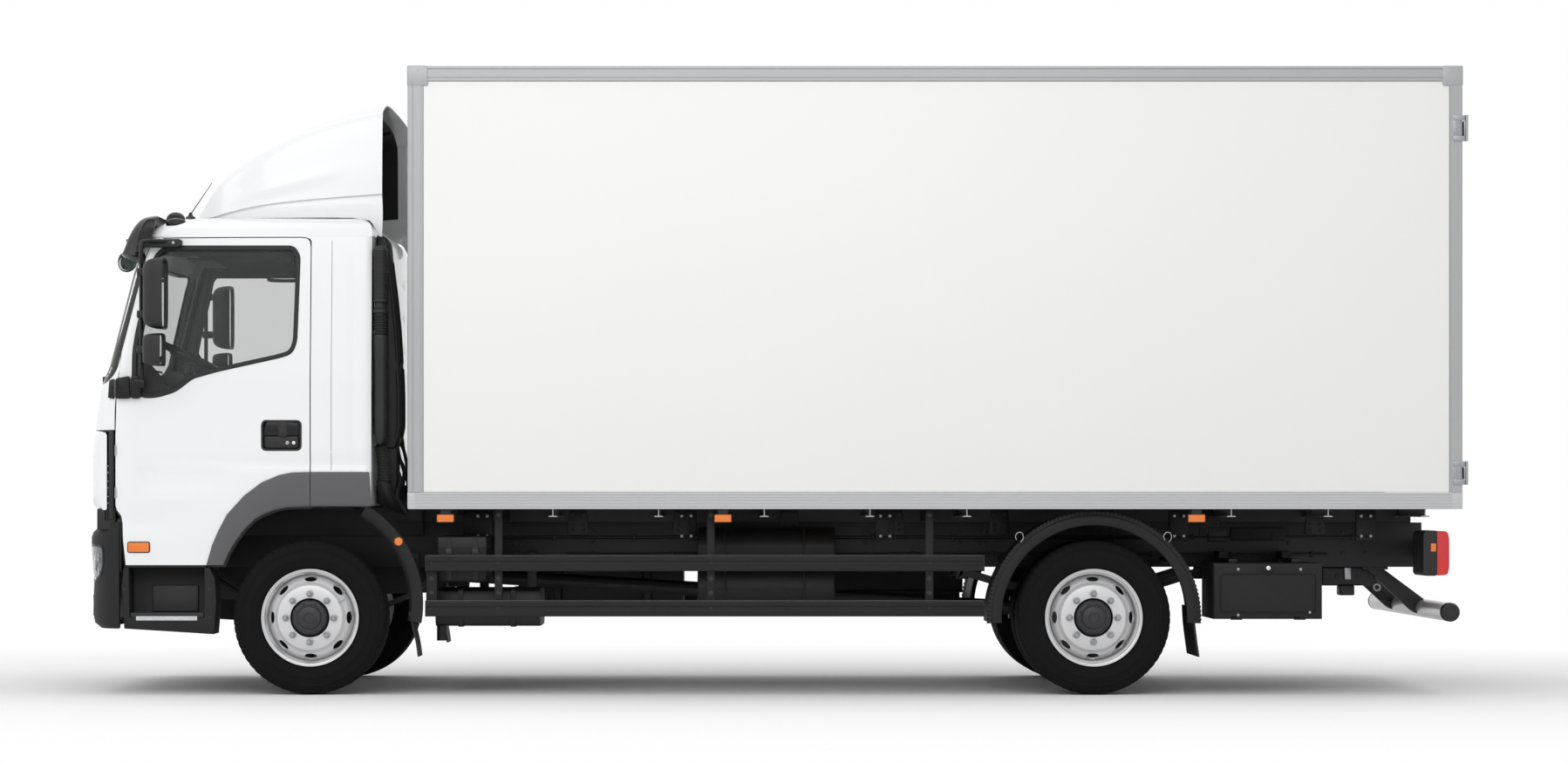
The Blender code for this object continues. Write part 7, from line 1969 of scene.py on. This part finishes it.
for word, side in sides:
    section = [(0.56, 0.88), (0.56, 1.095), (0.567, 1.122), (0.585, 1.141), (0.612, 1.1485), (0.64, 1.1495),
        (0.645, 1.146), (0.641, 1.1405), (0.612, 1.139), (0.59, 1.131), (0.58, 1.112), (0.577, 1.08),
        (0.577, 0.88)]
    middle = (axle["front"], 0.52)
    guardBand("band", section, side, middle, -10, 60, 70)
    flapSheet("flap", [(atX(0.562), 0.47), (atX(0.582), 0.38), (atX(0.602), 0.29), (atX(0.612), 0.217)], side,
        0.905, 1.13, 0.0015)
    tube("arm", [at(0.52, side * 0.433, 0.75), at(0.52, side * 0.955, 0.75)], 0.019, chassisPaint, 16)
    slab("armFoot", at(0.48, side * 0.431, 0.7), at(0.56, side * 0.441, 0.8), chassisPaint)
    spot = at(0.505, side * 1.149, 0.873)
    turned("reflectorRing", [(0.0, -0.004), (0.032, -0.004), (0.032, 0.004), (0.026, 0.007), (0.024, 0.004),
        (0.0, 0.004)], spot, darkPlastic, "Y", side, 32)
    turned("reflector", [(0.0, 0.004), (0.0235, 0.004), (0.022, 0.0065), (0.0, 0.0075)], spot, amberLens, "Y",
        side, 32)
    assemble(f"frontMudguard{word.title()}", "dark_plastic", f"front_mudguard_{word}")

    section = [(0.526, 1.168), (0.528, 1.177), (0.533, 1.18), (0.576, 1.18), (0.581, 1.177), (0.585, 1.171),
        (0.602, 1.17), (0.609, 1.168), (0.611, 1.16), (0.609, 1.144), (0.596, 1.128), (0.592, 1.1),
        (0.592, 0.642), (0.582, 0.64), (0.582, 1.11), (0.574, 1.148), (0.56, 1.165)]
    middle = (axle["rear"], axle["z"])
    guardBand("band", section, side, middle, -3, 183, 320, 0.004, (6, 7, 8, 9))
    flap = [(axle["rear"] + 0.56, 0.5), (axle["rear"] + 0.566, 0.4), (axle["rear"] + 0.578, 0.3),
        (axle["rear"] + 0.59, 0.217)]
    flapSheet("flap", flap, side, 0.662, 1.16, 0.003)
    for reach in (-0.478, 0.478):
        x = axle["rear"] + reach
        tube("arm", [(x, side * 0.433, 0.76), (x, side * 1.1, 0.76)], 0.018, chassisPaint, 16)
        # A spring wire latch over the side flange.
        wire = [(x - 0.022, side * 1.181, 0.862), (x - 0.028, side * 1.184, 0.885),
            (x - 0.012, side * 1.186, 0.905), (x + 0.01, side * 1.186, 0.9), (x + 0.016, side * 1.184, 0.872),
            (x + 0.002, side * 1.182, 0.85)]
        tube("latchWire", smoothPath([(px - reach * 0.12, y, z + 0.02) for px, y, z in wire]), 0.0028, zinc,
            8)
    assemble(f"rearMudguard{word.title()}", "dark_plastic", f"rear_mudguard_{word}")

    # Steps: the moulded box with its well, an aluminium tread, a ribbed back and the screws along its lip
    roundedCopy(f"step_{word}", "stepBox", plastic, 0.008, 3)
    slab("tread", at(-1.012, side * 0.994, 0.4405), at(-0.612, side * 1.14, 0.462), treadPlate, 0.004)
    slab("treadFrame", at(-1.02, side * 1.134, 0.4405), at(-0.604, side * 1.146, 0.468), darkPlastic)
    slab("treadEdge", at(-0.988, side * 1.1485, 0.424), at(-0.641, side * 1.1498, 0.448), treadPlate, 0)
    slab("backPanel", at(-0.919, side * 0.9905, 0.47), at(-0.656, side * 1.001, 0.622), darkPlastic, 0.005, 3)
    slab("upperLip", at(-1.04, side * 1.12, 0.7255), at(-0.59, side * 1.1495, 0.742), darkPlastic, 0.005)
    boltOn([at(-1.052, side * 1.1482, 0.6), at(-0.568, side * 1.1482, 0.6), at(-0.568, side * 1.1482, 0.44)],
        side, 0.007, 0.003, darkPlastic)
    assemble(f"step{word.title()}", "dark_plastic", f"step_{word}")

# Toolbox and its lid, with a lock in a recess
roundedCopy("toolbox", "toolboxBody", plastic, 0.008, 3)
for x in (2.62, 2.98):
    slab("toolboxHanger", (x, -1.02, 0.748), (x + 0.05, -0.433, 0.772), chassisPaint, 0.004)
assemble("toolbox", "dark_plastic", "toolbox")
roundedCopy("toolbox_lid", "lidPanel", plastic, 0.006, 3)
low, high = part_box("toolbox_lid")
face = low[1]
frameLine = ringed([(low[0] + 0.035, 0.47), (high[0] - 0.035, 0.47), (high[0] - 0.035, 0.69),
    (low[0] + 0.035, 0.69)], 0.02, 5)
frameLine = [(x, face - 0.0005, z) for x, z in frameLine]
tube("pressedLine", frameLine + frameLine[:1], 0.0022, plastic, 8)
slab("lockRecess", (2.795, face - 0.0025, 0.703), (2.857, face + 0.001, 0.741), glossBlack, 0.006, 3)
turned("lockBarrel", [(0.0, 0.0), (0.0125, 0.0), (0.012, 0.005), (0.009, 0.007), (0.003, 0.007),
    (0.003, 0.004), (0.0, 0.004)], (2.826, face - 0.002, 0.722), chrome, "Y", -1, 28)
boltOn([(3.01, face, 0.715), (2.655, face, 0.715), (3.062, face, 0.47), (2.655, face, 0.455)], -1, 0.0055,
    0.003, zinc)
assemble("toolboxLid", "dark_plastic", "toolbox_lid", body="toolbox_lid")

# Battery box, silencer, air tanks and fuel tank, each with the straps that hold it
low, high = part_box("battery_box")
roundedCopy("battery_box", "batteryBody", plastic, 0.01, 3)
slab("batteryLid", (low[0] - 0.001, low[1] - 0.001, high[2] - 0.07),
    (high[0] + 0.001, -0.55, high[2] + 0.0006), darkPlastic, 0.008, 3)
for x in (low[0] + 0.05, high[0] - 0.08):
    slab("batteryStrap", (x, low[1] - 0.004, low[2] + 0.01), (x + 0.03, low[1] + 0.002, high[2] - 0.01), seal,
        0.002)
    slab("buckle", (x - 0.004, low[1] - 0.012, 0.79), (x + 0.034, low[1] - 0.002, 0.83), hubPaint)
assemble("batteryBox", "dark_plastic", "battery_box")
roundedCopy("silencer", "silencerBody", chassisPaint, 0.012, 3)
for x in (atX(0.83), atX(1.13)):
    outline = ringed([(-0.984, 0.381), (-0.476, 0.381), (-0.476, 0.604), (-0.984, 0.604)], 0.03, 5)
    prism("band", outline, "X", x, x + 0.03, chassisPaint, 0.002)
assemble("silencer", "chassis_black", "silencer")
roundedCopy("air_tanks", "tankBodies", chassisPaint, 0.01, 3)
for z in (0.6, 0.84):
    for x in (atX(2.36), atX(2.82)):
        ring = [(x, -0.62 + 0.1125 * math.cos(math.tau * k / 48), z + 0.1125 * math.sin(math.tau * k / 48))
            for k in range(49)]
        tube("tankStrap", ring, 0.006, seal, 8)
assemble("airTanks", "chassis_black", "air_tanks")
low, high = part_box("fuel_tank")
roundedCopy("fuel_tank", "tankBody", chassisPaint, 0.012, 3)
for x in (atX(1.28), atX(1.86)):
    outline = ringed([(0.556, 0.426), (1.084, 0.426), (1.084, 0.934), (0.556, 0.934)], 0.074, 8)
    prism("tankStrap", outline, "X", x, x + 0.045, hubPaint, 0.002)
    slab("tankBracket", (x - 0.01, 0.433, 0.72), (x + 0.055, 0.575, 0.9), chassisPaint, 0.006)
turned("fillerNeck", [(0.0, 0.0), (0.046, 0.0), (0.046, 0.03), (0.056, 0.032), (0.058, 0.052), (0.05, 0.06),
    (0.0, 0.061)], at(1.55, 0.86, 0.929), darkPlastic, "Z", 1, 36)
assemble("fuelTank", "chassis_black", "fuel_tank")
for word, side in sides:
    roundedCopy(f"knuckle_{word}", "knuckleBody", chassisPaint, 0.006)
    assemble(f"knuckle{word.title()}", "chassis_black", f"knuckle_{word}", body=f"knuckle_{word}")
stage("under the box")

# Inside the cab: linings, dashboard, wheel, controls and seats

cabin = {"rear": 0.326, "roof": 2.64, "floor": 1.1305, "half": 1.045}
# Roof lining: it drops at its edges, z = roof - 0.11 * (|y| / half)^8.
rows = []
for u in np.linspace(-0.9, cabin["rear"], 24):
    rows.append([at(u, y, cabin["roof"] - 0.11 * abs(y / cabin["half"]) ** 8 - 0.03 * slopeOf(-u, 0.75, 0.9))
        for y in np.linspace(-cabin["half"], cabin["half"], 60)])
thickGrid("roofLining", rows, moved(rows, 0, 0, 0.008), darkLining, smooth=60)
rows = []
for z in np.linspace(1.16, 2.6, 30):
    # The rear lining is quilted in broad fields: depth 6 mm * |sin| of both directions.
    rows.append([(atX(cabin["rear"]) - 0.012
        - 0.006 * abs(math.sin(math.pi * z / 0.36) * math.sin(math.pi * y / 0.34)), y, z)
        for y in np.linspace(-cabin["half"], cabin["half"], 64)])
thickGrid("rearLining", rows, moved(rows, 0.006, 0, 0), lining, smooth=60)
rows = []
for u in np.linspace(-1.0, cabin["rear"] - 0.015, 26):
    rows.append([at(u, y, cabin["floor"] + 0.0035 + 0.0012 * math.sin(math.tau * y / 0.03))
        for y in np.linspace(-1.04, 1.04, 208)])
thickGrid("floorMat", rows, moved(rows, 0, 0, -0.003), seal, smooth=60)
for side in (-1, 1):
    # Pillar trims beside the windscreen and behind the doors, and the rail over the door.
    front = [at(-1.035, side * 1.035, 1.86), at(-0.965, side * 1.035, 2.2), at(-0.895, side * 1.02, 2.52)]
    tube("pillarTrim", smoothPath(front), 0.03, lining, 16)
    slab("rearPillarTrim", at(0.12, side * 1.045, 1.16), at(cabin["rear"], side * 1.068, 2.56), lining, 0.01)
    slab("cantRail", at(-0.88, side * 1.0, 2.505), at(0.3, side * 1.046, 2.59), darkLining, 0.018, 3)
    for u in (-0.5, -0.18):
        grab = [at(u, side * 1.0, 2.52), at(u, side * 0.96, 2.49), at(u + 0.2, side * 0.96, 2.49),
            at(u + 0.2, side * 1.0, 2.52)]
        if u > -0.3 or side > 0:
            tube("grabHandle", smoothPath(grab, 5), 0.011, darkPlastic)
    hook = [at(-0.12, side * 0.995, 2.505), at(-0.118, side * 0.975, 2.47), at(-0.112, side * 0.96, 2.475)]
    tube("coatHook", smoothPath(hook, 5), 0.006, darkPlastic, 10)
    visorLine = ringed([(atX(-0.905), side * 0.16), (atX(-0.905), side * 0.88), (atX(-0.76), side * 0.88),
        (atX(-0.76), side * 0.16)], 0.02)
    prism("sunFlap", visorLine, "Z", 2.56, 2.576, lining, 0.006, 3)
assemble("cabLinings", "dark_plastic")

# Dashboard: the moulded body with a binnacle over the dials, vents, a screen, a radio, a lid, levers and
# pedals
roundedCopy("dashboard", "dashBody", darkPlastic, 0.016, 3)
hood = [(-0.93, 1.812), (-0.86, 1.868), (-0.77, 1.842), (-0.745, 1.79), (-0.775, 1.75), (-0.9, 1.77)]
prism("binnacle", [(atX(u), z) for u, z in hood], "Y", -0.79, -0.31, darkPlastic, 0.014, 3)
for y in (-0.67, -0.43):
    dial = [(0.0, 0.0), (0.052, 0.0), (0.056, 0.005), (0.053, 0.009), (0.049, 0.004), (0.0, 0.003)]
    turned("dial", dial, at(-0.768, y, 1.8), glossBlack, "X", 1, 36)
for y in (-0.9, -0.17, 0.05, 0.9):
    slab("ventFrame", at(-0.772, y - 0.06, 1.64), at(-0.744, y + 0.06, 1.716), glossBlack, 0.006)
    for k in range(5):
        slab("ventBlade", at(-0.748, y - 0.052, 1.65 + 0.0135 * k), at(-0.738, y + 0.052, 1.654 + 0.0135 * k),
            plastic, 0)
slab("screen", at(-0.778, -0.095, 1.725), at(-0.748, 0.13, 1.745), glossBlack, 0.004)
slab("radio", at(-0.77, -0.11, 1.56), at(-0.744, 0.09, 1.62), glossBlack, 0.005)
for y in (-0.085, -0.01, 0.065):
    knob = [(0.0, 0.0), (0.018, 0.0), (0.017, 0.016), (0.0, 0.018)]
    turned("knob", knob, at(-0.746, y, 1.59), plastic, "X", 1, 24)
slab("gloveLid", at(-0.772, 0.33, 1.53), at(-0.752, 0.8, 1.63), plastic, 0.01, 3)
slab("consoleTop", at(-0.96, -0.18, 1.548), at(-0.815, 0.18, 1.556), plastic, 0.004)
lever = [at(-0.85, 0.02, 1.5), at(-0.8, 0.02, 1.62), at(-0.77, 0.02, 1.7)]
tube("gearLever", smoothPath(lever, 5), 0.009, chrome, 14)
turned("gearKnob", [(0.0, -0.03), (0.018, -0.028), (0.026, 0.0), (0.024, 0.02), (0.01, 0.032), (0.0, 0.033)],
    at(-0.766, 0.02, 1.715), glossBlack, "Z", 1, 28)
for y, wide in ((-0.78, 0.055), (-0.64, 0.06), (-0.5, 0.045)):
    pad = [at(-0.905, y, 1.24), at(-0.89, y, 1.31)]
    slab("pedalPad", (pad[0][0], y - wide / 2, 1.215), (pad[0][0] + 0.014, y + wide / 2, 1.31), seal, 0.004)
    tube("pedalArm", [(pad[0][0] - 0.004, y, 1.27), at(-0.96, y, 1.4), at(-0.985, y, 1.52)], 0.009,
        chassisPaint, 10)
assemble("dashboard", "dark_plastic", "dashboard")

# Steering wheel: rim, four spokes, hub pad and column, tilted about its middle
wheel = {"u": -0.82, "y": -0.55, "z": 1.97, "tilt": 25.0, "ring": 0.222, "grip": 0.015}
tilt = math.radians(wheel["tilt"])
middle = Vector(at(wheel["u"], wheel["y"], wheel["z"]))
up = Vector((math.sin(tilt), 0, math.cos(tilt)))
ahead = Vector((-math.cos(tilt), 0, math.sin(tilt)))
across = Vector((0, 1, 0))
rings = []
for k in range(72):
    t = math.tau * k / 72
    out = ahead * math.cos(t) + across * math.sin(t)
    thick = wheel["grip"] * (1 + 0.1 * bumpOf(abs(math.sin(t)), 0.95, 0.3))
    rings.append([middle + out * (wheel["ring"] + thick * math.cos(math.tau * j / 18))
        + up * (thick * math.sin(math.tau * j / 18)) for j in range(18)])
loft("wheelRim", rings + rings[:1], glossBlack, caps=False, smooth=60)
for angle in (-112, -68, 68, 112):
    t = math.radians(angle)
    out = ahead * math.cos(t) + across * math.sin(t)
    spoke = [middle + out * 0.06 - up * 0.012, middle + out * 0.14 - up * 0.01,
        middle + out * (wheel["ring"] - 0.004)]
    tube("spoke", smoothPath([tuple(p) for p in spoke], 5), 0.016, darkPlastic, 14, oval=0.55)
hubRings = [[middle + (ahead * math.cos(math.tau * j / 40) * 0.9
    + across * math.sin(math.tau * j / 40)) * radius + up * rise for j in range(40)]
    for radius, rise in ((0.03, -0.045), (0.07, -0.034), (0.08, -0.012), (0.076, 0.004), (0.06, 0.014),
    (0.02, 0.018))]
loft("hubPad", hubRings, darkPlastic, smooth=50)
tube("column", [middle - up * 0.04, middle - up * 0.15, middle - up * 0.33 + ahead * 0.02],
    [0.04, 0.044, 0.038], darkPlastic, 28)
for sign in (-1, 1):
    stalk = [middle - up * 0.075 + across * (sign * 0.04), middle - up * 0.06 + across * (sign * 0.12),
        middle - up * 0.05 + across * (sign * 0.165)]
    tube("stalk", [tuple(p) for p in stalk], [0.008, 0.007, 0.01], darkPlastic)
assemble("steeringWheel", "dark_plastic", "steering_wheel")


# Seats. A pad is a crowned block: |a|^4 + |b|^4 = 1 across, pulled in towards its ends, then blown up by
# simulation.

# Sections down a spine of (x, z), each a rounded rectangle of half width and half thickness
def padShape(name, spine, wide, thick, material):
    spine = [Vector((x, 0, z)) for x, z in smoothPath(spine)]
    rings = []
    for i, point in enumerate(spine):
        ahead = (spine[min(i + 1, len(spine) - 1)] - spine[max(i - 1, 0)]).normalized()
        normal = Vector((-ahead.z, 0, ahead.x))
        t = i / (len(spine) - 1)
        pull = (1 - (2 * t - 1) ** 8 * 0.45)
        ring = []
        for k in range(40):
            angle = math.tau * k / 40
            a = math.copysign(abs(math.cos(angle)) ** 0.5, math.cos(angle))
            b = math.copysign(abs(math.sin(angle)) ** 0.5, math.sin(angle))
            ring.append(point + Vector((0, a * wide * (0.9 + 0.1 * pull), 0)) + normal * (b * thick * pull))
        rings.append(ring)
    return loft(name, rings, material, smooth=60)


# Remesh the pad, let air pressure round it off as cloth, and keep every point within a cap of where it was
def inflated(piece, voxel=0.008, cap=0.024):
    bake(piece, "REMESH", mode="VOXEL", voxel_size=voxel)
    before = np.array([v.co for v in piece.data.vertices])
    cloth = piece.modifiers.new("blow", "CLOTH")
    cloth.settings.use_pressure = True
    cloth.settings.uniform_pressure_force = 4.0
    cloth.settings.effector_weights.gravity = 0.0
    cloth.settings.quality = 4
    cloth.point_cache.frame_start, cloth.point_cache.frame_end = 1, 20
    for step in range(1, 21):
        bpy.context.scene.frame_set(step)
    shown = bpy.context.evaluated_depsgraph_get()
    after = np.array([v.co for v in piece.evaluated_get(shown).data.vertices])
    piece.modifiers.clear()
    bpy.context.scene.frame_set(1)
    move = after - before
    far = np.linalg.norm(move, axis=1, keepdims=True)
    before = before + move * np.minimum(1.0, cap / np.maximum(far, 1e-9))
    piece.data.vertices.foreach_set("co", before.ravel())
    piece.data.shade_smooth()
    return bake(piece, "SUBSURF", levels=1, render_levels=1)


# Press sewn channels into a pad: each line is a place along an axis, the surface sinks by a rounded groove
def sewn(piece, lines, axisName, depth=0.006, width=0.009):
    points = np.array([v.co for v in piece.data.vertices])
    normals = np.array([v.normal for v in piece.data.vertices])
    along = points[:, {"X": 0, "Y": 1, "Z": 2}[axisName]]
    sink = sum(np.exp(-((along - line) / width) ** 2) for line in lines)
    piece.data.vertices.foreach_set("co", (points - normals * (depth * np.minimum(sink, 1))[:, None]).ravel())
    piece.data.update()
    return piece


seat = {"half": 0.205, "y": 0.56}
cushionSpine = [(atX(-0.585), 1.545), (atX(-0.5), 1.545), (atX(-0.35), 1.54), (atX(-0.2), 1.535),
    (atX(-0.13), 1.54)]
backSpine = [(atX(-0.075), 1.62), (atX(-0.03), 1.8), (atX(0.01), 2.0), (atX(0.04), 2.18)]
headSpine = [(atX(0.038), 2.255), (atX(0.046), 2.32), (atX(0.05), 2.385)]
cushion = sewn(inflated(padShape("cushion", cushionSpine, seat["half"], 0.034, seatCloth)), (-0.125, 0.125),
    "Y")
cushion = sewn(cushion, at(-0.5, atX(-0.36), atX(-0.22)), "X", 0.004)
back = sewn(inflated(padShape("back", backSpine, seat["half"] - 0.005, 0.036, seatCloth)), (-0.12, 0.12), "Y")
back = sewn(back, (1.74, 1.88, 2.02), "Z", 0.004)
head = inflated(padShape("headRest", headSpine, 0.12, 0.026, seatCloth), cap=0.016)
for word, side in sides:
    place = Matrix.Translation((0, side * seat["y"], 0))
    for source, name in ((cushion, "Cushion"), (back, "Back"), (head, "Head")):
        pad = source.copy()
        pad.data = source.data.copy()
        pad.name = f"seat{name}{word.title()}"
        bpy.context.collection.objects.link(pad)
        pad.data.transform(place)
        if name == "Cushion":
            put(pad, "chassis", "seat_cloth", f"seat_{word}")
        else:
            put(pad, "chassis", "seat_cloth")
    y = side * seat["y"]
    slab("pan", at(-0.59, y - 0.215, 1.478), at(-0.11, y + 0.215, 1.505), darkPlastic, 0.012, 3)
    rings = []
    for k in range(27):
        z = 1.18 + k * 0.0112
        size = 1.0 if k % 2 else 0.9
        rings.append([(x, yy, z) for x, yy in ringed([(atX(-0.5) - 0.02 * size, y - 0.14 * size),
            (atX(-0.16) + 0.02 * size, y - 0.14 * size), (atX(-0.16) + 0.02 * size, y + 0.14 * size),
            (atX(-0.5) - 0.02 * size, y + 0.14 * size)], 0.03, 3)])
    loft("bellows", rings, seal, smooth=50)
    slab("seatFoot", at(-0.525, y - 0.155, 1.135), at(-0.135, y + 0.155, 1.19), chassisPaint, 0.01)
    shell = [(-0.12, 1.5), (-0.095, 1.5), (-0.035, 1.62), (0.01, 1.8), (0.055, 2.0), (0.088, 2.19),
        (0.072, 2.2), (0.035, 2.01), (-0.01, 1.81), (-0.055, 1.63)]
    prism("backShell", [(atX(u), z) for u, z in shell], "Y", y - 0.195, y + 0.195, darkPlastic, 0.01, 3)
    for dy in (-0.055, 0.055):
        tube("headPost", [at(0.046, y + dy, 2.15), at(0.048, y + dy, 2.28)], 0.006, chrome)
    belt = [(atX(-0.02) + 0.02, y + side * 0.155, 2.16), at(-0.08, y + side * 0.15, 2.06),
        at(-0.11, y + side * 0.15, 1.85), at(-0.14, y + side * 0.16, 1.64)]
    edges = [[(x, yy - 0.024, z) for x, yy, z in smoothPath(belt)],
        [(x, yy + 0.024, z) for x, yy, z in smoothPath(belt)]]
    thickGrid("belt", edges, moved(edges, 0.0015, 0, 0), seal)
    arm = [at(-0.06, y - side * 0.225, 1.75), at(-0.15, y - side * 0.228, 1.765),
        at(-0.34, y - side * 0.228, 1.76)]
    tube("armRest", smoothPath(arm), 0.026, darkPlastic, 20)
    assemble(f"seatFrame{word.title()}", "dark_plastic")
for source in (cushion, back, head):
    bpy.data.objects.remove(source)
stage("inside the cab")

# Camera: far to the left of the truck, level, its frame shifted as the photograph's is

bpy.context.scene.view_settings.view_transform = "Standard"
camera = bpy.data.objects.new("camera", bpy.data.cameras.new("camera"))
bpy.context.scene.collection.objects.link(camera)
bpy.context.scene.camera = camera
# In pixels: the picture's width, its middle and the spot that the camera stands square to. In metres: one
# pixel at the plane of the near wheels, that plane, and how far the camera is from it.
photo = {"wide": 1798, "middle": (899, 437.5), "square": (845, 575), "pixel": 0.00496, "plane": -1.15,
    "away": 20.2}
sensor = 36.0
camera.data.sensor_width = sensor
camera.data.lens = sensor * photo["away"] / (photo["wide"] * photo["pixel"])
camera.data.shift_x = (photo["middle"][0] - photo["square"][0]) / photo["wide"]
camera.data.shift_y = (photo["square"][1] - photo["middle"][1]) / photo["wide"]
camera.location = (-0.1955, photo["plane"] - photo["away"], 1.101)
camera.rotation_euler = (math.radians(90), 0, 0)
camera.data.clip_end = 200


# Light and floor

def areaLight(name, spot, aim, size, power):
    light = bpy.data.objects.new(name, bpy.data.lights.new(name, "AREA"))
    bpy.context.scene.collection.objects.link(light)
    light.data.shape = "RECTANGLE"
    light.data.size, light.data.size_y = size
    light.data.energy = power
    light.location = spot
    light.rotation_euler = (Vector(aim) - Vector(spot)).to_track_quat("-Z", "Y").to_euler()
    return light


areaLight("frontSoft", (-3.0, -13.0, 8.5), (0.0, -1.0, 1.6), (14.0, 7.0), 430)
areaLight("noseSoft", (-13.0, -4.0, 6.0), (-3.0, 0.0, 1.5), (7.0, 5.0), 110)
areaLight("topSoft", (0.0, 0.0, 11.0), (0.0, 0.0, 0.0), (14.0, 8.0), 240)

world = bpy.data.worlds.new("studio")
bpy.context.scene.world = world
world.use_nodes = True
tree = world.node_tree
rays = addNode(tree, "LightPath", {}).outputs
reflected = joined(tree, rays["Is Glossy Ray"], rays["Is Transmission Ray"], "MAXIMUM")
seen = joined(tree, rays["Is Camera Ray"], reflected, "MAXIMUM")
feed(tree, tree.nodes["Background"], {"Color": (1, 1, 1, 1), "Strength": ranged(tree, seen, 0.74, 1.0)})

# Far from the truck the floor is plain white to the camera, so that it meets the background without an edge.
floorMaterial, tree, shader = newMaterial("studioFloor")
where = objectPlace(tree)
feed(tree, shader, {"Roughness": 0.95, "Specular IOR Level": 0.1,
    "Base Color": ranged(tree, noiseOf(tree, where, 0.6), 0.935, 0.945)})
squeezed = addNode(tree, "VectorMath", {0: where, 1: (0.5, 1.0, 1.0)}, operation="MULTIPLY").outputs[0]
reach = addNode(tree, "VectorMath", {0: squeezed}, operation="LENGTH").outputs["Value"]
toCamera = addNode(tree, "LightPath", {}).outputs["Is Camera Ray"]
shown = joined(tree, ranged(tree, reach, 0.0, 1.0, 2.6, 6.0), toCamera)
white = addNode(tree, "Emission", {}).outputs[0]
blend = addNode(tree, "MixShader", {0: shown, 1: shader.outputs[0], 2: white}).outputs[0]
feed(tree, tree.nodes["Material Output"], {"Surface": blend})
floor = meshPiece("studioFloorPlane", [(-90, -60, -0.0005), (90, -60, -0.0005), (90, 120, -0.0005),
    (-90, 120, -0.0005)], [(0, 1, 2, 3)], floorMaterial)
stage("stage")

# The finish of each of the frame's own nodes, by its slot
slotFinish = {"chassis_black": chassisPaint, "rubber": rubber, "wheel_silver": silver, "aluminium": aluminium,
    "dark_plastic": plastic, "red_lens": redLens, "headlamp": clearLens, "white_paint": paint,
    "glass": windowGlass, "seat_cloth": seatCloth, "box_panel": panelSkin}
slotOf = {part["node"]: part["material_slot"] for part in frame["record"]["subparts"]}
for nodeName, piece in frame["nodes"].items():
    for place in piece.material_slots:
        place.material = slotFinish[slotOf[nodeName]]
stage("finishes")


bpy.context.view_layer.update()
